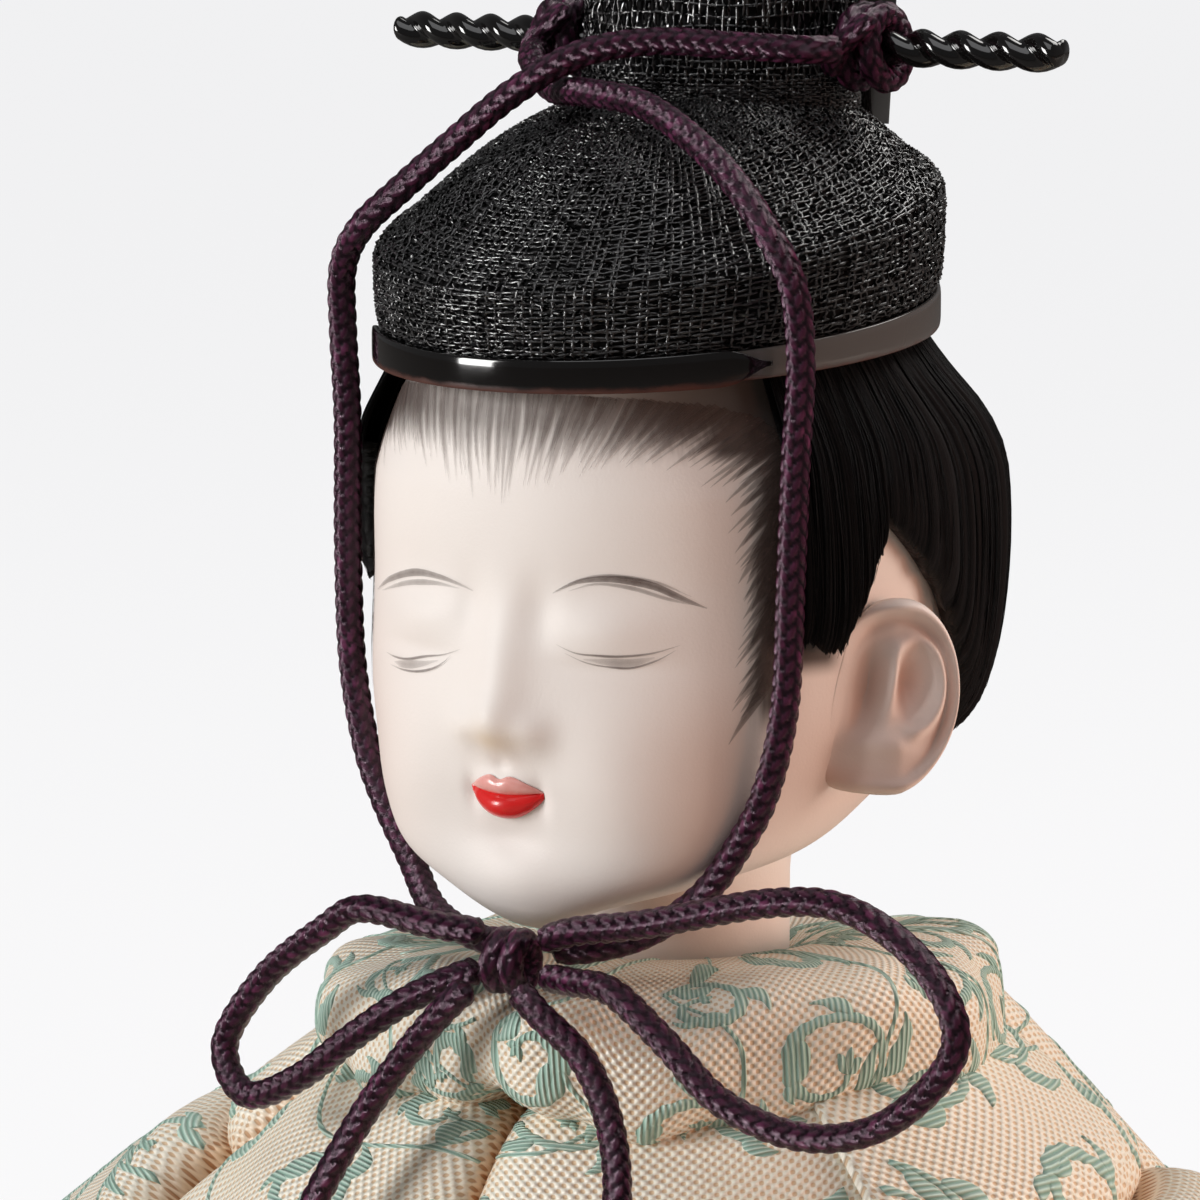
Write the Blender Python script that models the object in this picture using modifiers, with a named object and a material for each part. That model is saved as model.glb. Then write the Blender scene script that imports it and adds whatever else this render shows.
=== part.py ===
"""A seated emperor hina doll: a padded brocade robe on a moulded core, and a head with its cap and cord.

The doll faces -Y and stands on the plane z = 0. The head turns about the vertical line x = y = 0.
"""

import math

import bmesh
import bpy
from mathutils import Matrix, Vector

# Gaps
GAP = 0.0003
CLOTH_GAP = 0.0008
SEAM_GAP = 0.0004
OVERRUN = 0.004
MERGE = 0.00001

# Robe and core
BODY_HALF_WIDTH = 0.0755
BODY_FRONT = 0.053
BODY_BACK = 0.0455
BODY_HEIGHT = 0.083
BASE_THICKNESS = 0.001
# Core outline from the neck seat down: out to the side, to the front and to the back, each with its height
SIDE_SHARES = (
    (0.22, 0.949), (0.298, 0.905), (0.404, 0.824), (0.495, 0.747), (0.609, 0.665), (0.728, 0.561),
    (0.841, 0.433), (0.927, 0.29), (0.98, 0.17), (1.0, 0.096), (1.0, 0.016),
)
FRONT_SHARES = (
    (0.311, 0.922), (0.387, 0.88), (0.472, 0.817), (0.557, 0.741), (0.632, 0.663), (0.698, 0.578),
    (0.774, 0.47), (0.868, 0.343), (0.953, 0.205), (0.99, 0.096), (1.0, 0.016),
)
BACK_SHARES = (
    (0.341, 1.006), (0.44, 0.934), (0.538, 0.855), (0.626, 0.771), (0.703, 0.675), (0.78, 0.566),
    (0.857, 0.452), (0.923, 0.331), (0.978, 0.193), (1.0, 0.096), (1.0, 0.016),
)
LAST_ROW = 10
SEAT_RADIUS = 0.0092
CORE_SEGMENTS = 40

# Padding
CHEST_PADDING = 0.003
SHOULDER_PADDING = 0.0034
SLEEVE_PADDING = 0.0056
BACK_PADDING = 0.003
LAP_PADDING = 0.0026
LINING_PADDING = 0.0038
UNDER_SLEEVE_PADDING = 0.0026
HAKAMA_PADDING = 0.0085
TUCKED_PADDING = 0.0005
PADDING_ROUND = 0.0045
SLEEVE_FOLD = 0.0009
SLEEVE_FOLDS = 3

# Where the panels meet, in degrees round from the front and in rows down from the neck
NECK_SEAM = 55.0
ARMHOLE_ROW = 2.0
CHEST_ROW = 5.6
HEM_ROW = 9.7
BACK_SEAM = 124.0
HAKAMA_END = 62.0
HAKAMA_TOP_ROW = 8.0
HAKAMA_DROP_ROWS = 1.3
HAKAMA_DROP_TURNS = (28.0, 58.0)
ARMHOLE_TURNS = ((1.6, 66.0), (2.2, 62.0), (2.8, 52.0), (3.6, 36.0), (4.4, 22.0), (5.4, 15.0), (6.6, 17.0),
                 (7.6, 19.0), (9.0, 21.0))
LINING_TURN = 2.4

# Collar, measured from the neck seat
COLLAR_BORE = 0.0085
COLLAR_HALF_WIDTH = 0.0224
COLLAR_HALF_DEPTH = 0.0214
COLLAR_SETBACK = -0.0012
COLLAR_TOP_FRONT = 0.0034
COLLAR_TOP_LEFT = 0.0037
COLLAR_TOP_RIGHT = 0.0012
COLLAR_TOP_BACK = 0.0016
COLLAR_BOTTOM_FRONT = -0.0062
COLLAR_BOTTOM_SIDE = -0.0058
COLLAR_BOTTOM_BACK = -0.0046
COLLAR_SQUARE_SHARE = 0.5
COLLAR_SEGMENTS = 40
COLLAR_SIDES = 12

# Head
NECK_DROP = 0.007
CHIN_HEIGHT = BODY_HEIGHT + GAP + NECK_DROP
HEAD_HEIGHT = 0.047
HEAD_HALF_WIDTH = 0.0184
FACE_DEPTH = 0.0208
SKULL_DEPTH = 0.0204
HEAD_SQUARE_SHARE = 0.87
ROUND_CROWN_SHARES = (0.58, 0.72)
HEAD_SEGMENTS = 34
HEAD_RINGS = 24
# Head outline from the chin up, as shares of the half width, the face's depth and the skull's depth
WIDTH_SHARES = ((0.0, 0.13), (0.011, 0.28), (0.032, 0.46), (0.068, 0.655), (0.128, 0.79), (0.198, 0.905),
                (0.287, 0.985), (0.426, 1.0), (0.596, 0.97), (0.723, 0.85), (0.787, 0.77), (0.872, 0.64),
                (0.957, 0.37), (1.0, 0.0))
FACE_SHARES = ((0.0, 0.7), (0.011, 0.84), (0.032, 0.905), (0.068, 0.94), (0.128, 0.945), (0.198, 0.965),
               (0.287, 0.985), (0.426, 0.985), (0.596, 0.995), (0.723, 0.95), (0.787, 0.88), (0.872, 0.72),
               (0.957, 0.4), (1.0, 0.0))
SKULL_SHARES = ((0.0, -0.49), (0.011, -0.2), (0.032, 0.0), (0.068, 0.2), (0.128, 0.42), (0.198, 0.66),
                (0.287, 0.86), (0.426, 0.98), (0.553, 1.0), (0.638, 0.96), (0.723, 0.82), (0.787, 0.7),
                (0.872, 0.55), (0.957, 0.3), (1.0, 0.0))
# Nose tip, nose ridge, nostrils, lips, chin, cheeks, eye hollows and eyelids: across, up from the chin,
# spread across and up, and height of each swelling, as shares of the head's half width, height and depth
FEATURE_SHARES = (
    (0.0, 0.268, 0.075, 0.036, 0.115), (0.0, 0.35, 0.075, 0.075, 0.045), (0.075, 0.255, 0.045, 0.02, 0.035),
    (0.0, 0.19, 0.12, 0.02, 0.03), (0.0, 0.156, 0.09, 0.018, 0.032), (0.0, 0.06, 0.2, 0.045, 0.035),
    (0.46, 0.2, 0.27, 0.1, 0.04), (0.39, 0.375, 0.24, 0.06, -0.036), (0.38, 0.36, 0.17, 0.035, 0.024),
)
NECK_RADIUS = 0.0074
NECK_FLARE = 0.0094
NECK_FLARE_RISE = 0.016
NECK_SEGMENTS = 28
EAR_THICKNESS = 0.0036
EAR_WIDTH = 0.0082
EAR_HEIGHT = 0.0132
EAR_LEVEL_SHARE = 0.285
EAR_TURN = 72.0
EAR_SINK = 0.0006
EAR_FLARE = 42.0
EAR_LEAN = 8.0
EAR_HOLLOW_SHARE = 0.58
EAR_HOLLOW_OUT_SHARE = 0.62
EAR_SEGMENTS = 14
EAR_RINGS = 10

# Neck peg
PEG_RADIUS = 0.003
PEG_IN_HEAD = 0.012
PEG_IN_BODY = 0.026
PEG_SEGMENTS = 20

# Hair
HAIR_GAP = 0.0006
HAIR_THICKNESS = 0.0014
HAIR_EDGE_THICKNESS = 0.0006
HAIR_ROUND = 0.003
HAIR_TOP_SHARE = 0.4
HAIR_SIDE_SHARE = 0.5
HAIR_PARTING = 78.5
HAIR_FRONT_EDGE = 58.0
BACK_HAIR_EDGE = ((78.5, 0.54), (88.0, 0.46), (97.0, 0.35), (106.0, 0.26), (115.0, 0.226), (130.0, 0.226),
                  (150.0, 0.238), (180.0, 0.245))
SIDE_HAIR_EDGE = ((58.0, 0.395), (66.0, 0.374), (71.0, 0.42), (78.5, 0.535))

# Cap, in its own frame with its lower edge at height 0
CAP_LEVEL_SHARE = 0.72553
CAP_WIDTH_SHARE = 0.90217
CAP_DEPTH_SHARE = 0.89904
CAP_HEIGHT_SHARE = 0.38298
CAP_OVERHANG = 0.0011
CAP_LEVEL = HEAD_HEIGHT * CAP_LEVEL_SHARE
CAP_FRONT = FACE_DEPTH + CAP_OVERHANG
CAP_TILT = 4.0
CAP_HALF_WIDTH = HEAD_HALF_WIDTH * CAP_WIDTH_SHARE
CAP_HALF_DEPTH = FACE_DEPTH * CAP_DEPTH_SHARE
CAP_WALL = 0.0008
CAP_HEIGHT = HEAD_HEIGHT * CAP_HEIGHT_SHARE
CAP_OUTLINE_SHARES = ((0.0, 0.88), (0.285, 0.86), (0.5, 0.79), (0.7, 0.69), (0.9, 0.56), (1.0, 0.44))
CAP_RISE = 0.0042
RIM_HEIGHT = 0.0022
RIM_THICKNESS = 0.0006
CAP_CENTRE = CAP_HALF_DEPTH + RIM_THICKNESS + GAP - CAP_FRONT
FRONT_RIM_END = 58.0
FRONT_RIM_TIP_SHARE = 0.25
FRONT_RIM_NARROW_SHARE = 0.75
FRONT_RIM_COLUMNS = 24
CAP_SEGMENTS = 36

# Koji, hairpin and cap tail
KOJI_WIDTH_SHARE = 0.56024
KOJI_DEPTH_SHARE = 0.41711
KOJI_HEIGHT_SHARE = 0.35106
KOJI_HALF_WIDTH = CAP_HALF_WIDTH * KOJI_WIDTH_SHARE
KOJI_HALF_DEPTH = CAP_HALF_DEPTH * KOJI_DEPTH_SHARE
KOJI_SETBACK = 0.0048
KOJI_HEIGHT = HEAD_HEIGHT * KOJI_HEIGHT_SHARE
KOJI_SINK = 0.0012
KOJI_SEGMENTS = 26
KOJI_OUTLINE_SHARES = ((1.02, 0.0), (1.0, 0.12), (0.96, 0.5), (0.9, 0.75), (0.72, 0.93), (0.4, 1.0))
PIN_LENGTH = 0.0514
PIN_RADIUS = 0.00105
PIN_TWIST = 0.0056
PIN_LOBE_SHARE = 0.2
PIN_RISE_SHARE = 0.18788
PIN_RINGS = 60
PIN_SEGMENTS = 8
TAIL_WIDTH = 0.0095
TAIL_TIP_WIDTH = 0.0125
TAIL_THICKNESS = 0.0009
TAIL_LENGTH = 0.054
TAIL_LEAN = 6.0
TAIL_CURVE_SHARE = 0.06
TAIL_ROUND_SHARE = 0.333
TAIL_ROUND_POWER = 6
SOCKET_WALL = 0.0008
SOCKET_HEIGHT = 0.009
SOCKET_FLARE_SHARE = 0.3

# Cord
CORD_RADIUS = 0.0009
CORD_STEP = 0.004
LOOP_STEP = 0.003
KNOT_WIDTH = 0.0036
KNOT_THICKNESS = 0.0018
KNOT_OFFSET = KOJI_HALF_WIDTH + KNOT_WIDTH / 2 + 2 * GAP
KNOT_WAIST_SHARE = 0.28
KNOT_INNER_SHARE = 0.8
KNOT_SEGMENTS = 16
BOW_HALF = (0.002, 0.0018, 0.0021)
BOW_PLACE_SHARES = (0.11, -1.0865, -0.043)
# Routes from the doll's axis and the chin: across, forward and up, as shares of the head's half width,
# the face's depth and the head's height
RUN_TO_RIGHT_SHARES = (
    (0.6359, 0.0385, 1.1553), (0.5652, -0.0865, 1.1574), (0.3533, -0.1731, 1.1617),
    (0.0815, -0.2692, 1.166), (-0.1522, -0.375, 1.1468), (-0.3478, -0.4856, 1.0936),
    (-0.5217, -0.5865, 1.0255), (-0.6848, -0.6635, 0.9617), (-0.8315, -0.6875, 0.9085),
    (-0.9293, -0.6635, 0.8511), (-0.9511, -0.6442, 0.766), (-0.9402, -0.6538, 0.6383),
    (-0.9293, -0.6635, 0.4681), (-0.913, -0.6683, 0.3085), (-0.8478, -0.6779, 0.1915),
    (-0.7609, -0.7019, 0.117), (-0.6096, -0.7596, 0.0418), (-0.3839, -0.875, -0.0085),
    (-0.1483, -0.9715, -0.0285), (0.023, -0.9808, -0.0323),
)
RUN_TO_LEFT_SHARES = (
    (-0.6359, 0.0385, 1.1404), (-0.5652, -0.0865, 1.1298), (-0.3533, -0.25, 1.0957),
    (-0.1087, -0.4038, 1.0979), (0.1739, -0.4808, 1.0896), (0.4239, -0.5721, 1.0585),
    (0.6739, -0.6587, 1.0052), (0.837, -0.6827, 0.9386), (0.9293, -0.6587, 0.8641),
    (0.9511, -0.6442, 0.766), (0.9402, -0.6538, 0.6383), (0.9293, -0.6635, 0.4681),
    (0.913, -0.6683, 0.3085), (0.8478, -0.6779, 0.1915), (0.7609, -0.7019, 0.117),
    (0.6396, -0.7596, 0.0418), (0.4839, -0.865, -0.0085), (0.3183, -0.9515, -0.0285),
    (0.197, -0.9808, -0.0323),
)
# Loops and tails: across, forward and up, from the bow's knot
LOOP_LEFT = (
    (0.0022, 0.0003, 0.0015), (0.0052, -0.0004, 0.0026), (0.0102, -0.0002, 0.0036), (0.0186, 0.001, 0.0057),
    (0.0236, 0.0018, 0.0057), (0.0282, 0.0024, 0.0031), (0.0308, 0.0024, -0.0007),
    (0.0301, 0.0018, -0.0039), (0.0264, 0.0006, -0.0073), (0.0216, -0.0006, -0.0082),
    (0.0166, -0.0016, -0.0065), (0.0128, -0.002, -0.0032), (0.0088, -0.0018, -0.0006),
    (0.0052, -0.0008, -0.0006), (0.0024, 0.0002, -0.0008),
)
LOOP_RIGHT = (
    (-0.0022, 0.0003, 0.0015), (-0.006, -0.0006, 0.0018), (-0.011, -0.0008, 0.0022),
    (-0.0141, -0.0006, 0.0005), (-0.0192, -0.0002, -0.0034), (-0.0222, -0.0006, -0.0081),
    (-0.0196, -0.0018, -0.0109), (-0.015, -0.0024, -0.0091), (-0.0106, -0.0024, -0.0058),
    (-0.0072, -0.0018, -0.0033), (-0.0044, -0.0008, -0.0017), (-0.0024, 0.0002, -0.0008),
)
TAIL_LEFT = (
    (0.0018, -0.0019, -0.0013), (0.004, -0.0028, -0.0024), (0.0076, -0.0034, -0.0046),
    (0.0102, -0.0044, -0.0078), (0.0122, -0.0064, -0.0118), (0.0133, -0.0094, -0.0164),
    (0.0139, -0.0132, -0.022), (0.014, -0.017, -0.028), (0.0138, -0.021, -0.0345),
)
TAIL_RIGHT = (
    (-0.0018, -0.0019, -0.0014), (-0.0036, -0.0028, -0.0034), (-0.0062, -0.0033, -0.0066),
    (-0.0086, -0.0044, -0.0105), (-0.0101, -0.0072, -0.0153), (-0.0108, -0.011, -0.0208),
    (-0.0106, -0.015, -0.0265), (-0.0102, -0.0194, -0.033),
)

# Hands and baton
HAND_HEIGHT = 0.046
HAND_FORWARD = 0.0502
HAND_OFFSET = 0.0062
PALM_SIZE = (0.0105, 0.0072, 0.0115)
WRIST_RADIUS = 0.0024
WRIST_CLEARANCE = 0.0018
WRIST_TURN = 11.0
WRIST_ROW = 5.1
FINGER_RADIUS = 0.0014
FINGER_LENGTH = 0.0062
FINGERS = 4
FIRST_FINGER_SHARE = 0.3
FINGER_STEP_SHARE = 0.2
FINGER_OUT_SHARES = (0.62, 0.72)
FINGER_SEGMENTS = 8
WRIST_SEGMENTS = 12
BATON_LENGTH = 0.042
BATON_WIDTH = 0.0062
BATON_TIP_WIDTH = 0.0076
BATON_THICKNESS = 0.0012
BATON_BELOW = 0.0105
BATON_LEAN = 8.0

HALF_SHARE = 0.5
BALL_SEGMENTS = 14
BALL_RINGS = 10
CLUSTER_SHARE = 0.0833
FINE_STEPS = 12


def material(name, colour, roughness, metallic=0.0):
    """A Principled material of one colour."""
    made = bpy.data.materials.new(name)
    made.use_nodes = True
    made.diffuse_color = (*colour, 1.0)
    shader = made.node_tree.nodes["Principled BSDF"]
    shader.inputs["Base Color"].default_value = (*colour, 1.0)
    shader.inputs["Roughness"].default_value = roughness
    shader.inputs["Metallic"].default_value = metallic
    return made


def curve_through(points, place):
    """Height of a smooth curve through (place, height) points, read at one place."""
    places = [point[0] for point in points]
    heights = [point[1] for point in points]
    if place <= places[0]:
        return heights[0]
    if place >= places[-1]:
        return heights[-1]
    right = next(index for index, value in enumerate(places) if value > place)
    left = right - 1
    span = places[right] - places[left]
    share = (place - places[left]) / span
    slopes = []
    for index in (left, right):
        before = max(index - 1, 0)
        after = min(index + 1, len(points) - 1)
        slopes.append((heights[after] - heights[before]) / (places[after] - places[before]) * span)
    return (
        heights[left] * (1 + 2 * share) * (1 - share) ** 2
        + slopes[0] * share * (1 - share) ** 2
        + heights[right] * share ** 2 * (3 - 2 * share)
        + slopes[1] * share ** 2 * (share - 1)
    )


def smooth_points(route, step):
    """Points about one step apart on a smooth curve through a route's points."""
    corners = [Vector(point) for point in route]
    ends = [corners[0] * 2 - corners[1], *corners, corners[-1] * 2 - corners[-2]]
    dense = []
    for index in range(1, len(ends) - 2):
        before, start, end, after = ends[index - 1:index + 3]
        for part in range(FINE_STEPS):
            share = part / FINE_STEPS
            dense.append(HALF_SHARE * (
                2 * start + (end - before) * share
                + (2 * before - 5 * start + 4 * end - after) * share ** 2
                + (3 * start - before - 3 * end + after) * share ** 3
            ))
    dense.append(corners[-1])
    lengths = [0.0]
    for first, second in zip(dense, dense[1:]):
        lengths.append(lengths[-1] + (second - first).length)
    count = max(round(lengths[-1] / step), 2)
    picked = []
    for number in range(count + 1):
        target = lengths[-1] * number / count
        index = min(next((i for i, value in enumerate(lengths) if value >= target), len(dense) - 1),
                    len(dense) - 1)
        picked.append(dense[index])
    return picked


def signed_power(value, power):
    """A power that keeps the sign of its base."""
    return math.copysign(abs(value) ** power, value)


def add_object(name, mesh, collection, finish):
    """A named object for a mesh, with its material, smooth shaded up to 40 degree edges."""
    made = bpy.data.objects.new(name, mesh)
    collection.objects.link(made)
    if finish is not None:
        mesh.materials.append(finish)
    mesh.shade_smooth()
    mesh.set_sharp_from_angle(angle=math.radians(40))
    return made


def mesh_from(name, shape):
    """A mesh made from an edit mesh, with its faces turned outward."""
    bmesh.ops.recalc_face_normals(shape, faces=shape.faces[:])
    if shape.calc_volume(signed=True) < 0:
        bmesh.ops.reverse_faces(shape, faces=shape.faces[:])
    mesh = bpy.data.meshes.new(name)
    shape.to_mesh(mesh)
    shape.free()
    return mesh


def bent_block(name, columns, rows, place):
    """A grid thickened to a block, whose corners go where place(across, along, top) says."""
    shape = bmesh.new()
    bmesh.ops.create_grid(shape, x_segments=columns, y_segments=rows, size=HALF_SHARE)
    lower = list(shape.verts)
    grown = bmesh.ops.extrude_face_region(shape, geom=shape.faces[:], use_keep_orig=True)
    upper = [item for item in grown["geom"] if isinstance(item, bmesh.types.BMVert)]
    for corners, top in ((lower, False), (upper, True)):
        for corner in corners:
            corner.co = place(corner.co.x + HALF_SHARE, corner.co.y + HALF_SHARE, top)
    return mesh_from(name, shape)


def shaped_ball(name, segments, rings, place):
    """A sphere whose points go where place(turn, rise) says: turn in radians from the front towards +X,
    rise from 0 at the bottom pole to 1 at the top, in equal steps of angle."""
    shape = bmesh.new()
    bmesh.ops.create_uvsphere(shape, u_segments=segments, v_segments=rings, radius=1)
    for corner in shape.verts:
        rise = math.acos(max(-1, min(1, -corner.co.z))) / math.pi
        corner.co = place(math.atan2(corner.co.x, -corner.co.y), rise)
    return mesh_from(name, shape)


def turned(name, profile, steps):
    """The mesh of a closed or axis-ended profile at +X, turned about Z."""
    outline = bpy.data.meshes.new(name)
    outline.from_pydata([(x, 0, z) for x, z in profile], [(i, i + 1) for i in range(len(profile) - 1)], [])
    holder = bpy.data.objects.new(name, outline)
    bpy.context.scene.collection.objects.link(holder)
    screw = holder.modifiers.new("turn", "SCREW")
    screw.steps = steps
    screw.render_steps = steps
    screw.use_merge_vertices = True
    screw.merge_threshold = MERGE
    evaluated = holder.evaluated_get(bpy.context.evaluated_depsgraph_get())
    mesh = bpy.data.meshes.new_from_object(evaluated)
    bpy.data.objects.remove(holder)
    shape = bmesh.new()
    shape.from_mesh(mesh)
    bmesh.ops.remove_doubles(shape, verts=shape.verts[:], dist=MERGE)
    return mesh_from(name, shape)


def move_points(mesh, place):
    """Each point of a mesh moved to where place(point) says."""
    for corner in mesh.vertices:
        corner.co = place(corner.co.copy())
    mesh.update()
    return mesh


def tube(name, route, step, radius, collection, finish):
    """A round cord along a smooth curve through a route, with filled ends."""
    points = smooth_points(route, step)
    curve = bpy.data.curves.new(name, "CURVE")
    curve.dimensions = "3D"
    curve.bevel_depth = radius
    curve.bevel_resolution = 2
    curve.use_fill_caps = True
    line = curve.splines.new("POLY")
    line.points.add(len(points) - 1)
    for point, target in zip(line.points, points):
        point.co = (*target, 1)
    curve.materials.append(finish)
    made = bpy.data.objects.new(name, curve)
    collection.objects.link(made)
    return made


def set_origin(made, point):
    """An object's origin moved to a point, with its mesh left in place."""
    made.data.transform(Matrix.Translation(-point))
    made.location = point


def combine(target, other, operation):
    """A Boolean of one object with another."""
    change = target.modifiers.new(operation.lower() + " " + other.name, "BOOLEAN")
    change.object = other
    change.operation = operation
    change.solver = "EXACT"


def cutter(name, mesh, cutters):
    """A hidden object that others are cut by or joined with."""
    made = bpy.data.objects.new(name, mesh)
    cutters.objects.link(made)
    made.hide_render = True
    made.display_type = "WIRE"
    return made


def box_mesh(name, size, place):
    """A box of full size (x, y, z) moved by a matrix."""
    shape = bmesh.new()
    bmesh.ops.create_cube(shape, size=1, matrix=place @ Matrix.Diagonal((*size, 1)))
    return mesh_from(name, shape)


def rod_mesh(name, radius, start, end, segments):
    """A round rod between two points."""
    start, end = Vector(start), Vector(end)
    way = end - start
    place = Matrix.Translation((start + end) / 2) @ way.to_track_quat("Z", "Y").to_matrix().to_4x4()
    shape = bmesh.new()
    bmesh.ops.create_cone(shape, cap_ends=True, segments=segments, radius1=radius, radius2=radius,
                          depth=way.length, matrix=place)
    return mesh_from(name, shape)


def core_outline(shares, row, reach):
    """Reach and height of the core at one row of an outline."""
    rows = list(enumerate(shares))
    out = curve_through([(number, share[0]) for number, share in rows], row) * reach
    height = curve_through([(number, share[1]) for number, share in rows], row) * BODY_HEIGHT
    return out, height


def core_point(turn, row):
    """A point on the core, by degrees round from the front towards +X and rows down from the neck."""
    angle = math.radians(turn)
    side, side_height = core_outline(SIDE_SHARES, row, BODY_HALF_WIDTH)
    if math.cos(angle) > 0:
        deep, deep_height = core_outline(FRONT_SHARES, row, BODY_FRONT)
    else:
        deep, deep_height = core_outline(BACK_SHARES, row, BODY_BACK)
    mix = math.sin(angle) ** 2
    return Vector((side * math.sin(angle), -deep * math.cos(angle),
                   side_height * mix + deep_height * (1 - mix)))


def core_normal(turn, row):
    """The outward direction of the core's surface at a point."""
    step = 0.05
    low = max(row - step, 0)
    round_way = core_point(turn + step, row) - core_point(turn - step, row)
    down_way = core_point(turn, row + step) - core_point(turn, low)
    return round_way.cross(down_way).normalized() * -1


def clustered(share):
    """Equal steps of a share drawn together towards both ends."""
    return share - math.sin(2 * math.pi * share) * CLUSTER_SHARE


def edge_round(distance):
    """How full the padding is at a distance from its tucked edge, from 0 to 1."""
    share = min(max(distance / PADDING_ROUND, 0), 1)
    return math.sqrt(1 - (1 - share) ** 2)


def robe_panel(name, edges, limits, padding, columns, rows, folds=0):
    """A padded panel on the core. edges(row) gives its turns in degrees, limits(turn) its rows."""
    def place(across, along, top):
        across, along = clustered(across), clustered(along)
        middle_row = sum(limits(sum(edges(LAST_ROW / 2)) / 2)) / 2
        row = middle_row
        for _ in range(3):
            start, end = edges(row)
            turn = start + (end - start) * across
            first, last = limits(turn)
            row = first + (last - first) * along
        start, end = edges(row)
        width = (core_point(end, row) - core_point((start + end) / 2, row)).length * 2
        length = (core_point(turn, last) - core_point(turn, (first + last) / 2)).length * 2
        slip = SEAM_GAP / 2 / width
        across_tucked = slip + across * (1 - 2 * slip)
        drop = SEAM_GAP / 2 / length
        along_tucked = drop + along * (1 - 2 * drop)
        turn = start + (end - start) * across_tucked
        row = first + (last - first) * along_tucked
        base = core_point(turn, row)
        outward = core_normal(turn, row)
        lift = CLOTH_GAP
        if top:
            full = edge_round(min(across, 1 - across) * width) * edge_round(min(along, 1 - along) * length)
            crease = math.cos(2 * math.pi * folds * across) if folds else 0
            lift += TUCKED_PADDING + (padding - TUCKED_PADDING + crease * SLEEVE_FOLD * along) * full
        return base + outward * lift

    return bent_block(name, columns, rows, place)


def armhole_turn(row):
    """Turn of the sleeve's front edge at a row."""
    return curve_through(ARMHOLE_TURNS, row)


def hakama_row(turn):
    """Row where the sleeve, or the lap, ends and the hakama begins."""
    first, last = HAKAMA_DROP_TURNS
    share = min(max((abs(turn) - first) / (last - first), 0), 1)
    return HAKAMA_TOP_ROW + HAKAMA_DROP_ROWS * share * share * (3 - 2 * share)


def body_panels():
    """Every padded panel of the robe: its name, edges, limits, padding and grid."""
    made = []
    for side, sign in (("left", 1), ("right", -1)):
        def both(start, end, way=sign):
            return (start, end) if way > 0 else (-end, -start)

        made.append(("chest_" + side, lambda row, both=both: both(0.0, min(NECK_SEAM, armhole_turn(row))),
                     lambda turn: (0.0, CHEST_ROW), CHEST_PADDING, 8, 10, 0, "robe"))
        made.append(("shoulder_" + side, lambda row, both=both: both(NECK_SEAM, BACK_SEAM),
                     lambda turn: (0.0, ARMHOLE_ROW), SHOULDER_PADDING, 9, 5, 0, "robe"))
        made.append(("sleeve_" + side,
                     lambda row, both=both: both(armhole_turn(row), BACK_SEAM),
                     lambda turn: (ARMHOLE_ROW, min(hakama_row(turn), HEM_ROW)), SLEEVE_PADDING, 13, 11,
                     SLEEVE_FOLDS, "robe"))
        made.append(("back_" + side, lambda row, both=both: both(BACK_SEAM, 180.0),
                     lambda turn: (0.0, HEM_ROW), BACK_PADDING, 6, 12, 0, "robe"))
        made.append(("hakama_" + side, lambda row, both=both: both(0.0, HAKAMA_END),
                     lambda turn: (hakama_row(turn), float(LAST_ROW)), HAKAMA_PADDING, 10, 6, 0, "hakama"))
        made.append(("sleeve_lining_" + side,
                     lambda row, both=both: both(armhole_turn(row) - LINING_TURN, armhole_turn(row)),
                     lambda turn: (CHEST_ROW, HAKAMA_TOP_ROW), LINING_PADDING, 2, 7, 0, "lining"))
        made.append(("under_sleeve_" + side,
                     lambda row, both=both: both(armhole_turn(row) - 2 * LINING_TURN,
                                                 armhole_turn(row) - LINING_TURN),
                     lambda turn: (CHEST_ROW, HAKAMA_TOP_ROW), UNDER_SLEEVE_PADDING, 2, 7, 0, "under sleeve"))
    made.append(("lap_panel",
                 lambda row: (2 * LINING_TURN - armhole_turn(row), armhole_turn(row) - 2 * LINING_TURN),
                 lambda turn: (CHEST_ROW, HAKAMA_TOP_ROW), LAP_PADDING, 8, 6, 0, "robe"))
    return made


def core_mesh():
    """The moulded core: closed by a flat neck seat above and a flat underside below."""
    rings = LAST_ROW + 3

    def place(turn, rise):
        step = round((1 - rise) * rings)
        if step == 0:
            return Vector((0, 0, BODY_HEIGHT))
        if step == 1:
            return Vector((SEAT_RADIUS * math.sin(turn), -SEAT_RADIUS * math.cos(turn), BODY_HEIGHT))
        if step == rings:
            return Vector((0, 0, BASE_THICKNESS + GAP))
        spot = core_point(math.degrees(turn), min(step - 2, LAST_ROW))
        if step - 2 == LAST_ROW:
            spot.z = BASE_THICKNESS + GAP
        return spot

    return shaped_ball("body_core", CORE_SEGMENTS, rings, place)


def base_mesh():
    """The flat sheet under the core."""
    shape = bmesh.new()
    bmesh.ops.create_cone(shape, cap_ends=True, segments=CORE_SEGMENTS, radius1=1, radius2=1,
                          depth=BASE_THICKNESS)
    for corner in shape.verts:
        spot = core_point(math.degrees(math.atan2(corner.co.x, -corner.co.y)), LAST_ROW)
        corner.co = (spot.x, spot.y, corner.co.z + BASE_THICKNESS / 2)
    return mesh_from("base_cover", shape)


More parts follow.
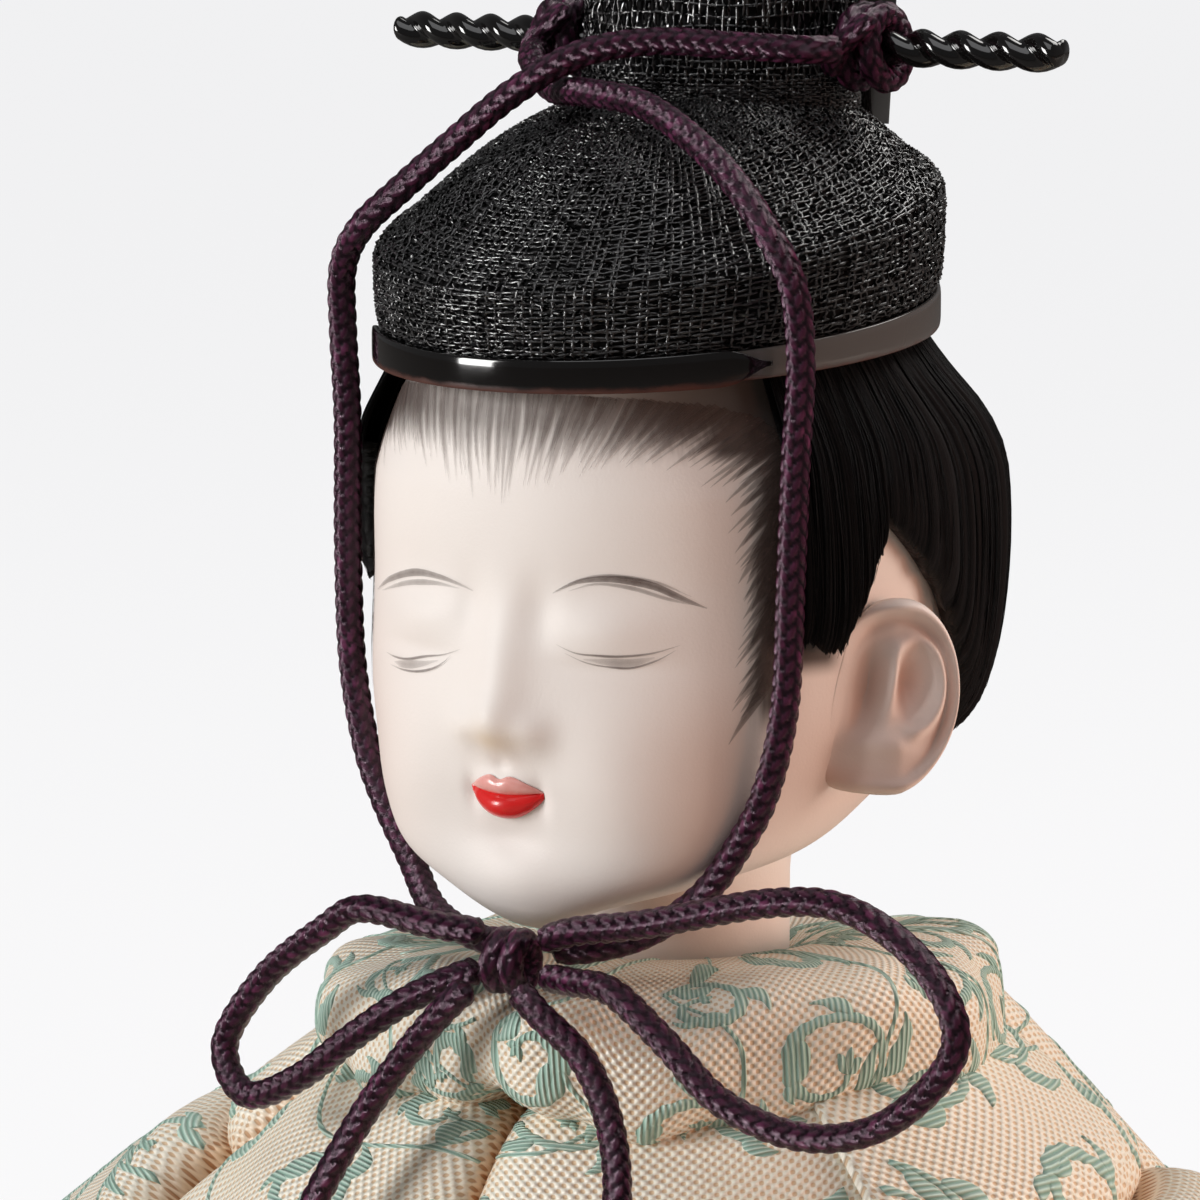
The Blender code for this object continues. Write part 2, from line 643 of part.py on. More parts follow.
def collar_mesh(name, grow):
    """The padded collar ring round the neck, grown on every side."""
    shape = bmesh.new()
    rings = []
    for number in range(COLLAR_SEGMENTS):
        turn = 2 * math.pi * number / COLLAR_SEGMENTS
        side_share = math.sin(turn) ** 2
        ahead = math.cos(turn) > 0
        beside = COLLAR_TOP_LEFT if math.sin(turn) > 0 else COLLAR_TOP_RIGHT
        top = beside * side_share + (COLLAR_TOP_FRONT if ahead else COLLAR_TOP_BACK) * (1 - side_share)
        low = (COLLAR_BOTTOM_SIDE * side_share
               + (COLLAR_BOTTOM_FRONT if ahead else COLLAR_BOTTOM_BACK) * (1 - side_share))
        outer = Vector((COLLAR_HALF_WIDTH * math.sin(turn), COLLAR_SETBACK - COLLAR_HALF_DEPTH * math.cos(turn)))
        way = outer.normalized()
        inner = COLLAR_BORE - grow
        reach = outer.length + grow
        middle = (inner + reach) / 2
        half = (reach - inner) / 2
        level = (top + low) / 2
        half_height = (top - low) / 2 + grow
        ring = []
        for part in range(COLLAR_SIDES):
            angle = 2 * math.pi * part / COLLAR_SIDES
            out = middle + half * signed_power(math.cos(angle), COLLAR_SQUARE_SHARE)
            rise = level + half_height * signed_power(math.sin(angle), COLLAR_SQUARE_SHARE)
            ring.append(shape.verts.new((way.x * out, way.y * out, BODY_HEIGHT + rise)))
        rings.append(ring)
    for number in range(COLLAR_SEGMENTS):
        here, there = rings[number], rings[(number + 1) % COLLAR_SEGMENTS]
        for part in range(COLLAR_SIDES):
            after = (part + 1) % COLLAR_SIDES
            shape.faces.new((here[part], here[after], there[after], there[part]))
    return mesh_from(name, shape)


def face_relief(across, up):
    """How far the face swells forward at a place, from its nose, lips, chin, cheeks and eyes."""
    total = 0
    for place, level, wide, tall, height in FEATURE_SHARES:
        rise = math.exp(-((up / HEAD_HEIGHT - level) / tall) ** 2)
        for sign in ((1, -1) if place else (1,)):
            offset = (across / HEAD_HALF_WIDTH - sign * place) / wide
            total += height * FACE_DEPTH * rise * math.exp(-offset ** 2)
    return total


def head_point(turn, level):
    """A point of the head by radians round from the front and share of its height above the chin."""
    rise = math.acos(max(-1, min(1, 1 - 2 * level))) / math.pi

    def read(shares):
        by_angle = [(math.acos(1 - 2 * share) / math.pi, value) for share, value in shares]
        return curve_through(by_angle, rise)

    half_width = read(WIDTH_SHARES) * HEAD_HALF_WIDTH
    front = read(FACE_SHARES) * FACE_DEPTH
    back = read(SKULL_SHARES) * SKULL_DEPTH
    middle = (back - front) / 2
    deep = (back + front) / 2
    first, last = ROUND_CROWN_SHARES
    square = HEAD_SQUARE_SHARE + (1 - HEAD_SQUARE_SHARE) * min(max((level - first) / (last - first), 0), 1)
    x = half_width * signed_power(math.sin(turn), square)
    y = middle - deep * signed_power(math.cos(turn), square)
    z = level * HEAD_HEIGHT
    if math.cos(turn) > 0:
        y -= face_relief(x, z) * min(math.cos(turn) * 2, 1)
    return Vector((x, y, CHIN_HEIGHT + z))


def head_mesh():
    """Skull and face as one shaped ball."""
    def place(turn, rise):
        level = (1 - math.cos(math.pi * rise)) / 2
        spot = head_point(turn, level)
        if rise in (0, 1):
            spot.x = 0
            spot.y = head_point(math.pi / 2, level).y
        return spot

    return shaped_ball("head", HEAD_SEGMENTS, HEAD_RINGS, place)


def neck_mesh():
    """The neck, flaring up into the head."""
    bottom = BODY_HEIGHT + GAP
    top = CHIN_HEIGHT + NECK_FLARE_RISE
    profile = (
        (0, top), (NECK_FLARE, top), (NECK_FLARE, top - NECK_FLARE_RISE * HALF_SHARE),
        (NECK_RADIUS, CHIN_HEIGHT), (NECK_RADIUS, bottom), (0, bottom),
    )
    return turned("neck", profile, NECK_SEGMENTS)


def ear_matrix(sign):
    """Where an ear sits: flared out from the side of the head and leaning back a little."""
    spot = head_point(math.radians(EAR_TURN), EAR_LEVEL_SHARE)
    turn = math.radians(EAR_FLARE)
    spot.x = (spot.x - EAR_SINK + EAR_WIDTH / 2 * math.sin(turn)) * sign
    spot.y += EAR_WIDTH / 2 * math.cos(turn)
    flare = Matrix.Rotation(math.radians(-EAR_FLARE * sign), 4, "Z")
    lean = Matrix.Rotation(math.radians(-EAR_LEAN), 4, "X")
    return Matrix.Translation(spot) @ lean @ flare


def ear_mesh(name, sign, share, offset, grow):
    """An ear's rounded form, or a share of it moved outward, grown on every side."""
    shape = bmesh.new()
    size = Matrix.Diagonal((EAR_THICKNESS * share + grow, EAR_WIDTH / 2 * share + grow,
                            EAR_HEIGHT / 2 * share + grow, 1))
    shift = Matrix.Translation((offset * sign, -offset * HALF_SHARE, 0))
    bmesh.ops.create_uvsphere(shape, u_segments=EAR_SEGMENTS, v_segments=EAR_RINGS, radius=1,
                              matrix=ear_matrix(sign) @ shift @ size)
    return mesh_from(name, shape)


def make_head(parts, cutters, finish):
    """The head with ears and neck, and the hole for its peg."""
    head = add_object("head", head_mesh(), parts, finish)
    combine(head, cutter("neck", neck_mesh(), cutters), "UNION")
    for side, sign in (("left", 1), ("right", -1)):
        ear = ear_mesh("ear_" + side, sign, 1, 0, 0)
        hollow = ear_mesh("ear_hollow_" + side, sign, EAR_HOLLOW_SHARE, EAR_THICKNESS * EAR_HOLLOW_OUT_SHARE, 0)
        combine(head, cutter("ear_" + side, ear, cutters), "UNION")
        combine(head, cutter("ear_hollow_" + side, hollow, cutters), "DIFFERENCE")
    top = BODY_HEIGHT + PEG_IN_HEAD + GAP
    hole = rod_mesh("peg_hole", PEG_RADIUS + GAP, (0, 0, BODY_HEIGHT - OVERRUN), (0, 0, top), PEG_SEGMENTS)
    combine(head, cutter("peg_hole", hole, cutters), "DIFFERENCE")
    return head


def cap_lower_edge(forward):
    """Height of the cap's lower edge at a place along Y, as the cap tilts up to the back."""
    return CHIN_HEIGHT + CAP_LEVEL + (forward + CAP_FRONT) * math.tan(math.radians(CAP_TILT))


def hair_panel(name, start, end, edge, columns, rows):
    """Hair on the head between two turns, from under the cap down to its edge."""
    def place(across, along, top):
        across, along = clustered(across), clustered(along)
        turn = math.radians(start + (end - start) * across)
        reach = abs(math.degrees(turn))
        if reach > 180:
            reach = 360 - reach
        low = curve_through(edge, reach)
        high = (CAP_LEVEL - GAP) / HEAD_HEIGHT
        for _ in range(3):
            high = (cap_lower_edge(head_point(turn, high).y) - GAP - CHIN_HEIGHT) / HEAD_HEIGHT
        level = high + (low - high) * along
        spot = head_point(turn, level)
        step = 0.01
        round_way = head_point(turn + step, level) - head_point(turn - step, level)
        up_way = head_point(turn, level + step) - head_point(turn, level - step)
        outward = round_way.cross(up_way).normalized()
        outward.z *= along
        lift = HAIR_GAP
        if top:
            length = (high - low) * HEAD_HEIGHT
            fall = min((1 - along) * length / HAIR_ROUND, 1)
            rise = min(along * length / HAIR_ROUND / 2, 1)
            width = abs(end - start) / 360 * 2 * math.pi * HEAD_HALF_WIDTH
            side = min(min(across, 1 - across) * width / HAIR_ROUND * 2, 1)
            full = math.sqrt(1 - (1 - fall) ** 2)
            full *= HAIR_TOP_SHARE + (1 - HAIR_TOP_SHARE) * rise
            full *= HAIR_SIDE_SHARE + (1 - HAIR_SIDE_SHARE) * side
            lift += HAIR_EDGE_THICKNESS + (HAIR_THICKNESS - HAIR_EDGE_THICKNESS) * full
        return spot + outward * lift

    return bent_block(name, columns, rows, place)


def make_hair(parts, cutters, finish):
    """The hair at the back, which leaves room for the ears, and a lock beside each temple."""
    parting = HAIR_PARTING
    slip = math.degrees(SEAM_GAP / HEAD_HALF_WIDTH)
    back = hair_panel("hair_back", parting + slip, 360 - parting - slip, BACK_HAIR_EDGE, 20, 6)
    back = add_object("hair_back", back, parts, finish)
    for side, sign in (("left", 1), ("right", -1)):
        room = ear_mesh("ear_room_" + side, sign, 1, 0, GAP)
        combine(back, cutter("ear_room_" + side, room, cutters), "DIFFERENCE")
    left = hair_panel("hair_side_left", HAIR_FRONT_EDGE, parting, SIDE_HAIR_EDGE, 5, 6)
    add_object("hair_side_left", left, parts, finish)
    right = hair_panel("hair_side_right", -HAIR_FRONT_EDGE, -parting, SIDE_HAIR_EDGE, 5, 6)
    add_object("hair_side_right", right, parts, finish)


def cap_place(point, half_width, half_depth):
    """A point of the cap: a unit turned shape stretched to the cap's oval, moved and tilted."""
    forward = point.y * half_depth + CAP_CENTRE
    rise = CAP_RISE * point.z / CAP_HEIGHT * point.y
    return Vector((point.x * half_width, forward, cap_lower_edge(forward) + point.z + rise))


def cap_mesh():
    """The cap: an upright wall, a crease and a crown that rises to the koji, hollow for the head."""
    inset = 1 - CAP_WALL / CAP_HALF_WIDTH
    outer = [(share, height * CAP_HEIGHT) for share, height in CAP_OUTLINE_SHARES]
    inner = [(share * inset, height * CAP_HEIGHT - CAP_WALL) for share, height in reversed(CAP_OUTLINE_SHARES)]
    profile = [*outer, (1, 0), (inset, 0), *inner]
    mesh = turned("cap_shell", profile, CAP_SEGMENTS)
    return move_points(mesh, lambda point: cap_place(point, CAP_HALF_WIDTH, CAP_HALF_DEPTH))


def rim_back_mesh():
    """The lacquer band round the cap's lower edge."""
    inner_share = 1 + GAP / CAP_HALF_WIDTH
    outer_share = inner_share + RIM_THICKNESS / 2 / CAP_HALF_WIDTH
    profile = [(outer_share, RIM_HEIGHT), (outer_share, 0), (inner_share, 0), (inner_share, RIM_HEIGHT),
               (outer_share, RIM_HEIGHT)]
    mesh = turned("rim_back", profile, CAP_SEGMENTS)
    return move_points(mesh, lambda point: cap_place(point, CAP_HALF_WIDTH, CAP_HALF_DEPTH))


def rim_front_mesh():
    """The front band, which lies over the other and narrows to a point beside each cord."""
    def place(across, along, top):
        turn = math.radians((across * 2 - 1) * FRONT_RIM_END)
        share = abs(across * 2 - 1)
        tip = max(share - FRONT_RIM_NARROW_SHARE, 0) / (1 - FRONT_RIM_NARROW_SHARE)
        narrow = 1 - (1 - FRONT_RIM_TIP_SHARE) * tip
        out = GAP * 2 + RIM_THICKNESS / 2 + (RIM_THICKNESS if top else 0)
        height = RIM_HEIGHT * (HALF_SHARE + (along - HALF_SHARE) * narrow)
        unit = Vector((math.sin(turn), -math.cos(turn), height))
        return cap_place(unit, CAP_HALF_WIDTH + out, CAP_HALF_DEPTH + out)

    return bent_block("rim_front", FRONT_RIM_COLUMNS, 2, place)


def koji_base():
    """Height of the koji's foot, a little below the cap's crown."""
    share = (KOJI_SETBACK - CAP_CENTRE) / CAP_HALF_DEPTH
    height = curve_through(CAP_OUTLINE_SHARES, share) * CAP_HEIGHT
    return cap_place(Vector((0, share, height)), CAP_HALF_WIDTH, CAP_HALF_DEPTH).z - KOJI_SINK


def pin_height():
    """Height of the hairpin's middle line."""
    return koji_base() + KOJI_HEIGHT * PIN_RISE_SHARE


def koji_mesh():
    """The hump over the topknot."""
    profile = [(0, KOJI_HEIGHT)]
    profile += [(share, height * KOJI_HEIGHT) for share, height in reversed(KOJI_OUTLINE_SHARES)]
    profile += [(KOJI_OUTLINE_SHARES[0][0], -OVERRUN), (0, -OVERRUN)]

    def place(point):
        return Vector((point.x * KOJI_HALF_WIDTH, point.y * KOJI_HALF_DEPTH + KOJI_SETBACK,
                       koji_base() + point.z))

    return move_points(turned("koji", profile, KOJI_SEGMENTS), place)


def pin_mesh():
    """A rod of two strands twisted together, along X."""
    shape = bmesh.new()
    rings = []
    for number in range(PIN_RINGS + 1):
        along = PIN_LENGTH * (number / PIN_RINGS - HALF_SHARE)
        ring = []
        for part in range(PIN_SEGMENTS):
            angle = 2 * math.pi * part / PIN_SEGMENTS
            swell = 1 + PIN_LOBE_SHARE * math.cos(2 * (angle - 2 * math.pi * along / PIN_TWIST))
            ring.append(shape.verts.new((along, PIN_RADIUS * swell * math.cos(angle) + KOJI_SETBACK,
                                         PIN_RADIUS * swell * math.sin(angle) + pin_height())))
        rings.append(ring)
    for here, there in zip(rings, rings[1:]):
        for part in range(PIN_SEGMENTS):
            after = (part + 1) % PIN_SEGMENTS
            shape.faces.new((here[part], here[after], there[after], there[part]))
    shape.faces.new(rings[0])
    shape.faces.new(rings[-1])
    return mesh_from("hairpin", shape)


def pin_knot_mesh(name, sign):
    """A knot of cord wound twice round the hairpin."""
    inner = PIN_RADIUS * (1 + PIN_LOBE_SHARE) + GAP
    outer = inner + KNOT_THICKNESS
    half = KNOT_WIDTH / 2
    waist = outer - KNOT_THICKNESS * KNOT_WAIST_SHARE
    foot = half * KNOT_INNER_SHARE
    profile = [(inner, foot), (waist, half), (outer, half * HALF_SHARE), (waist, 0),
               (outer, -half * HALF_SHARE), (waist, -half), (inner, -foot), (inner, foot)]
    turn = Matrix.Translation((sign * KNOT_OFFSET, KOJI_SETBACK, pin_height()))
    turn = turn @ Matrix.Rotation(math.radians(90), 4, "Y")
    return move_points(turned(name, profile, KNOT_SEGMENTS), lambda point: turn @ point)


def tail_matrix():
    """The frame of the cap's upright tail: Z up along it, standing behind the koji."""
    foot = Vector((0, KOJI_SETBACK + KOJI_HALF_DEPTH * KOJI_OUTLINE_SHARES[0][0] + GAP + SOCKET_WALL
                   + GAP + TAIL_THICKNESS / 2, koji_base()))
    return Matrix.Translation(foot) @ Matrix.Rotation(math.radians(-TAIL_LEAN), 4, "X")


def make_cap_tail(parts, cutters, gauze):
    """The upright tail and the socket behind the koji that holds its foot."""
    place = tail_matrix()
    foot = SOCKET_WALL + GAP

    def tail(across, along, top):
        width = TAIL_WIDTH + (TAIL_TIP_WIDTH - TAIL_WIDTH) * along
        rounding = math.sqrt(max(1 - (across * 2 - 1) ** 2, 0)) * along ** TAIL_ROUND_POWER
        rounding *= TAIL_WIDTH * TAIL_ROUND_SHARE
        lean = -TAIL_LENGTH * TAIL_CURVE_SHARE * along ** 2
        thick = TAIL_THICKNESS * (HALF_SHARE if top else -HALF_SHARE)
        return place @ Vector(((across - HALF_SHARE) * width, thick - lean,
                               foot + along * TAIL_LENGTH + rounding))

    upright = add_object("cap_tail", bent_block("cap_tail", 4, 8, tail), parts, gauze)
    set_origin(upright, place.translation)
    width = TAIL_WIDTH + 4 * GAP + 2 * SOCKET_WALL + (TAIL_TIP_WIDTH - TAIL_WIDTH) * SOCKET_FLARE_SHARE
    depth = TAIL_THICKNESS + 4 * GAP + 2 * SOCKET_WALL
    outer = box_mesh("tail_socket", (width, depth, SOCKET_HEIGHT + OVERRUN),
                     place @ Matrix.Translation((0, 0, (SOCKET_HEIGHT - OVERRUN) / 2)))
    inner = box_mesh("tail_slot", (width - 2 * SOCKET_WALL, depth - 2 * SOCKET_WALL, SOCKET_HEIGHT + OVERRUN),
                     place @ Matrix.Translation((0, 0, SOCKET_WALL + (SOCKET_HEIGHT + OVERRUN) / 2)))
    return cutter("tail_socket", outer, cutters), cutter("tail_slot", inner, cutters)


def make_cap(parts, cutters, finishes):
    """Cap, rims, koji with its tail socket, hairpin, its knots and the upright tail."""
    gauze, lacquer, cord = finishes["gauze"], finishes["lacquer"], finishes["cord"]
    cap = add_object("cap_shell", cap_mesh(), parts, gauze)
    add_object("rim_back", rim_back_mesh(), parts, lacquer)
    add_object("rim_front", rim_front_mesh(), parts, lacquer)
    koji = add_object("koji", koji_mesh(), parts, gauze)
    socket, slot = make_cap_tail(parts, cutters, gauze)
    combine(koji, socket, "UNION")
    combine(koji, slot, "DIFFERENCE")
    reach = KOJI_HALF_WIDTH * 2
    bore = rod_mesh("pin_bore", PIN_RADIUS * (1 + PIN_LOBE_SHARE) + GAP,
                    (-reach, KOJI_SETBACK, pin_height()), (reach, KOJI_SETBACK, pin_height()), PIN_SEGMENTS * 2)
    combine(koji, cutter("pin_bore", bore, cutters), "DIFFERENCE")
    crown = cutter("cap_crown", crown_mesh(), cutters)
    combine(koji, crown, "DIFFERENCE")
    add_object("hairpin", pin_mesh(), parts, lacquer)
    for side, sign in (("left", 1), ("right", -1)):
        add_object("pin_knot_" + side, pin_knot_mesh("pin_knot_" + side, sign), parts, cord)
    return cap


def crown_mesh():
    """The cap as a solid, a gap larger, which the koji's foot is cut by."""
    profile = [(share, height * CAP_HEIGHT + GAP) for share, height in CAP_OUTLINE_SHARES]
    profile = [*profile, (1, -CAP_WALL), (0, -CAP_WALL)]
    mesh = turned("cap_crown", profile, CAP_SEGMENTS)
    return move_points(mesh, lambda point: cap_place(point, CAP_HALF_WIDTH + GAP, CAP_HALF_DEPTH + GAP))


def placed(route, origin):
    """A route moved to its origin."""
    return [Vector(point) + origin for point in route]


def on_head(shares):
    """A point given by shares of the head's half width, the face's depth and the head's height."""
    across, forward, up = shares
    return Vector((across * HEAD_HALF_WIDTH, forward * FACE_DEPTH, CHIN_HEIGHT + up * HEAD_HEIGHT))


def make_cord(parts, finish):
    """The two runs from the hairpin to the chin, the bow's knot, its loops and its tails."""
    knot = on_head(BOW_PLACE_SHARES)
    for name, shares in (("cord_run_right", RUN_TO_RIGHT_SHARES), ("cord_run_left", RUN_TO_LEFT_SHARES)):
        tube(name, [on_head(share) for share in shares], CORD_STEP, CORD_RADIUS, parts, finish)
    tube("bow_loop_left", placed(LOOP_LEFT, knot), LOOP_STEP, CORD_RADIUS, parts, finish)
    tube("bow_loop_right", placed(LOOP_RIGHT, knot), LOOP_STEP, CORD_RADIUS, parts, finish)
    tube("cord_tail_left", placed(TAIL_LEFT, knot), CORD_STEP, CORD_RADIUS, parts, finish)
    tube("cord_tail_right", placed(TAIL_RIGHT, knot), CORD_STEP, CORD_RADIUS, parts, finish)
    add_object("bow_knot", ball_mesh("bow_knot", BOW_HALF, Matrix.Translation(knot)), parts, finish)


def hand_frame():
    """The frame of the baton: its middle in the right hand, Z up along it, leaning forward."""
    spot = Vector((-HAND_OFFSET, -HAND_FORWARD, HAND_HEIGHT))
    return Matrix.Translation(spot) @ Matrix.Rotation(math.radians(BATON_LEAN), 4, "X")


def ball_mesh(name, half, place):
    """A ball of half sizes (x, y, z) moved by a matrix."""
    shape = bmesh.new()
    bmesh.ops.create_uvsphere(shape, u_segments=BALL_SEGMENTS, v_segments=BALL_RINGS, radius=1,
                              matrix=place @ Matrix.Diagonal((*half, 1)))
    return mesh_from(name, shape)


def make_hand(side, sign, parts, cutters, finish):
    """A closed hand: a rounded palm with four fingers laid round its front."""
    spot = Vector((sign * HAND_OFFSET, -HAND_FORWARD, HAND_HEIGHT))
    frame = Matrix.Translation(spot) @ Matrix.Rotation(math.radians(BATON_LEAN), 4, "X")
    half = [size / 2 for size in PALM_SIZE]
    hand = add_object("hand_" + side, ball_mesh("hand_" + side, half, frame), parts, finish)
    outward = core_normal(sign * WRIST_TURN, WRIST_ROW)
    cuff = core_point(sign * WRIST_TURN, WRIST_ROW) + outward * (CLOTH_GAP + CHEST_PADDING + WRIST_CLEARANCE)
    wrist = rod_mesh("wrist_" + side, WRIST_RADIUS, spot, cuff, WRIST_SEGMENTS)
    combine(hand, cutter("wrist_" + side, wrist, cutters), "UNION")
    reach = sign * FINGER_LENGTH * HALF_SHARE
    root_out, tip_out = FINGER_OUT_SHARES
    for number in range(FINGERS):
        height = PALM_SIZE[2] * (FIRST_FINGER_SHARE - FINGER_STEP_SHARE * number)
        start = frame @ Vector((reach, -half[1] * root_out, height))
        end = frame @ Vector((-reach, -half[1] * tip_out, height - FINGER_RADIUS))
        name = "finger_" + side + "_" + str(number + 1)
        finger = rod_mesh(name, FINGER_RADIUS, start, end, FINGER_SEGMENTS)
        combine(hand, cutter(name, finger, cutters), "UNION")
    return hand


def make_hands(parts, cutters, finishes):
    """Both hands, and the baton that stands in the right one."""
    make_hand("left", 1, parts, cutters, finishes["skin"])
    hand = make_hand("right", -1, parts, cutters, finishes["skin"])
    frame = hand_frame()

    def board(grow):
        def place(across, along, top):
            width = BATON_WIDTH + (BATON_TIP_WIDTH - BATON_WIDTH) * along + 2 * grow
            thick = (BATON_THICKNESS / 2 + grow) * (1 if top else -1)
            height = (BATON_LENGTH + 2 * grow) * along - BATON_BELOW - grow
            return frame @ Vector(((across - HALF_SHARE) * width, thick, height))

        return place

    baton = add_object("baton", bent_block("baton", 1, 1, board(0)), parts, finishes["wood"])
    set_origin(baton, frame.translation)
    slot = cutter("baton_slot", bent_block("baton_slot", 1, 1, board(GAP)), cutters)
    combine(hand, slot, "DIFFERENCE")


def make_peg(parts, cutters, core, finish):
    """The peg that carries the head, and the socket for it in the core."""
    bottom = BODY_HEIGHT - PEG_IN_BODY
    peg = rod_mesh("neck_peg", PEG_RADIUS, (0, 0, bottom), (0, 0, BODY_HEIGHT + PEG_IN_HEAD), PEG_SEGMENTS)
    add_object("neck_peg", peg, parts, finish)
    hole = rod_mesh("peg_socket", PEG_RADIUS + GAP, (0, 0, bottom - GAP), (0, 0, BODY_HEIGHT + OVERRUN),
                    PEG_SEGMENTS)
    combine(core, cutter("peg_socket", hole, cutters), "DIFFERENCE")


def make_robe(parts, cutters, finishes):
    """Core, base, collar and padded panels."""
    core = add_object("body_core", core_mesh(), parts, finishes["core"])
    add_object("base_cover", base_mesh(), parts, finishes["paper"])
    add_object("collar_roll", collar_mesh("collar_roll", 0), parts, finishes["robe"])
    seat = cutter("collar_seat", collar_mesh("collar_seat", GAP), cutters)
    combine(core, seat, "DIFFERENCE")
    for name, edges, limits, padding, columns, rows, folds, finish in body_panels():
        mesh = robe_panel(name, edges, limits, padding, columns, rows, folds)
        panel = add_object(name, mesh, parts, finishes[finish])
        if name.startswith(("chest", "shoulder", "back")):
            combine(panel, seat, "DIFFERENCE")
    return core


def make_finishes():
    """One material for each kind of surface."""
    return {
        "robe": material("robe brocade", (0.78, 0.65, 0.47), 0.7),
        "hakama": material("hakama silk", (0.80, 0.78, 0.74), 0.6),
        "lining": material("red lining", (0.50, 0.07, 0.04), 0.6),
        "under sleeve": material("white under sleeve", (0.86, 0.85, 0.82), 0.6),
        "core": material("moulded core", (0.55, 0.42, 0.28), 0.9),
        "paper": material("base paper", (0.62, 0.52, 0.36), 0.9),
        "skin": material("painted skin", (0.86, 0.80, 0.76), 0.55),
        "hair": material("black silk hair", (0.01, 0.01, 0.012), 0.4),
        "gauze": material("lacquered gauze", (0.012, 0.012, 0.013), 0.35),
        "lacquer": material("black lacquer", (0.008, 0.007, 0.007), 0.1),
        "cord": material("aubergine silk cord", (0.055, 0.015, 0.035), 0.5),
        "wood": material("pale wood", (0.62, 0.44, 0.26), 0.55),
    }


def main():
    """Build the doll in its own collection."""
    for old in list(bpy.data.objects):
        bpy.data.objects.remove(old)
    parts = bpy.data.collections.new("hina_doll")
    cutters = bpy.data.collections.new("cutters")
    bpy.context.scene.collection.children.link(parts)
    bpy.context.scene.collection.children.link(cutters)
    finishes = make_finishes()
    core = make_robe(parts, cutters, finishes)
    make_peg(parts, cutters, core, finishes["wood"])
    make_head(parts, cutters, finishes["skin"])
    make_hair(parts, cutters, finishes["hair"])
    make_cap(parts, cutters, finishes)
    make_cord(parts, finishes["cord"])
    make_hands(parts, cutters, finishes)


main()
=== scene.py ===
"""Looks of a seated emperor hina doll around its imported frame: painted head, silk hair, woven gauze cap,
braided cord and padded brocade robe. It is laid out as an add-on and run as a script."""

import math

import bpy
import numpy as np
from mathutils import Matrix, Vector


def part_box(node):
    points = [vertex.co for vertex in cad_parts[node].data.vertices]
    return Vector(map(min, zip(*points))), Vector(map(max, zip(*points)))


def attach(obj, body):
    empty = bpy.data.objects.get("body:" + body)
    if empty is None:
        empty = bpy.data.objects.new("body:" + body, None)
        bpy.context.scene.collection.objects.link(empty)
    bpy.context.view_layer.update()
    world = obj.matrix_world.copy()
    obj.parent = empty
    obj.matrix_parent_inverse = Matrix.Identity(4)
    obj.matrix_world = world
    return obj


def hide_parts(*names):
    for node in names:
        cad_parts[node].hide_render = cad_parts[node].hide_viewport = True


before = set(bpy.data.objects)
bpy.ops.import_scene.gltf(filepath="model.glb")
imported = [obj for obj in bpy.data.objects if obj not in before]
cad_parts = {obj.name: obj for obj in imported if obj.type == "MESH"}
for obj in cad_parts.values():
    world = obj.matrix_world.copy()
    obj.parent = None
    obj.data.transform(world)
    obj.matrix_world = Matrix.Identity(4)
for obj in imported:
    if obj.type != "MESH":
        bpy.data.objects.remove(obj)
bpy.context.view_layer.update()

bl_info = {
    "name": "Hina Doll Looks",
    "version": (1, 0, 0),
    "blender": (4, 5, 0),
    "location": "3D View > Sidebar > Hina Doll",
    "description": "Builds the visible surfaces of a seated hina doll round its packed frame",
    "category": "Object",
}

# Sizes shared with the part's source
GAP = 0.0003
CLOTH_GAP = 0.0008
SEAM_GAP = 0.0004
BODY_HALF_WIDTH = 0.0755
BODY_FRONT = 0.053
BODY_BACK = 0.0455
BODY_HEIGHT = 0.083
NECK_DROP = 0.007
CHIN_HEIGHT = BODY_HEIGHT + GAP + NECK_DROP
HEAD_HEIGHT = 0.047
HEAD_HALF_WIDTH = 0.0184
FACE_DEPTH = 0.0208
SKULL_DEPTH = 0.0204
HEAD_SQUARE_SHARE = 0.87
ROUND_CROWN_SHARES = (0.58, 0.72)
WIDTH_SHARES = ((0.0, 0.13), (0.011, 0.28), (0.032, 0.46), (0.068, 0.655), (0.128, 0.79), (0.198, 0.905),
                (0.287, 0.985), (0.426, 1.0), (0.596, 0.97), (0.723, 0.85), (0.787, 0.77), (0.872, 0.64),
                (0.957, 0.37), (1.0, 0.0))
FACE_SHARES = ((0.0, 0.7), (0.011, 0.84), (0.032, 0.905), (0.068, 0.94), (0.128, 0.945), (0.198, 0.965),
               (0.287, 0.985), (0.426, 0.985), (0.596, 0.995), (0.723, 0.95), (0.787, 0.88), (0.872, 0.72),
               (0.957, 0.4), (1.0, 0.0))
SKULL_SHARES = ((0.0, -0.49), (0.011, -0.2), (0.032, 0.0), (0.068, 0.2), (0.128, 0.42), (0.198, 0.66),
                (0.287, 0.86), (0.426, 0.98), (0.553, 1.0), (0.638, 0.96), (0.723, 0.82), (0.787, 0.7),
                (0.872, 0.55), (0.957, 0.3), (1.0, 0.0))
CORD_RADIUS = 0.0009
CURVE_STEPS = 24


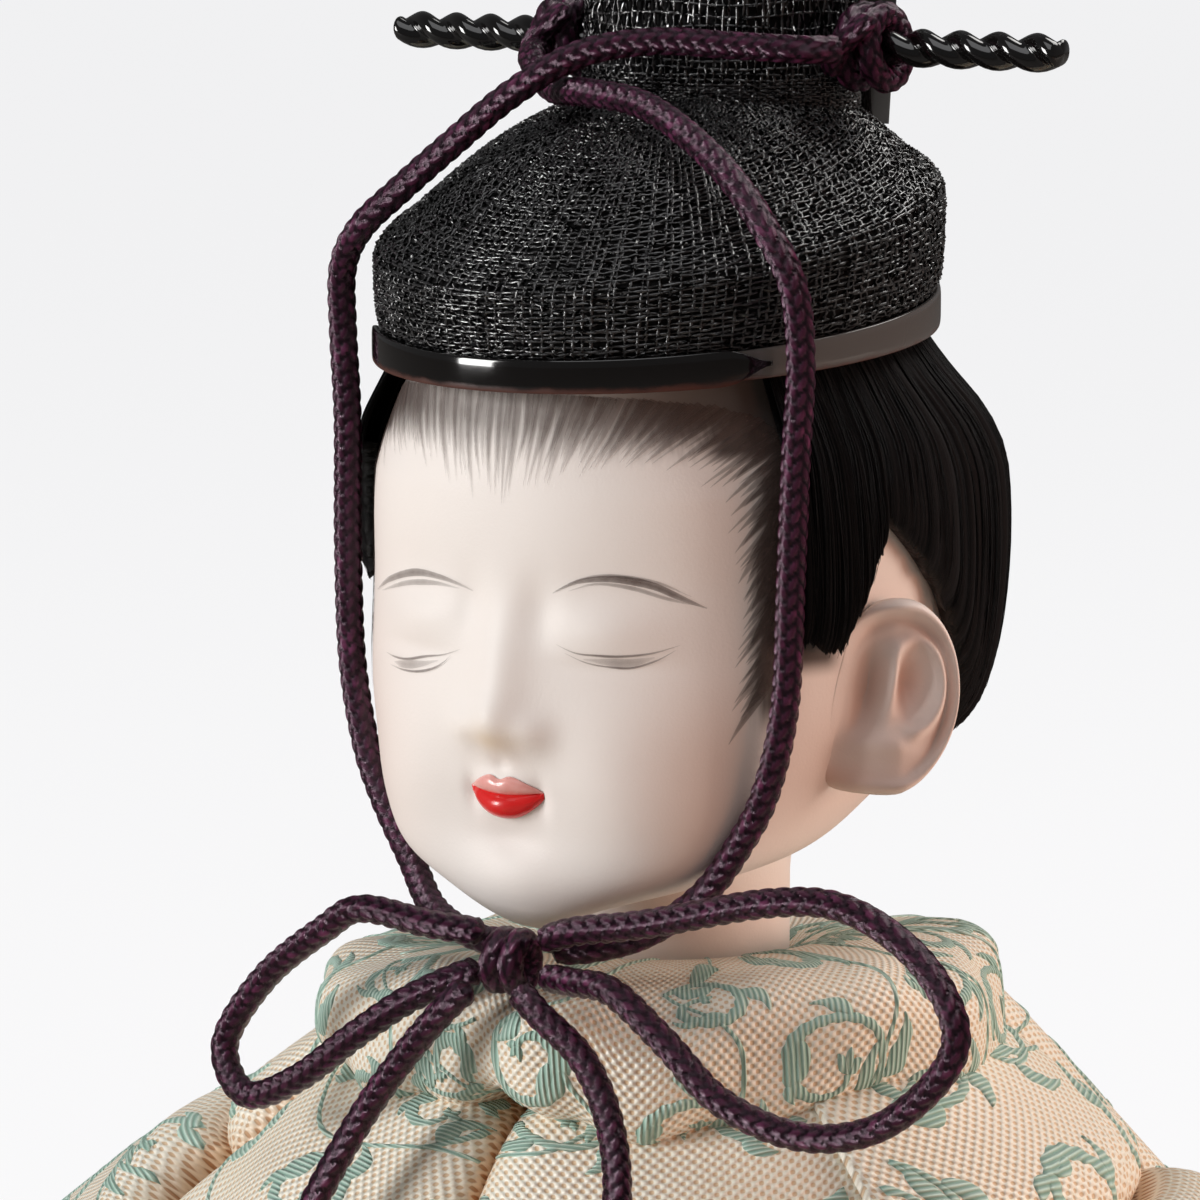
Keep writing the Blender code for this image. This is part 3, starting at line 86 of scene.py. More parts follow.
def smooth_read(table, places):
    """Values of a smooth curve through (place, value) rows: cubic pieces whose slope at each row is that
    of the line between its neighbours."""
    rows = np.array(table, float)
    x, y = rows[:, 0], rows[:, 1]
    left = np.clip(np.searchsorted(x, places, side="right") - 1, 0, len(x) - 2)
    right = left + 1
    span = x[right] - x[left]
    share = np.clip((places - x[left]) / span, 0, 1)
    before = np.maximum(left - 1, 0)
    after = np.minimum(right + 1, len(x) - 1)
    slope_left = (y[right] - y[before]) / (x[right] - x[before]) * span
    slope_right = (y[after] - y[left]) / (x[after] - x[left]) * span
    return (y[left] * (1 + 2 * share) * (1 - share) ** 2 + slope_left * share * (1 - share) ** 2
            + y[right] * share ** 2 * (3 - 2 * share) + slope_right * share ** 2 * (share - 1))


def smooth_line(points, step):
    """Points about one step apart on a smooth curve through some points, by the length along them."""
    points = np.array(points, float)
    places = np.arange(len(points))
    dense = np.linspace(0, len(points) - 1, (len(points) - 1) * CURVE_STEPS + 1)
    line = np.stack([smooth_read(np.stack([places, column], 1), dense) for column in points.T], 1)
    lengths = lengths_along(line)
    count = max(int(round(lengths[-1] / step)), 3)
    wanted = np.linspace(0, lengths[-1], count + 1)
    return np.stack([np.interp(wanted, lengths, column) for column in line.T], 1), wanted


def lengths_along(line):
    """The length along a line of points up to each of them."""
    return np.concatenate([[0], np.cumsum(np.linalg.norm(np.diff(line, axis=0), axis=1))])


def circle_turns(count):
    """Angles of a full circle in equal steps, in radians."""
    return np.linspace(0, 2 * math.pi, count + 1)[:-1]


def round_end(share):
    """How full a rounded end is, from 0 at its tip to 1 where it is full: a quarter of a circle."""
    return np.sqrt(np.clip(1 - (1 - share) ** 2, 0, 1))


def closed_ends(rings):
    """Rings with their middle repeated before the first and after the last, so that both ends close."""
    ends = rings[[0, -1]].mean(1, keepdims=True) + 0 * rings[[0, -1]]
    return np.concatenate([ends[:1], rings, ends[1:]])


def direction(turn, rise):
    """The direction at so many degrees round from the front and degrees up."""
    turn, rise = math.radians(turn), math.radians(rise)
    return Vector((math.sin(turn) * math.cos(rise), -math.cos(turn) * math.cos(rise), math.sin(rise)))


def unit(vectors):
    """Vectors of length 1."""
    return vectors / np.maximum(np.linalg.norm(vectors, axis=-1, keepdims=True), 1e-12)


def signed_power(values, power):
    """A power that keeps the sign of its base."""
    return np.sign(values) * np.abs(values) ** power


def ease(low, high, values):
    """From 0 at low to 1 at high, with a smooth start and end."""
    share = np.clip((values - low) / (high - low), 0, 1)
    return share * share * (3 - 2 * share)


def swell(values, place, spread):
    """A smooth hill of height 1 at a place, which falls off with the square of the distance."""
    return np.exp(-((values - place) / spread) ** 2)


class Skin:
    """Grid surfaces that together become one piece, with a UV map, finishes and named values per point."""

    def __init__(self):
        self.points, self.faces, self.uvs, self.finishes, self.values = [], [], [], [], []
        self.count = 0

    def add(self, points, wrap=False, finish=0, uv=None, shade=None, keep=None, flip=None, centre=None):
        """A grid of points (rows, columns, 3). wrap joins its last column to the first. uv has a row and, when
        wrapped, a column more than the faces. shade is a value per point, keep a mask of faces. The faces
        turn outward: away from centre, or by the sign of the volume they close."""
        rows, columns = points.shape[:2]
        numbers = np.arange(rows * columns).reshape(rows, columns)
        if wrap:
            numbers = np.concatenate([numbers, numbers[:, :1]], 1)
        quads = np.stack([numbers[:-1, :-1], numbers[:-1, 1:], numbers[1:, 1:], numbers[1:, :-1]], -1)
        if uv is None:
            across = np.linspace(0, 1, numbers.shape[1])
            along = np.linspace(0, 1, rows)
            uv = np.stack(np.broadcast_arrays(across[None, :], along[:, None]), -1)
        corners = np.stack([uv[:-1, :-1], uv[:-1, 1:], uv[1:, 1:], uv[1:, :-1]], -2)
        quads, corners = quads.reshape(-1, 4), corners.reshape(-1, 4, 2)
        if keep is not None:
            quads, corners = quads[keep.reshape(-1)], corners[keep.reshape(-1)]
        flat = points.reshape(-1, 3)
        if flip is None:
            a, b, c, d = (flat[quads[:, k]] for k in range(4))
            normals = np.cross(c - a, d - b)
            middles = (a + b + c + d) / 4
            away = middles - (flat.mean(0) if centre is None else np.array(centre))
            flip = (normals * away).sum() < 0
        if flip:
            quads, corners = quads[:, ::-1], corners[:, ::-1]
        self.points.append(flat)
        self.faces.append(quads + self.count)
        self.uvs.append(corners)
        self.finishes.append(np.full(len(quads), finish))
        self.values.append(np.zeros(len(flat)) if shade is None else np.broadcast_to(shade, points.shape[:2]).ravel())
        self.count += len(flat)

    def piece(self, name, materials, body, replaces=(), slot=None, merge=0.0):
        """The finished object: smooth shaded, riding on its body, with its finishes."""
        points = np.concatenate(self.points)
        faces = np.concatenate(self.faces)
        mesh = bpy.data.meshes.new(name)
        mesh.vertices.add(len(points))
        mesh.vertices.foreach_set("co", points.astype(np.float32).ravel())
        mesh.loops.add(faces.size)
        mesh.loops.foreach_set("vertex_index", faces.astype(np.int32).ravel())
        mesh.polygons.add(len(faces))
        mesh.polygons.foreach_set("loop_start", np.arange(0, faces.size, 4, dtype=np.int32))
        mesh.polygons.foreach_set("material_index", np.concatenate(self.finishes).astype(np.int32))
        mesh.update(calc_edges=True)
        uv_map = mesh.uv_layers.new(name="UVMap")
        uv_map.uv.foreach_set("vector", np.concatenate(self.uvs).astype(np.float32).ravel())
        shade = mesh.attributes.new("shade", "FLOAT", "POINT")
        shade.data.foreach_set("value", np.concatenate(self.values).astype(np.float32))
        mesh.validate()
        mesh.shade_smooth()
        for finish in materials:
            mesh.materials.append(finish)
        made = bpy.data.objects.new(name, mesh)
        bpy.context.scene.collection.objects.link(made)
        if merge:
            weld = made.modifiers.new("weld", "WELD")
            weld.merge_threshold = merge
        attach(made, body)
        if replaces:
            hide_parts(*replaces)
        return made


class Value:
    """A shader socket with the usual operators, each of which adds a Math node."""

    def __init__(self, paint, socket):
        self.paint, self.socket = paint, socket

    def math(self, operation, *others):
        inputs = dict(enumerate((self, *others)))
        return self.paint.node("ShaderNodeMath", {"operation": operation}, inputs)

    def __add__(self, other):
        return self.math("ADD", other)

    def __sub__(self, other):
        return self.math("SUBTRACT", other)

    def __mul__(self, other):
        return self.math("MULTIPLY", other)

    def __truediv__(self, other):
        return self.math("DIVIDE", other)

    def __pow__(self, other):
        return self.math("POWER", other)

    __radd__ = __add__
    __rmul__ = __mul__

    def __rsub__(self, other):
        return self.paint.node("ShaderNodeMath", {"operation": "SUBTRACT"}, {0: other, 1: self})

    def __rtruediv__(self, other):
        return self.paint.node("ShaderNodeMath", {"operation": "DIVIDE"}, {0: other, 1: self})


class Paint:
    """A material that is built up node by node round one Principled shader."""

    def __init__(self, name, **constants):
        self.material = bpy.data.materials.new(name)
        self.material.use_nodes = True
        self.tree = self.material.node_tree
        self.shader = self.tree.nodes["Principled BSDF"]
        for socket, value in constants.items():
            name = socket.replace("_", " ")
            if name == "Base Color" or name.endswith("Tint"):
                value = (*value, 1.0) if len(value) == 3 else value
            self.shader.inputs[name].default_value = value

    def node(self, kind, settings=(), inputs=(), output=0):
        """A node of a type, with its settings and then the values or links of its sockets."""
        made = self.tree.nodes.new(kind)
        for name, value in dict(settings).items():
            if name == "stops":
                ramp = made.color_ramp
                while len(ramp.elements) < len(value):
                    ramp.elements.new(1.0)
                for element, (place, colour) in zip(ramp.elements, value):
                    element.position = place
                    element.color = (*colour, 1.0)
            else:
                setattr(made, name, value)
        for name, value in dict(inputs).items():
            if isinstance(value, Value):
                self.tree.links.new(value.socket, made.inputs[name])
            else:
                made.inputs[name].default_value = value
        return Value(self, made.outputs[output])

    def place(self):
        """The point in the object's own frame, in metres."""
        return self.node("ShaderNodeTexCoord", output="Object")

    def across_and_along(self):
        """The piece's own UV map as two values."""
        return self.parts(self.node("ShaderNodeUVMap", {"uv_map": "UVMap"}))[:2]

    def parts(self, vector):
        """The x, y and z of a vector."""
        split = self.node("ShaderNodeSeparateXYZ", (), {0: vector}).socket.node
        return [Value(self, part) for part in split.outputs]

    def shade(self):
        """The value that each point of the piece carries."""
        return self.node("ShaderNodeAttribute", {"attribute_name": "shade"}, output="Fac")

    def noise(self, scale, vector=None, detail=2.0):
        inputs = {"Scale": scale, "Detail": detail}
        inputs["Vector"] = self.place() if vector is None else vector
        return self.node("ShaderNodeTexNoise", {"noise_dimensions": "3D"}, inputs)

    def stretch(self, vector, scale):
        """A vector with each part multiplied."""
        return self.node("ShaderNodeVectorMath", {"operation": "MULTIPLY"}, {0: vector, 1: scale})

    def mix(self, share, first, second):
        """A colour between two colours."""
        made = self.tree.nodes.new("ShaderNodeMix")
        made.data_type = "RGBA"
        for socket, value in ((0, share), (6, first), (7, second)):
            if isinstance(value, Value):
                self.tree.links.new(value.socket, made.inputs[socket])
            else:
                made.inputs[socket].default_value = value if socket == 0 else (*value, 1.0)
        return Value(self, made.outputs[2])

    def between(self, value, low, high):
        """A value moved smoothly from 0 at low to 1 at high."""
        return self.node("ShaderNodeMapRange", {"interpolation_type": "SMOOTHSTEP"},
                         {"Value": value, "From Min": low, "From Max": high})

    def link(self, socket, value):
        self.tree.links.new(value.socket, self.shader.inputs[socket])

    def bump(self, height, distance, strength=1.0):
        made = self.node("ShaderNodeBump", (), {"Height": height, "Distance": distance, "Strength": strength})
        self.link("Normal", made)


# Camera, floor and lights
CAMERA_AZIMUTH = 33.5
CAMERA_ELEVATION = 8.9
CAMERA_DISTANCE = 0.375
CAMERA_FOCUS_SHARE = 4.747
CAMERA_RIGHT = -0.0052
CAMERA_ABOVE_CHIN = 0.01783
SENSOR_WIDTH = 0.036
FLOOR_RADIUS = 3.0
FLOOR_CORNERS = 64


def view_axes():
    """The camera's own directions: back towards it, right and up."""
    turn = math.radians(CAMERA_AZIMUTH)
    back = direction(CAMERA_AZIMUTH, CAMERA_ELEVATION)
    right = Vector((math.cos(turn), math.sin(turn), 0))
    return back, right, back.cross(right)


def make_camera():
    """The camera at the photograph's angle, distance and framing."""
    back, right, _ = view_axes()
    aim = Vector((0, 0, CHIN_HEIGHT + CAMERA_ABOVE_CHIN)) + right * CAMERA_RIGHT
    data = bpy.data.cameras.new("camera")
    data.sensor_width = SENSOR_WIDTH * 1000
    data.lens = data.sensor_width * CAMERA_FOCUS_SHARE
    data.clip_start = CAMERA_DISTANCE / 20
    data.clip_end = FLOOR_RADIUS * 4
    camera = bpy.data.objects.new("camera", data)
    bpy.context.scene.collection.objects.link(camera)
    camera.rotation_mode = "QUATERNION"
    camera.rotation_quaternion = (-back).to_track_quat("-Z", "Y")
    camera.location = aim + back * CAMERA_DISTANCE
    bpy.context.scene.camera = camera


def add_light(name, place, aim, size, power, colour=(1.0, 1.0, 1.0)):
    """A soft rectangular lamp aimed at a point."""
    data = bpy.data.lights.new(name, "AREA")
    data.shape = "RECTANGLE"
    data.size, data.size_y = size
    data.energy = power
    data.color = colour
    lamp = bpy.data.objects.new(name, data)
    bpy.context.scene.collection.objects.link(lamp)
    lamp.location = place
    lamp.rotation_mode = "QUATERNION"
    lamp.rotation_quaternion = (Vector(aim) - Vector(place)).to_track_quat("-Z", "Y")
    return lamp


# Lamps by degrees round from the camera, degrees up and distance: then width, height, power and colour
LAMPS = {
    "window": (-72.0, 12.0, 0.62, (0.2, 0.28), 2.95, (1.0, 0.99, 0.975)),
    "top": (-15.0, 66.0, 0.7, (0.5, 0.5), 1.0, (0.98, 0.985, 1.0)),
    "fill": (62.0, -2.0, 0.8, (0.6, 0.5), 2.0, (1.0, 0.3, 0.11)),
    "side": (88.0, 6.0, 0.8, (0.4, 0.5), 4.2, (1.0, 0.89, 0.79)),
    "behind": (132.0, 50.0, 0.8, (0.5, 0.4), 2.6, (1.0, 0.98, 0.95)),
}
UNREFLECTED_LAMPS = ("fill", "side")
BACKDROP = (0.89, 0.89, 0.9)
FLOOR_COLOUR = (0.12, 0.12, 0.12)
FLOOR_GLOW = 0.97
FLOOR_BOUNCE = (0.4, 0.33, 0.27)
FLOOR_MIRRORED = (0.05, 0.045, 0.042)


def make_floor():
    """A wide pale floor. It looks like the backdrop to the camera, lights the doll less, and is dark in
    what it mirrors, so that black lacquer and silk stay black."""
    paint = Paint("floor_paper", Base_Color=FLOOR_COLOUR, Roughness=0.9, Specular_IOR_Level=0.1,
                  Emission_Strength=FLOOR_GLOW)
    seen = paint.node("ShaderNodeLightPath", output="Is Camera Ray")
    mirrored = paint.node("ShaderNodeLightPath", output="Is Glossy Ray")
    bounce = paint.mix(mirrored, FLOOR_BOUNCE, FLOOR_MIRRORED)
    paint.link("Emission Color", paint.mix(seen, bounce, BACKDROP))
    corners = [(FLOOR_RADIUS * math.cos(turn), FLOOR_RADIUS * math.sin(turn), 0)
               for turn in circle_turns(FLOOR_CORNERS)]
    data = bpy.data.meshes.new("floor")
    data.from_pydata(corners, [], [tuple(range(len(corners)))])
    data.materials.append(paint.material)
    floor = bpy.data.objects.new("floor", data)
    bpy.context.scene.collection.objects.link(floor)


def make_lamps(brightness):
    """The lamps round the head."""
    centre = Vector((0, 0, CHIN_HEIGHT))
    for name, (turn, rise, reach, size, power, colour) in LAMPS.items():
        place = centre + direction(CAMERA_AZIMUTH + turn, rise) * reach
        lamp = add_light("lamp_" + name, place, centre, size, power * brightness, colour)
        lamp.visible_glossy = name not in UNREFLECTED_LAMPS


def make_room(colour, light):
    """The pale surroundings: full strength to the camera, and a share of it as light."""
    world = bpy.data.worlds.new("pale room")
    world.use_nodes = True
    tree = world.node_tree
    tree.nodes["Background"].inputs["Color"].default_value = (*colour, 1)
    strength = tree.nodes.new("ShaderNodeMapRange")
    strength.inputs["To Min"].default_value = light
    strength.inputs["To Max"].default_value = 1.0
    camera_ray = tree.nodes.new("ShaderNodeLightPath").outputs["Is Camera Ray"]
    tree.links.new(camera_ray, strength.inputs["Value"])
    tree.links.new(strength.outputs["Result"], tree.nodes["Background"].inputs["Strength"])
    bpy.context.scene.world = world


def make_stage():
    """The pale floor, the lamps and the pale surroundings."""
    looks = bpy.context.scene.hina_stage
    make_floor()
    make_lamps(looks.brightness)
    make_room(looks.room_colour, looks.room_light)
    bpy.context.scene.view_settings.view_transform = "Standard"


# Braided cord
BRAID_STRANDS = 8
BRAID_ROW = 0.00052
BRAID_RELIEF_SHARE = 0.27
BRAID_SWELL_SHARE = 0.05
BRAID_SIDES = 34
BRAID_STEP = 0.00011
CORD_SIDE = (0.12, -1.0, 0.25)
BOW_PLACE_SHARES = (0.11, -1.0865, -0.043)
CORD_ROUTES = {
    "cord_run_right": (
        (0.6359, 0.0385, 1.1553), (0.5652, -0.0865, 1.1574), (0.3533, -0.1731, 1.1617),
        (0.0815, -0.2692, 1.166), (-0.1522, -0.375, 1.1468), (-0.3478, -0.4856, 1.0936),
        (-0.5217, -0.5865, 1.0255), (-0.6848, -0.6635, 0.9617), (-0.8315, -0.6875, 0.9085),
        (-0.9293, -0.6635, 0.8511), (-0.9471, -0.6442, 0.766), (-0.9262, -0.6478, 0.6383),
        (-0.9113, -0.6685, 0.4681), (-0.893, -0.6733, 0.3085), (-0.8288, -0.6829, 0.1915),
        (-0.7309, -0.7059, 0.117), (-0.5696, -0.7596, 0.0418), (-0.3839, -0.875, -0.0085),
        (-0.1483, -0.9715, -0.0285), (0.023, -0.9808, -0.0323),
    ),
    "cord_run_left": (
        (-0.6359, 0.0385, 1.1404), (-0.5652, -0.0865, 1.1298), (-0.3533, -0.25, 1.0957),
        (-0.1087, -0.4038, 1.0979), (0.1739, -0.4808, 1.0896), (0.4239, -0.5721, 1.0585),
        (0.6739, -0.6587, 1.0052), (0.837, -0.6827, 0.9386), (0.9293, -0.6587, 0.8641),
        (0.9511, -0.6442, 0.766), (0.9402, -0.6538, 0.6383), (0.9293, -0.6635, 0.4681),
        (0.913, -0.6683, 0.3085), (0.8478, -0.6779, 0.1915), (0.7609, -0.7019, 0.117),
        (0.6396, -0.7596, 0.0418), (0.4839, -0.865, -0.0085), (0.3183, -0.9515, -0.0285),
        (0.197, -0.9808, -0.0323),
    ),
    "bow_loop_left": (
        (0.0022, 0.0003, 0.0015), (0.0052, -0.0004, 0.0026), (0.0102, -0.0002, 0.0036),
        (0.0186, 0.001, 0.0057), (0.0236, 0.0018, 0.0057), (0.0282, 0.0024, 0.0031),
        (0.0308, 0.0024, -0.0007), (0.0301, 0.0018, -0.0039), (0.0264, 0.0006, -0.0073),
        (0.0216, -0.0006, -0.0082), (0.0166, -0.0016, -0.0065), (0.0128, -0.002, -0.0032),
        (0.0088, -0.0018, -0.0006), (0.0052, -0.0008, -0.0006), (0.0024, 0.0002, -0.0008),
    ),
    "bow_loop_right": (
        (-0.0022, 0.0003, 0.0015), (-0.006, -0.0006, 0.0018), (-0.011, -0.0008, 0.0022),
        (-0.0141, -0.0006, 0.0005), (-0.0192, -0.0002, -0.0034), (-0.0222, -0.0006, -0.0081),
        (-0.0196, -0.0018, -0.0109), (-0.015, -0.0024, -0.0091), (-0.0106, -0.0024, -0.0058),
        (-0.0072, -0.0018, -0.0033), (-0.0044, -0.0008, -0.0017), (-0.0024, 0.0002, -0.0008),
    ),
    "cord_tail_left": (
        (0.0018, -0.0019, -0.0013), (0.004, -0.0028, -0.0024), (0.0076, -0.0034, -0.0046),
        (0.0102, -0.0044, -0.0078), (0.0122, -0.0064, -0.0118), (0.0133, -0.0094, -0.0164),
        (0.0139, -0.0132, -0.022), (0.014, -0.017, -0.028), (0.0138, -0.021, -0.0345),
    ),
    "cord_tail_right": (
        (-0.0018, -0.0019, -0.0014), (-0.0036, -0.0028, -0.0034), (-0.0062, -0.0033, -0.0066),
        (-0.0086, -0.0044, -0.0105), (-0.0101, -0.0072, -0.0153), (-0.0108, -0.011, -0.0208),
        (-0.0106, -0.015, -0.0265), (-0.0102, -0.0194, -0.033),
    ),
}
CORDS_ON_HEAD = ("cord_run_right", "cord_run_left")


def on_head(shares):
    """Points given by shares of the head's half width, the face's depth and the head's height."""
    return np.array(shares, float) * (HEAD_HALF_WIDTH, FACE_DEPTH, HEAD_HEIGHT) + (0, 0, CHIN_HEIGHT)


def cord_route(name):
    """A cord's route in metres: runs are measured on the head, loops and tails from the bow's knot."""
    if name in CORDS_ON_HEAD:
        return on_head(CORD_ROUTES[name])
    return np.array(CORD_ROUTES[name]) + on_head(BOW_PLACE_SHARES)


def side_axes(line, side):
    """Two directions square to a line of points, the first as near as may be to a given side."""
    along = unit(np.gradient(line, axis=0))
    first = unit(side - (along * side).sum(-1, keepdims=True) * along)
    return first, np.cross(along, first)


def braid_relief(turns, places):
    """Height and stitch brightness of a round braid: strands of two families wind opposite ways, and each
    passes over two and under two of the other, as a cosine whose period is four crossings."""
    around = turns / (2 * math.pi) * BRAID_STRANDS
    first = around + places / BRAID_ROW / 2
    second = around - places / BRAID_ROW / 2
    heights = []
    for own, other, sign in ((first, second, 1), (second, first, -1)):
        strand = np.floor(own)
        profile = np.sqrt(np.clip(1 - (2 * (own - strand) - 1) ** 2, 0, 1))
        wave = sign * np.cos(math.pi / 2 * (other + strand))
        heights.append(profile * 0.75 + 0.6 * wave)
    return np.maximum(*heights) / 1.35


def braided_tube(skin, line, lengths, radius, side, finish=0, closed=False):
    """A braid along a line: rings round it whose radius follows the braid's relief, closed at both ends."""
    first, second = side_axes(line, np.array(side, float))
    turns = np.arange(BRAID_SIDES) * 2 * math.pi / BRAID_SIDES
    relief = braid_relief(turns[None, :], lengths[:, None])
    reach = radius * (1 + BRAID_SWELL_SHARE - BRAID_RELIEF_SHARE + BRAID_RELIEF_SHARE * relief)
    ends = np.ones(len(line)) if closed else np.sqrt(np.clip(np.minimum(
        np.arange(len(line)), np.arange(len(line))[::-1]) / 5, 0, 1))
    reach = reach * ends[:, None]
    points = (line[:, None, :] + reach[..., None] * (np.cos(turns)[None, :, None] * first[:, None, :]
                                                     + np.sin(turns)[None, :, None] * second[:, None, :]))
    uv = np.stack(np.broadcast_arrays(np.linspace(0, 1, BRAID_SIDES + 1)[None, :],
                                      (lengths / (2 * math.pi * radius))[:, None]), -1)
    skin.add(points, wrap=True, finish=finish, uv=uv, shade=np.clip(relief, 0, 1), flip=True)


def cord_paint():
    """Aubergine silk: nearly black painted shade between the stitches, plum on their crowns with painted glints, and
    fine threads.
    """
    looks = bpy.context.scene.hina_colours
    paint = Paint("braided_silk", Roughness=0.2, Specular_IOR_Level=0.75, Specular_Tint=(1.0, 0.7, 0.88))
    height = paint.between(paint.shade(), 0.5, 0.98)
    patch = paint.noise(900.0, detail=3.0)
    # Painted shade: between the stitches the cord's colour is darkened almost to black.
    dark = tuple(part * 0.05 for part in looks.cord)
    # Painted glints: patches three times as bright as the cord's colour on the stitches' crowns.
    bright = tuple(min(part * 3.0, 1) for part in looks.cord)
    base = paint.mix(height, dark, tuple(looks.cord))
    paint.link("Base Color", paint.mix(paint.between(patch, 0.5, 0.75) * height, base, bright))
    paint.link("Roughness", 0.14 + 0.16 * patch)
    across, along = paint.across_and_along()
    threads = ((across + along) * 320.0).math("SINE")
    paint.bump(threads * 0.5 + patch, 0.000018)
    return paint.material


def make_cords():
    """The two runs, the bow's loops and its tails, each a braid along the route that its CAD tube follows."""
    finish = cord_paint()
    for name in CORD_ROUTES:
        line, lengths = smooth_line(cord_route(name), BRAID_STEP)
        skin = Skin()
        braided_tube(skin, line, lengths, CORD_RADIUS, CORD_SIDE)
        piece = skin.piece(name + "_braid", [finish], "head", [name], "cord")


# Head: swellings across, up, spread across, spread up and height, as shares of half width, height and depth
FEATURE_SHARES = (
    (0.0, 0.268, 0.1, 0.04, 0.056), (0.0, 0.345, 0.1, 0.085, 0.034), (0.14, 0.262, 0.07, 0.028, 0.03),
    (0.0, 0.3, 0.2, 0.09, 0.026), (0.62, 0.105, 0.3, 0.085, 0.04),
    (0.0, 0.188, 0.11, 0.018, 0.03), (0.0, 0.157, 0.085, 0.016, 0.034), (0.0, 0.06, 0.2, 0.045, 0.035),
    (0.46, 0.2, 0.27, 0.1, 0.045), (0.40, 0.41, 0.27, 0.07, -0.036), (0.395, 0.402, 0.19, 0.042, 0.05),
    (0.39, 0.355, 0.18, 0.012, -0.007), (0.0, 0.215, 0.03, 0.014, -0.012), (0.14, 0.172, 0.032, 0.024, -0.016),
    (0.14, 0.425, 0.07, 0.045, -0.014), (0.0, 0.115, 0.12, 0.018, -0.012),
)
JAW_SHARE = 0.045
CHIN_DROP = 0.0015
CHIN_SPREAD = 46.0
CHIN_TURN = -4.0
CHIN_SHARE = 0.17
HEAD_COLUMNS = 320
HEAD_ROWS = 260
NECK_RADIUS = 0.0074
NECK_FLARE = 0.0098
NECK_FLARE_RISE = 0.016
PEG_HOLE_RADIUS = 0.0033
EAR_HALF_WIDTH = 0.0041
EAR_HALF_HEIGHT = 0.0063
EAR_THICKNESS = 0.0028
EAR_LEVEL_SHARE = 0.285
EAR_TURN = 72.0
EAR_SINK = 0.0006
EAR_FLARES = {1: 42.0, -1: 22.0}
EAR_LEAN = 12.0
EAR_SEAM = 0.00006
EAR_LOBE_FORWARD = 0.0001
EAR_RAISED = 0.0002


def face_relief(across, up):
    """How far the face stands forward: the sum of swellings, each falling off with the square of the
    distance from its place."""
    total = np.zeros(np.broadcast(across, up).shape)
    for place, level, wide, tall, height in FEATURE_SHARES:
        rise = swell(up / HEAD_HEIGHT, level, tall)
        for sign in ((1, -1) if place else (1,)):
            total = total + height * FACE_DEPTH * rise * swell(across / HEAD_HALF_WIDTH, sign * place, wide)
    return total


def outline_angle(level):
    """The angle from the chin over the head that a share of its height stands for."""
    return np.arccos(np.clip(1 - 2 * level, -1, 1)) / math.pi


def head_shape(level):
    """Half width, middle, depth and squareness of the head at a share of its height."""
    rise = outline_angle(level)
    width, face, skull = (
        smooth_read([(outline_angle(np.array(place)), value) for place, value in shares], rise)
        for shares in (WIDTH_SHARES, FACE_SHARES, SKULL_SHARES))
    front, back = face * FACE_DEPTH, skull * SKULL_DEPTH
    first, last = ROUND_CROWN_SHARES
    square = HEAD_SQUARE_SHARE + (1 - HEAD_SQUARE_SHARE) * np.clip((level - first) / (last - first), 0, 1)
    return width * HEAD_HALF_WIDTH, (back - front) / 2, (back + front) / 2, square


def head_surface(turn, level):
    """Points of the head: a squarish oval at each level, with the face's relief added in front."""
    turn, level = np.broadcast_arrays(turn, level)
    half_width, middle, deep, square = head_shape(level)
    x = half_width * signed_power(np.sin(turn), square) * (1 + JAW_SHARE * swell(level, 0.1, 0.09))
    y = middle - deep * signed_power(np.cos(turn), square)
    relief = face_relief(x, level * HEAD_HEIGHT) * np.clip(np.cos(turn) * 2, 0, 1)
    lowered = np.clip(1 - level / CHIN_SHARE, 0, 1) ** 1.4 * swell(np.degrees(turn), CHIN_TURN, CHIN_SPREAD)
    return np.stack([x, y - relief, CHIN_HEIGHT + level * HEAD_HEIGHT - CHIN_DROP * lowered], -1)


def head_out(turn, level):
    """The outward direction of the head's surface."""
    step = 0.004
    round_way = head_surface(turn + step, level) - head_surface(turn - step, level)
    up_way = head_surface(turn, level + step) - head_surface(turn, level - step)
    return unit(np.cross(round_way, up_way))


def face_turn(across, level):
    """The turn at which the face is a distance across from its middle line."""
    half_width, _, _, square = head_shape(level)
    share = np.clip(np.abs(across) / half_width, 0, 1)
    return np.sign(across) * np.arcsin(share ** (1 / square))


def on_face(across, up, lift):
    """Points a little off the face, by distances across from its middle line and up from the chin."""
    across, up = np.broadcast_arrays(across, up)
    level = up / HEAD_HEIGHT
    turn = face_turn(across, level)
    return head_surface(turn, level) + head_out(turn, level) * np.asarray(lift)[..., None]


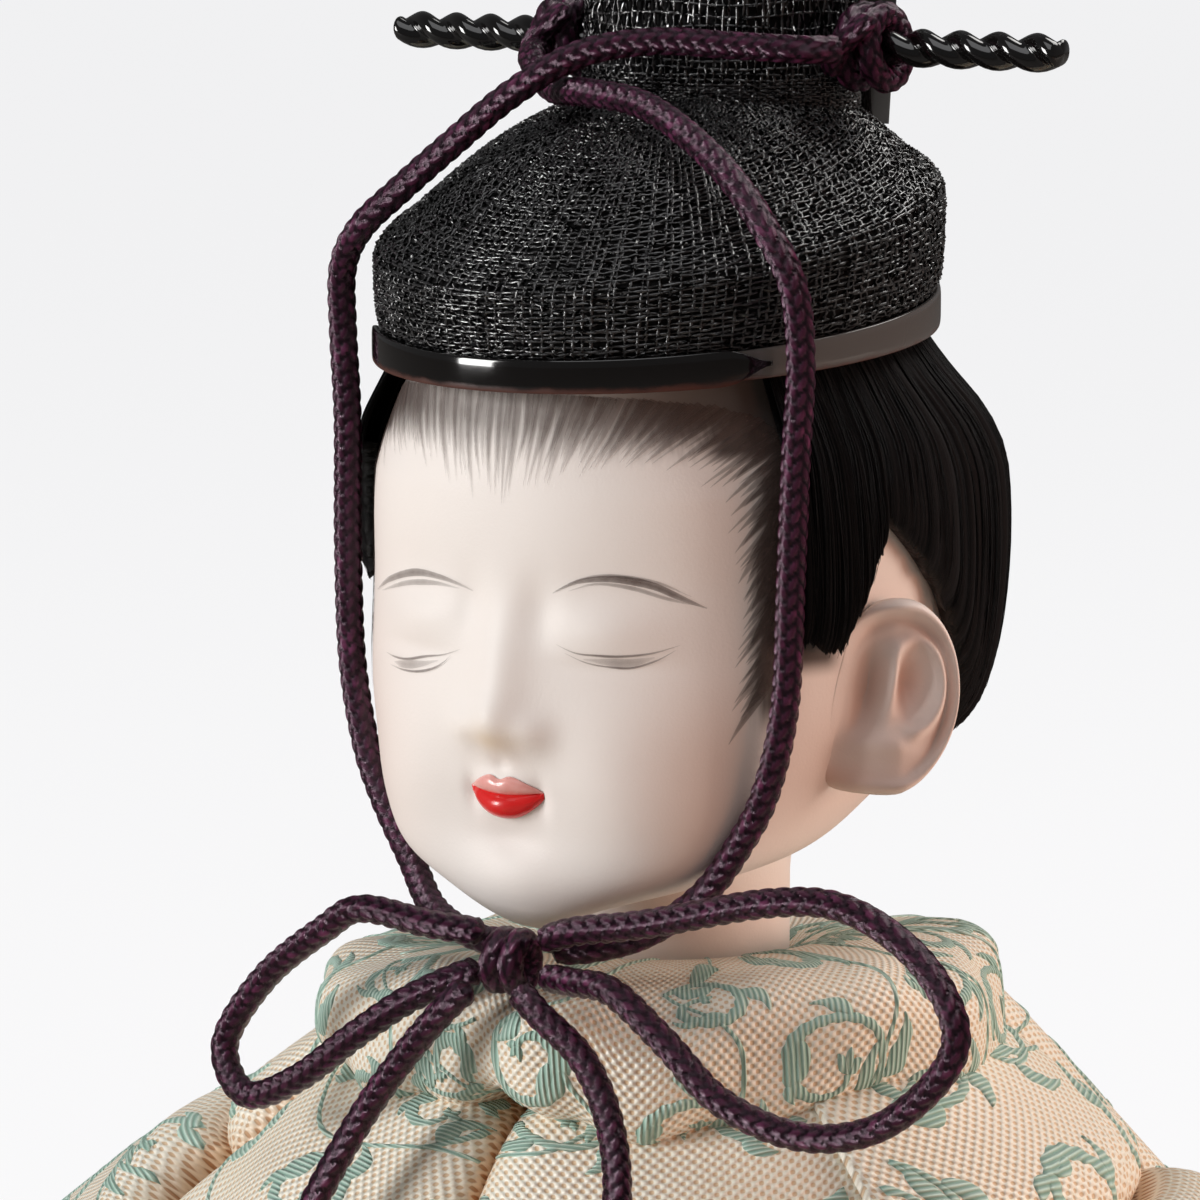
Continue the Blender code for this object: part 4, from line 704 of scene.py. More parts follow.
def ear_points(sign):
    """An ear as a disc of rings: a raised rim, an inner fold, a hollow, a tragus and a lobe are added in
    front, and the back is a plain dome that sinks into the head."""
    rings = np.concatenate([np.linspace(0, 1, 34), np.linspace(1, 0, 12)[1:]])[:, None]
    behind = (np.arange(len(rings)) > 33)[:, None]
    turns = np.linspace(0, 2 * math.pi, 73)[:-1][None, :]
    egg = 1 + 0.06 * np.sin(turns) - 0.05 * np.cos(turns) * (np.cos(turns) < 0)
    a = rings * egg * np.cos(turns)
    b = rings * egg * np.sin(turns)
    narrow = 1 - 0.06 * ease(0.2, -1.0, b)
    rear = ease(-0.75, -0.1, a + 0.55 * b)
    rim = swell(rings, 0.93, 0.08) * (0.2 + 0.8 * rear)
    groove = swell(rings, 0.79, 0.06) * rear * ease(-0.6, -0.2, b)
    fold = swell(np.hypot(a - 0.2, b - 0.2), 0.47, 0.09) * ease(-0.1, 0.3, a + 0.3 * b)
    hollow = swell(a, -0.42, 0.17) * swell(b, 0.14, 0.42)
    shell = swell(a, 0.17, 0.21) * swell(b, 0.22, 0.3)
    ridge = swell(a, -0.12, 0.08) * swell(b, 0.25, 0.3)
    above = swell(b, 0.68, 0.1) * swell(a, 0.1, 0.42)
    shelf = swell(a, -0.05, 0.5) * swell(b, -0.43, 0.14)
    lobe = swell(a, -0.2, 0.5) * swell(b, -0.8, 0.2)
    front = (0.42 + 0.45 * rim - 0.16 * groove + 0.26 * fold - 0.6 * hollow - 0.46 * shell + 0.24 * ridge
             - 0.22 * above + 0.2 * shelf + 0.1 * lobe)
    front = front * np.sqrt(np.clip(1 - rings ** 6, 0, 1)) + 0.12 * rings ** 6
    c = np.where(behind, 0.12 - 0.9 * (1 - rings), front) * EAR_THICKNESS
    # Rosy paint in the ear's hollows, its groove, under its rim and on its lobe, which also stands for painted shade
    # there.
    pink_and_shade = np.clip(0.75 * hollow + 0.6 * shell + 0.4 * above + 0.25 * groove
                   + 0.85 * swell(a, -0.45, 0.4) * swell(b, -0.84, 0.16), 0, 1)
    flare, lean = math.radians(EAR_FLARES[sign]), math.radians(EAR_LEAN)
    back_way = a * EAR_HALF_WIDTH * narrow - EAR_LOBE_FORWARD * ease(-0.1, -1.0, b)
    up_way = b * EAR_HALF_HEIGHT + EAR_RAISED
    out = c * math.cos(flare) + back_way * math.sin(flare)
    back = back_way * math.cos(flare) - c * math.sin(flare)
    y = back * math.cos(lean) + up_way * math.sin(lean)
    z = up_way * math.cos(lean) - back * math.sin(lean)
    spot = head_surface(np.array(math.radians(EAR_TURN)), np.array(EAR_LEVEL_SHARE))
    y = spot[1] + EAR_HALF_WIDTH * math.cos(flare) + y
    half_width, middle, deep, square = head_shape((spot[2] + z - CHIN_HEIGHT) / HEAD_HEIGHT)
    cosine = np.clip(np.abs(middle - y) / deep, 0, 0.999) ** (1 / square)
    head_side = half_width * (1 - cosine ** 2) ** (square / 2)
    x = spot[0] - EAR_SINK + EAR_HALF_WIDTH * math.sin(flare) + out
    melted = ease(-0.05, -0.88, a + 0.4 * np.minimum(b, 0))
    x = x + (head_side - EAR_SEAM - x) * melted
    x = np.where(behind, x, np.maximum(x, head_side + EAR_SEAM * 2 * (1 - rings ** 12) - EAR_SEAM))
    return np.stack([sign * x, y, spot[2] + z], -1), pink_and_shade * (1 - behind)


def make_head():
    """Head, ears and neck as one painted piece."""
    skin = Skin()
    span = np.linspace(-1, 1, HEAD_COLUMNS + 1)[:-1]
    turns = math.pi * (0.62 * span + 0.38 * span ** 3)
    rise = np.linspace(0, 1, HEAD_ROWS)
    levels = (1 - np.cos(math.pi * rise)) / 2
    points = head_surface(turns[None, :], levels[:, None])
    pole = head_surface(np.array([math.pi / 2]), levels[[0, -1]][:, None])[:, 0, 1]
    points[0, :, 0], points[-1, :, 0] = 0, 0
    points[0, :, 1], points[-1, :, 1] = pole
    skin.add(points, wrap=True)
    bottom, top = BODY_HEIGHT + GAP, CHIN_HEIGHT + NECK_FLARE_RISE
    profile = np.array([
        (PEG_HOLE_RADIUS, bottom + NECK_DROP), (PEG_HOLE_RADIUS, bottom), (NECK_RADIUS * 0.97, bottom),
        (NECK_RADIUS, bottom + GAP), (NECK_RADIUS, bottom + NECK_DROP * 0.5), (NECK_RADIUS, CHIN_HEIGHT),
        (NECK_RADIUS * 1.04, CHIN_HEIGHT + NECK_FLARE_RISE * 0.2),
        (NECK_FLARE, CHIN_HEIGHT + NECK_FLARE_RISE * 0.55), (NECK_FLARE * 1.1, top)])
    around = np.linspace(0, 2 * math.pi, 73)[:-1]
    neck = np.stack([profile[:, :1] * np.sin(around), -profile[:, :1] * np.cos(around),
                     np.broadcast_to(profile[:, 1:], (len(profile), len(around)))], -1)
    skin.add(neck, wrap=True)
    for sign in (1, -1):
        ear, pink_and_shade = ear_points(sign)
        skin.add(ear, wrap=True, shade=pink_and_shade)
    skin.piece("painted_head", [skin_paint()], "head", ["head"], "painted_skin", merge=0.000002)


def hill(value, place, spread):
    """A shader value that is 1 at a place and falls off on both sides."""
    away = (value - place) * (1 / spread)
    return 1 / (1 + away * away) ** 2


def blush_and_shade_share(paint, x, z):
    """How far the skin is warmed: rosy paint on jaw, temples and ears; painted shade below the chin and in ear hollows.
    """
    cheek = paint.between(x, 0.0035, 0.0175) * hill(z, CHIN_HEIGHT + 0.009, 0.012)
    temple = paint.between(x, 0.009, 0.018) * hill(z, CHIN_HEIGHT + 0.03, 0.02)
    # Painted shade: all skin below the chin, the neck and also the hands that share this paint, takes some warm colour.
    neck = paint.between(z, CHIN_HEIGHT + 0.002, CHIN_HEIGHT - 0.003)
    return (cheek * 0.45 + temple * 0.2 + paint.shade() * 0.62 + neck * 0.2).math("MINIMUM", 1.0)


def hair_ground_share(paint, x, y, z):
    """How dark the skin is painted under the hair: in streaks over the forehead, and down each temple."""
    streaks = paint.noise(1.0, paint.stretch(paint.place(), (2600.0, 2600.0, 240.0)), 3.0) - 0.5
    brow = paint.between(z + streaks * 0.0016, CHIN_HEIGHT + 0.0292, CHIN_HEIGHT + 0.0322)
    corner = paint.between(z, CHIN_HEIGHT + 0.0293, CHIN_HEIGHT + 0.0303) * paint.between(x, 0.0115, 0.0127)
    above = brow.math("MAXIMUM", corner) * (0.42 + 0.5 * paint.between(x, 0.004, 0.0125))
    temple = paint.between(x + streaks * 0.0007, 0.0143, 0.0153)
    temple = temple * paint.between(z, CHIN_HEIGHT + 0.0118, CHIN_HEIGHT + 0.0145)
    narrowed = paint.between(y, -0.0115, -0.0127) + paint.between(z, CHIN_HEIGHT + 0.0155, CHIN_HEIGHT + 0.017)
    temple = temple * narrowed.math("MINIMUM", 1.0)
    return above.math("MAXIMUM", temple * 0.92) * paint.between(y, -0.0078, -0.0096)


def skin_paint():
    """Matt shell white, rosy with painted shade in places, ochre under the nose and dark where the hair begins."""
    looks = bpy.context.scene.hina_colours
    paint = Paint("shell_white_paint", Roughness=0.5, Specular_IOR_Level=0.35)
    x, y, z = paint.parts(paint.place())
    x = x.math("ABSOLUTE")
    mottle = paint.noise(140.0, detail=3.0)
    base = paint.mix(mottle * 0.12, tuple(looks.skin), (0.80, 0.72, 0.66))
    # The warm colour is rosy paint, and painted shade below the chin and in the ears' hollows.
    blushed_and_shaded = paint.mix(blush_and_shade_share(paint, x, z) * 0.75, base, tuple(looks.blush_and_shade))
    nose = hill(x, 0.0, 0.0022) * hill(z, CHIN_HEIGHT + 0.0117, 0.0012) * paint.between(y, -0.0195, -0.0215)
    spotted = paint.mix(nose * 0.5, blushed_and_shaded, (0.74, 0.55, 0.33))
    ink = tuple(part * 0.45 for part in looks.ink)
    paint.link("Base Color", paint.mix(hair_ground_share(paint, x, y, z), spotted, ink))
    paint.link("Roughness", 0.44 + 0.16 * mottle)
    fine = paint.noise(5200.0, detail=2.0)
    paint.bump(fine + paint.noise(420.0) * 1.5, 0.000012)
    return paint.material


# Painted lines, in metres across from the face's middle line and up from the chin
INK_LIFT = 0.00005
STROKE_POINTS = 22


def stroke(skin, route, half_widths, ink, lift=INK_LIFT, finish=0):
    """A painted line as a thin ribbon on the face, along a smooth curve, with its own width at each point."""
    places = np.linspace(0, len(route) - 1, STROKE_POINTS)
    numbers = np.arange(len(route))
    route = np.array(route, float)
    across, up = (smooth_read(np.stack([numbers, route[:, k]], 1), places) for k in range(2))
    widths = np.interp(places, np.linspace(0, len(route) - 1, len(half_widths)), half_widths)
    way = np.stack([np.gradient(across), np.gradient(up)], 1)
    way = way / np.maximum(np.linalg.norm(way, axis=1, keepdims=True), 1e-12)
    shares = np.array([-1.0, 0.0, 1.0])
    x = across[:, None] - way[:, 1:] * widths[:, None] * shares
    z = up[:, None] + way[:, :1] * widths[:, None] * shares
    depth = np.interp(places, np.linspace(0, len(route) - 1, len(ink)), ink)
    points = on_face(x, z, np.full(x.shape, lift))
    skin.add(points, finish=finish, shade=depth[:, None] * np.array([0.75, 1.0, 0.75]), centre=(0, 0.1, CHIN_HEIGHT))


# Routes, half width, depth of ink: first those of the left eye, then those of the right
BROWS = (
    (((3.5, 21.2), (5.3, 22.05), (7.5, 22.3), (9.6, 21.95), (11.2, 21.15), (12.45, 20.5)), 0.27, 0.85),
    (((3.7, 21.35), (5.6, 22.25), (7.5, 22.5), (9.9, 22.15), (11.7, 21.25)), 0.13, 0.5),
    (((4.6, 21.4), (6.4, 21.95), (8.5, 21.75), (10.5, 21.1), (12.1, 20.65)), 0.14, 0.5),
    (((-2.5, 20.85), (-4.8, 21.4), (-7.7, 21.45), (-10.8, 20.55), (-12.9, 19.5)), 0.26, 0.62),
    (((-3.6, 20.9), (-5.7, 21.0), (-8.5, 20.65), (-12.0, 19.6)), 0.2, 0.42),
)
LASHES = (
    (((3.9, 18.0), (5.2, 17.55), (6.6, 17.48), (8.0, 17.48), (9.75, 17.7), (11.2, 18.2)), 0.09, 0.75),
    (((4.5, 17.5), (5.9, 16.95), (7.3, 16.75), (8.6, 16.75), (10.0, 17.25), (11.0, 17.9)), 0.08, 0.75),
    (((5.7, 17.2), (7.1, 17.1), (8.6, 17.1), (9.9, 17.45)), 0.3, 0.4),
    (((-3.3, 17.05), (-4.9, 16.5), (-6.5, 16.2), (-8.2, 15.8), (-9.65, 15.7), (-10.9, 15.8)), 0.09, 0.7),
    (((-4.1, 16.6), (-4.8, 16.0), (-5.8, 15.5), (-7.2, 15.15), (-8.7, 15.05), (-10.2, 15.15)), 0.09, 0.7),
    (((-5.2, 16.1), (-7.0, 15.65), (-8.7, 15.4), (-9.7, 15.4)), 0.28, 0.38),
)
PAINT_SCALE = 0.001
LIP_HALF = 0.0027
LIP_PLACE = 0.0081


def lip_patch(skin, low, high, finish, lift, shades):
    """One lip: a patch between a lower and an upper edge, both curves of the distance across, which swells
    in its middle."""
    span = np.linspace(-1, 1, 49)[None, :]
    share = np.linspace(0, 1, 15)[:, None]
    bottom, top = low(span), high(span)
    up = LIP_PLACE + bottom + (top - bottom) * share
    bulge = np.sin(math.pi * share) ** 0.7 * np.sqrt(np.clip(1 - span ** 2, 0, 1))
    points = on_face(span * LIP_HALF + 0 * share, up, INK_LIFT + lift * bulge)
    skin.add(points, finish=finish, shade=shades[0] + (shades[1] - shades[0]) * share + 0 * span,
             centre=(0, 0.1, CHIN_HEIGHT))


def make_face_paint():
    """Brows, closed lashes, the painted hairline and the lips."""
    skin = Skin()
    for routes in (BROWS, LASHES):
        for number, (route, half_width, ink) in enumerate(routes):
            widths = [half_width * PAINT_SCALE * share for share in (0.12, 0.6, 1.0, 0.75, 0.12)]
            inks = [ink * share for share in (0.4, 0.75, 1.0, 0.85, 0.45)]
            stroke(skin, np.array(route) * PAINT_SCALE, widths, inks, INK_LIFT * (1 + number * 0.3))
    hairline_strokes(skin)
    skin.piece("brows_and_lashes", [ink_paint()], "head", (), "painted_skin")
    lips = Skin()
    lip_patch(lips, lambda s: -0.00135 * (1 - np.abs(s) ** 2.2) - 0.0001, lambda s: 0.00005 + 0.00025 * s ** 2, 0,
              0.00042, (0.0, 0.2))
    lip_patch(lips, lambda s: 0.00005 + 0.00025 * s ** 2,
              lambda s: 0.0003 + 0.00115 * (1 - np.abs(s) ** 1.6) - 0.00042 * swell(s, 0, 0.2), 0, 0.0003, (0.6, 1.0))
    lips.piece("lips", [lip_paint()], "head", (), "painted_skin")


def ink_paint():
    """Grey-brown ink, thinner where the brush left less."""
    looks = bpy.context.scene.hina_colours
    paint = Paint("brushed_ink", Roughness=0.6)
    streak = paint.noise(1500.0, detail=3.0)
    paint.link("Base Color", paint.mix(streak, tuple(looks.ink), tuple(part * 1.8 for part in looks.ink)))
    paint.link("Alpha", (paint.shade() * (0.62 + 0.5 * streak)).math("MINIMUM", 1.0))
    return paint.material


def lip_paint():
    """Bright red below, paler and patchy above, with a wet gloss."""
    looks = bpy.context.scene.hina_colours
    paint = Paint("lip_red", Roughness=0.3, Specular_IOR_Level=0.6, Coat_Weight=0.35, Coat_Roughness=0.12)
    patch = paint.noise(1900.0, detail=3.0)
    upper = paint.between(paint.shade() + 0.35 * (patch - 0.5), 0.35, 0.75)
    pale = paint.mix(patch, (0.80, 0.30, 0.27), (0.88, 0.48, 0.44))
    paint.link("Base Color", paint.mix(upper, tuple(looks.lips), pale))
    paint.bump(patch, 0.00004)
    return paint.material


HAIRLINE_SEED = 7
HAIRLINE_STROKES = 84
# Places along the hairline, then the strokes' tips and roots there: across and up, in millimetres
HAIRLINE_ROWS = (
    (0.0, 0.1, 26.9, 0.2, 33.6), (0.13, 3.1, 28.2, 4.2, 33.6), (0.26, 6.3, 28.9, 8.2, 33.4),
    (0.38, 9.0, 29.7, 11.8, 32.9), (0.47, 11.2, 29.0, 13.8, 32.0), (0.56, 13.0, 27.3, 15.0, 30.4),
    (0.66, 13.8, 24.2, 15.6, 27.8), (0.8, 14.1, 19.6, 15.7, 23.4), (1.0, 13.6, 12.0, 15.4, 16.2),
)


def hairline_strokes(skin):
    """Tapered brush strokes down from the hair's edge: upright over the forehead, turning outward down each
    temple, with long and short ones in turn."""
    chance = np.random.default_rng(HAIRLINE_SEED)
    rows = np.array(HAIRLINE_ROWS)
    for sign in (1, -1):
        for number in range(HAIRLINE_STROKES):
            along = np.clip((number + chance.uniform(-0.35, 0.35)) / (HAIRLINE_STROKES - 1), 0, 1)
            tip_x, tip_z, root_x, root_z = (np.interp(along, rows[:, 0], rows[:, k]) * PAINT_SCALE for k in (1, 2, 3, 4))
            drop = 0.0007 if sign < 0 else 0
            reach = chance.choice((0.72, 0.86, 1.0)) + chance.uniform(-0.07, 0.07)
            tip_x = root_x + (tip_x - root_x) * reach
            tip_z = root_z + (tip_z - drop - root_z) * reach
            bend = chance.uniform(-0.0001, 0.00035)
            middle = ((root_x + tip_x) / 2 + bend, (root_z + tip_z) / 2 + bend / 2)
            width = chance.uniform(0.0002, 0.00036)
            route = [(sign * root_x, root_z), (sign * middle[0], middle[1]), (sign * tip_x, tip_z)]
            dark = np.interp(along, (0, 0.25, 0.5, 1.0), (0.5, 0.62, 0.95, 1.0)) * chance.uniform(0.75, 1.0)
            if sign < 0:
                dark = dark * 0.8
            stroke(skin, route, (width, width * 0.9, width * 0.5, 0.00001), (dark, dark * 0.9, dark * 0.7, dark * 0.45),
                   INK_LIFT * (1 + (number % 5) * 0.2))


# Hair
HAIR_GAP = 0.0006
HAIR_PARTING = 78.5
HAIR_FRONT_EDGE = 58.0
BACK_HAIR_EDGE = ((78.5, 0.54), (88.0, 0.46), (97.0, 0.35), (106.0, 0.26), (115.0, 0.226), (130.0, 0.226),
                  (150.0, 0.238), (180.0, 0.245))
SIDE_HAIR_EDGE = ((58.0, 0.395), (66.0, 0.374), (71.0, 0.42), (78.5, 0.535))
FAR_HAIR_EDGE = ((58.0, 0.6), (63.0, 0.56), (67.0, 0.43), (71.0, 0.42), (78.5, 0.535))
HAIR_THICKNESS = 0.0014
HAIR_EDGE_THICKNESS = 0.0006
HAIR_ROUND = 0.003
HAIR_SEED = 11
HAIR_LINE_RADIUS = 0.00007
CAP_LEVEL = HEAD_HEIGHT * 0.72553
CAP_OVERHANG = 0.0011
CAP_FRONT = FACE_DEPTH + CAP_OVERHANG
CAP_TILT = 4.0


def cap_lower_edge(forward):
    """Height of the cap's lower edge at a place along Y, as the cap tilts up to the back."""
    return CHIN_HEIGHT + CAP_LEVEL + (forward + CAP_FRONT) * math.tan(math.radians(CAP_TILT))


def hair_surface(turn, along, lift, edge, ends):
    """Points of a panel of hair by turn and share down it, from under the cap to its lower edge: the head's
    surface, lifted by the hair's own thickness, which is fullest halfway and rounds in at the edges."""
    turn, along, lift = np.broadcast_arrays(turn, along, lift)
    reach = np.abs(np.degrees(turn))
    reach = np.where(reach > 180, 360 - reach, reach)
    low = smooth_read(edge, reach)
    high = np.full(turn.shape, CAP_LEVEL / HEAD_HEIGHT)
    for _ in range(3):
        high = (cap_lower_edge(head_surface(turn, high)[..., 1]) - CHIN_HEIGHT) / HEAD_HEIGHT + 0.012
    level = high + (low - high) * along
    outward = head_out(turn, level)
    outward[..., 2] *= along
    length = (high - low) * HEAD_HEIGHT
    fall = np.clip((1 - along) * length / HAIR_ROUND, 0, 1)
    rise = np.clip(along * length / HAIR_ROUND / 2, 0, 1)
    start, end = (math.radians(value) for value in ends)
    width = np.minimum(np.abs(turn - start), np.abs(end - turn)) * HEAD_HALF_WIDTH
    side = np.clip(width / HAIR_ROUND * 1.4, 0, 1)
    full = np.sqrt(np.clip(1 - (1 - fall) ** 2, 0, 1)) * (0.4 + 0.6 * rise) * (0.45 + 0.55 * np.sqrt(side))
    thick = HAIR_GAP + HAIR_EDGE_THICKNESS + (HAIR_THICKNESS - HAIR_EDGE_THICKNESS) * full
    return head_surface(turn, level) + outward * (thick * lift)[..., None]


def hair_piece(name, node, start, end, edge, columns, strands):
    """A panel of combed hair: a shell with a groove between every two locks, and loose hairs over it."""
    chance = np.random.default_rng(HAIR_SEED + columns)
    skin = Skin()
    ends = (start, end)
    across = np.linspace(0, 1, columns)
    turns = np.radians(start + (end - start) * across)[None, :]
    rows = np.linspace(0, 1, 34)[:, None]
    locks = np.interp(across, np.linspace(0, 1, columns // 6), chance.uniform(-1, 1, columns // 6))
    fine = chance.uniform(-1, 1, columns)
    groove = 1 + (0.1 * fine + 0.1 * locks)[None, :] * ease(0, 0.2, rows)
    ragged = 1 + (0.03 * fine + 0.02 * locks)[None, :]
    top = hair_surface(turns, np.clip(rows * ragged, 0, 1.04), groove, edge, ends)
    under = hair_surface(turns, np.clip(rows[::-1] * 0.985, 0, 1), 0.3, edge, ends)
    shell = np.concatenate([top, under[:-1]])
    uv = np.stack(np.broadcast_arrays(across[None, :], np.linspace(0, 2, len(shell))[:, None]), -1)
    skin.add(shell, uv=uv, shade=np.concatenate([np.broadcast_to(fine[None, :], top.shape[:2]),
                                                 np.zeros(under[:-1].shape[:2])]) * 0.5 + 0.5)
    for number in range(strands):
        place = chance.uniform(0.004, 0.996)
        turn = math.radians(start + (end - start) * place) + np.linspace(0, chance.uniform(-0.03, 0.03), 16)
        first, last = 0.0, chance.uniform(0.8, 1.05)
        lift = 1.0 + chance.uniform(-0.04, 0.14) * np.linspace(0.3, 1, 16)
        line = hair_surface(turn, np.linspace(first, last, 16), lift, edge, ends)
        hair_line(skin, line, HAIR_LINE_RADIUS * chance.uniform(0.7, 1.2), chance.uniform(0.2, 1))
    return skin.piece(name, [hair_paint()], "head", [node], "hair")


def hair_line(skin, line, radius, shade, finish=0):
    """A single hair: a three-sided tube that tapers to its end."""
    first, second = side_axes(line, np.array((0.3, -1.0, 0.1)))
    turns = np.arange(3) * 2 * math.pi / 3
    reach = radius * np.sqrt(np.linspace(1, 0.05, len(line)))[:, None, None]
    points = line[:, None, :] + reach * (np.cos(turns)[None, :, None] * first[:, None, :]
                                         + np.sin(turns)[None, :, None] * second[:, None, :])
    skin.add(points, wrap=True, finish=finish, shade=shade, flip=True)


def hair_paint():
    """Black silk with faint cool streaks along the strands."""
    found = bpy.data.materials.get("black_silk_hair")
    if found:
        return found
    paint = Paint("black_silk_hair", Roughness=0.36, Specular_IOR_Level=0.22)
    across, _ = paint.across_and_along()
    lines = paint.node("ShaderNodeTexNoise", {"noise_dimensions": "1D"}, {"W": across * 520.0, "Detail": 2.0})
    paint.link("Base Color", paint.mix(lines * paint.shade(), (0.002, 0.002, 0.0025), (0.022, 0.019, 0.02)))
    paint.link("Roughness", 0.28 + 0.3 * lines)
    paint.bump(lines, 0.00006)
    return paint.material


def make_hair():
    """The hair at the back and a rounded lock in front of each ear."""
    hair_piece("combed_hair_back", "hair_back", HAIR_PARTING, 360 - HAIR_PARTING, BACK_HAIR_EDGE, 560, 420)
    hair_piece("combed_lock_left", "hair_side_left", HAIR_FRONT_EDGE, HAIR_PARTING, SIDE_HAIR_EDGE, 130, 110)
    hair_piece("combed_lock_right", "hair_side_right", -HAIR_PARTING, -HAIR_FRONT_EDGE, FAR_HAIR_EDGE, 130, 110)


# Cap
RIM_THICKNESS = 0.0006
RIM_HEIGHT = 0.0022
RIM_FRONT_SHARE = 0.62
CAP_HALF_WIDTH = 0.0169
CAP_HALF_DEPTH = 0.019
CAP_CENTRE = 0.0187 + RIM_THICKNESS + GAP - CAP_FRONT
CAP_HEIGHT = HEAD_HEIGHT * 0.38298
CAP_RISE = 0.0042
# Outline of the cap from its lower edge to its middle: share outward and share up
CAP_LINE_SHARES = (
    (1.0, 0.0), (1.0, 0.11), (1.034, 0.155), (1.046, 0.26), (1.05, 0.38), (1.047, 0.435), (1.018, 0.475),
    (0.955, 0.515), (0.87, 0.585), (0.74, 0.685), (0.6, 0.765), (0.45, 0.82), (0.3, 0.86), (0.15, 0.875), (0.0, 0.88))
WARP_THREADS = 176
WEFT_ROWS = 72
THREAD_HALF = 0.000125
THREAD_WAVE = 0.00011
THREAD_TWIST = 0.7
THREAD_SLANT = 0.16
CAP_SEED = 5


def cap_place(x, y, z, half_width, half_depth):
    """Points of the cap: a unit turned shape stretched to the cap's oval, moved and tilted."""
    forward = y * half_depth + CAP_CENTRE
    rise = CAP_RISE * z / CAP_HEIGHT * y
    return np.stack(np.broadcast_arrays(x * half_width, forward, cap_lower_edge(forward) + z + rise), -1)


def cap_line(share):
    """Outward and upward shares of the cap's outline by the share of its length from the lower edge."""
    rows = np.array(CAP_LINE_SHARES)
    steps = np.hypot(np.diff(rows[:, 0]) * CAP_HALF_WIDTH, np.diff(rows[:, 1]) * CAP_HEIGHT)
    lengths = np.concatenate([[0], np.cumsum(steps)])
    lengths /= lengths[-1]
    return (smooth_read(np.stack([lengths, rows[:, 0]], 1), share),
            smooth_read(np.stack([lengths, rows[:, 1]], 1), share))


def cap_surface(turn, share, lift):
    """Points of the cap by turn and share of the way from its lower edge to its middle."""
    turn, share, lift = np.broadcast_arrays(turn, share, lift)
    out, up = cap_line(share)
    step = 0.01
    next_out, next_up = cap_line(np.clip(share + step, 0, 1))
    last_out, last_up = cap_line(np.clip(share - step, 0, 1))
    slope_out = (next_out - last_out) * CAP_HALF_WIDTH
    slope_up = (next_up - last_up) * CAP_HEIGHT
    size = np.maximum(np.hypot(slope_out, slope_up), 1e-9)
    grown = out + slope_up / size * lift / CAP_HALF_WIDTH
    height = up * CAP_HEIGHT - slope_out / size * lift
    return cap_place(grown * np.sin(turn), -grown * np.cos(turn), height, CAP_HALF_WIDTH, CAP_HALF_DEPTH)


def flat_thread(skin, line, outward, half_width, half_thick, shade, finish=0):
    """A thread of three-sided section along a line, flat against the surface below it."""
    along = unit(np.gradient(line, axis=-2))
    side = unit(np.cross(outward, along))
    offsets = ((side, half_width), (outward, half_thick), (-side, half_width))
    points = np.stack([line + way * reach for way, reach in offsets], -2)
    skin.add(points, wrap=True, shade=shade, finish=finish, flip=False)


def gauze_paint():
    """Stiff black gauze thread: glossy where the lacquer lies thick."""
    found = bpy.data.materials.get("lacquered_gauze_thread")
    if found:
        return found
    paint = Paint("lacquered_gauze_thread", Roughness=0.25, Specular_IOR_Level=1.0, Coat_Weight=1.0, Coat_Roughness=0.07)
    patch = paint.noise(2600.0, detail=3.0)
    paint.link("Base Color", paint.mix(paint.shade() * patch, (0.004, 0.004, 0.0045), (0.05, 0.048, 0.05)))
    paint.link("Roughness", 0.08 + 0.22 * patch)
    paint.bump(patch, 0.0001)
    return paint.material


def dark_paint():
    """The unlit inside of the gauze."""
    found = bpy.data.materials.get("gauze_lining")
    if found:
        return found
    paint = Paint("gauze_lining", Roughness=0.8, Specular_IOR_Level=0.1)
    patch = paint.noise(1800.0)
    paint.link("Base Color", paint.mix(patch, (0.002, 0.002, 0.0022), (0.009, 0.0085, 0.009)))
    return paint.material


def make_cap():
    """The gauze cap: warp threads up its wall and crown, weft threads round it, and a dark lining inside."""
    chance = np.random.default_rng(CAP_SEED)
    skin = Skin()
    turns = np.linspace(0, 2 * math.pi, 121)[:-1]
    shares = np.linspace(0.0, 1.0, 40)[:, None]
    outer = cap_surface(turns[None, :], shares, -0.00016)
    inner = cap_surface(turns[None, :], shares[::-1], -0.0006)
    skin.add(np.concatenate([outer, inner]), wrap=True, finish=1)
    foot = 0.9
    for number in range(WARP_THREADS):
        places = np.linspace(0.015, foot if number % 3 == 0 else 0.8, 84)
        start = 2 * math.pi * (number + chance.uniform(-0.22, 0.22)) / WARP_THREADS
        drift = np.cumsum(chance.normal(0, 0.0011, len(places)))
        turn = start + THREAD_SLANT * places * np.sin(start) + drift
        wave = np.cos(math.pi * (places * WEFT_ROWS / foot + number)) * THREAD_WAVE
        line = cap_surface(turn, places, wave)
        outward = unit(cap_surface(turn, places, wave + 0.001) - line)
        outward = unit(outward + chance.normal(0, THREAD_TWIST, outward.shape))
        flat_thread(skin, line, outward, THREAD_HALF * 1.1, THREAD_HALF * 0.7, chance.uniform(0.3, 1))
    around = np.linspace(0, 2 * math.pi, 225)
    for row in range(WEFT_ROWS):
        place = 0.015 + (foot - 0.015) * (row + 0.5) / WEFT_ROWS
        wave = -np.cos(math.pi * (around / (2 * math.pi) * WARP_THREADS + row)) * THREAD_WAVE
        first, second = chance.uniform(0, 6, 2)
        waver = place + 0.0022 * np.sin(around * 7 + first) + 0.0014 * np.sin(around * 23 + second)
        waver = np.clip(waver + chance.uniform(-0.0025, 0.0025), 0, 1)
        line = cap_surface(around, waver, wave)
        outward = unit(cap_surface(around, waver, wave + 0.001) - line)
        outward = unit(outward + chance.normal(0, THREAD_TWIST, outward.shape))
        outward[-1] = outward[0]
        flat_thread(skin, line, outward, THREAD_HALF * 0.95, THREAD_HALF * 0.7, chance.uniform(0.2, 0.9))
    skin.piece("cap_gauze", [gauze_paint(), dark_paint()], "head", ["cap_shell"], "gauze")


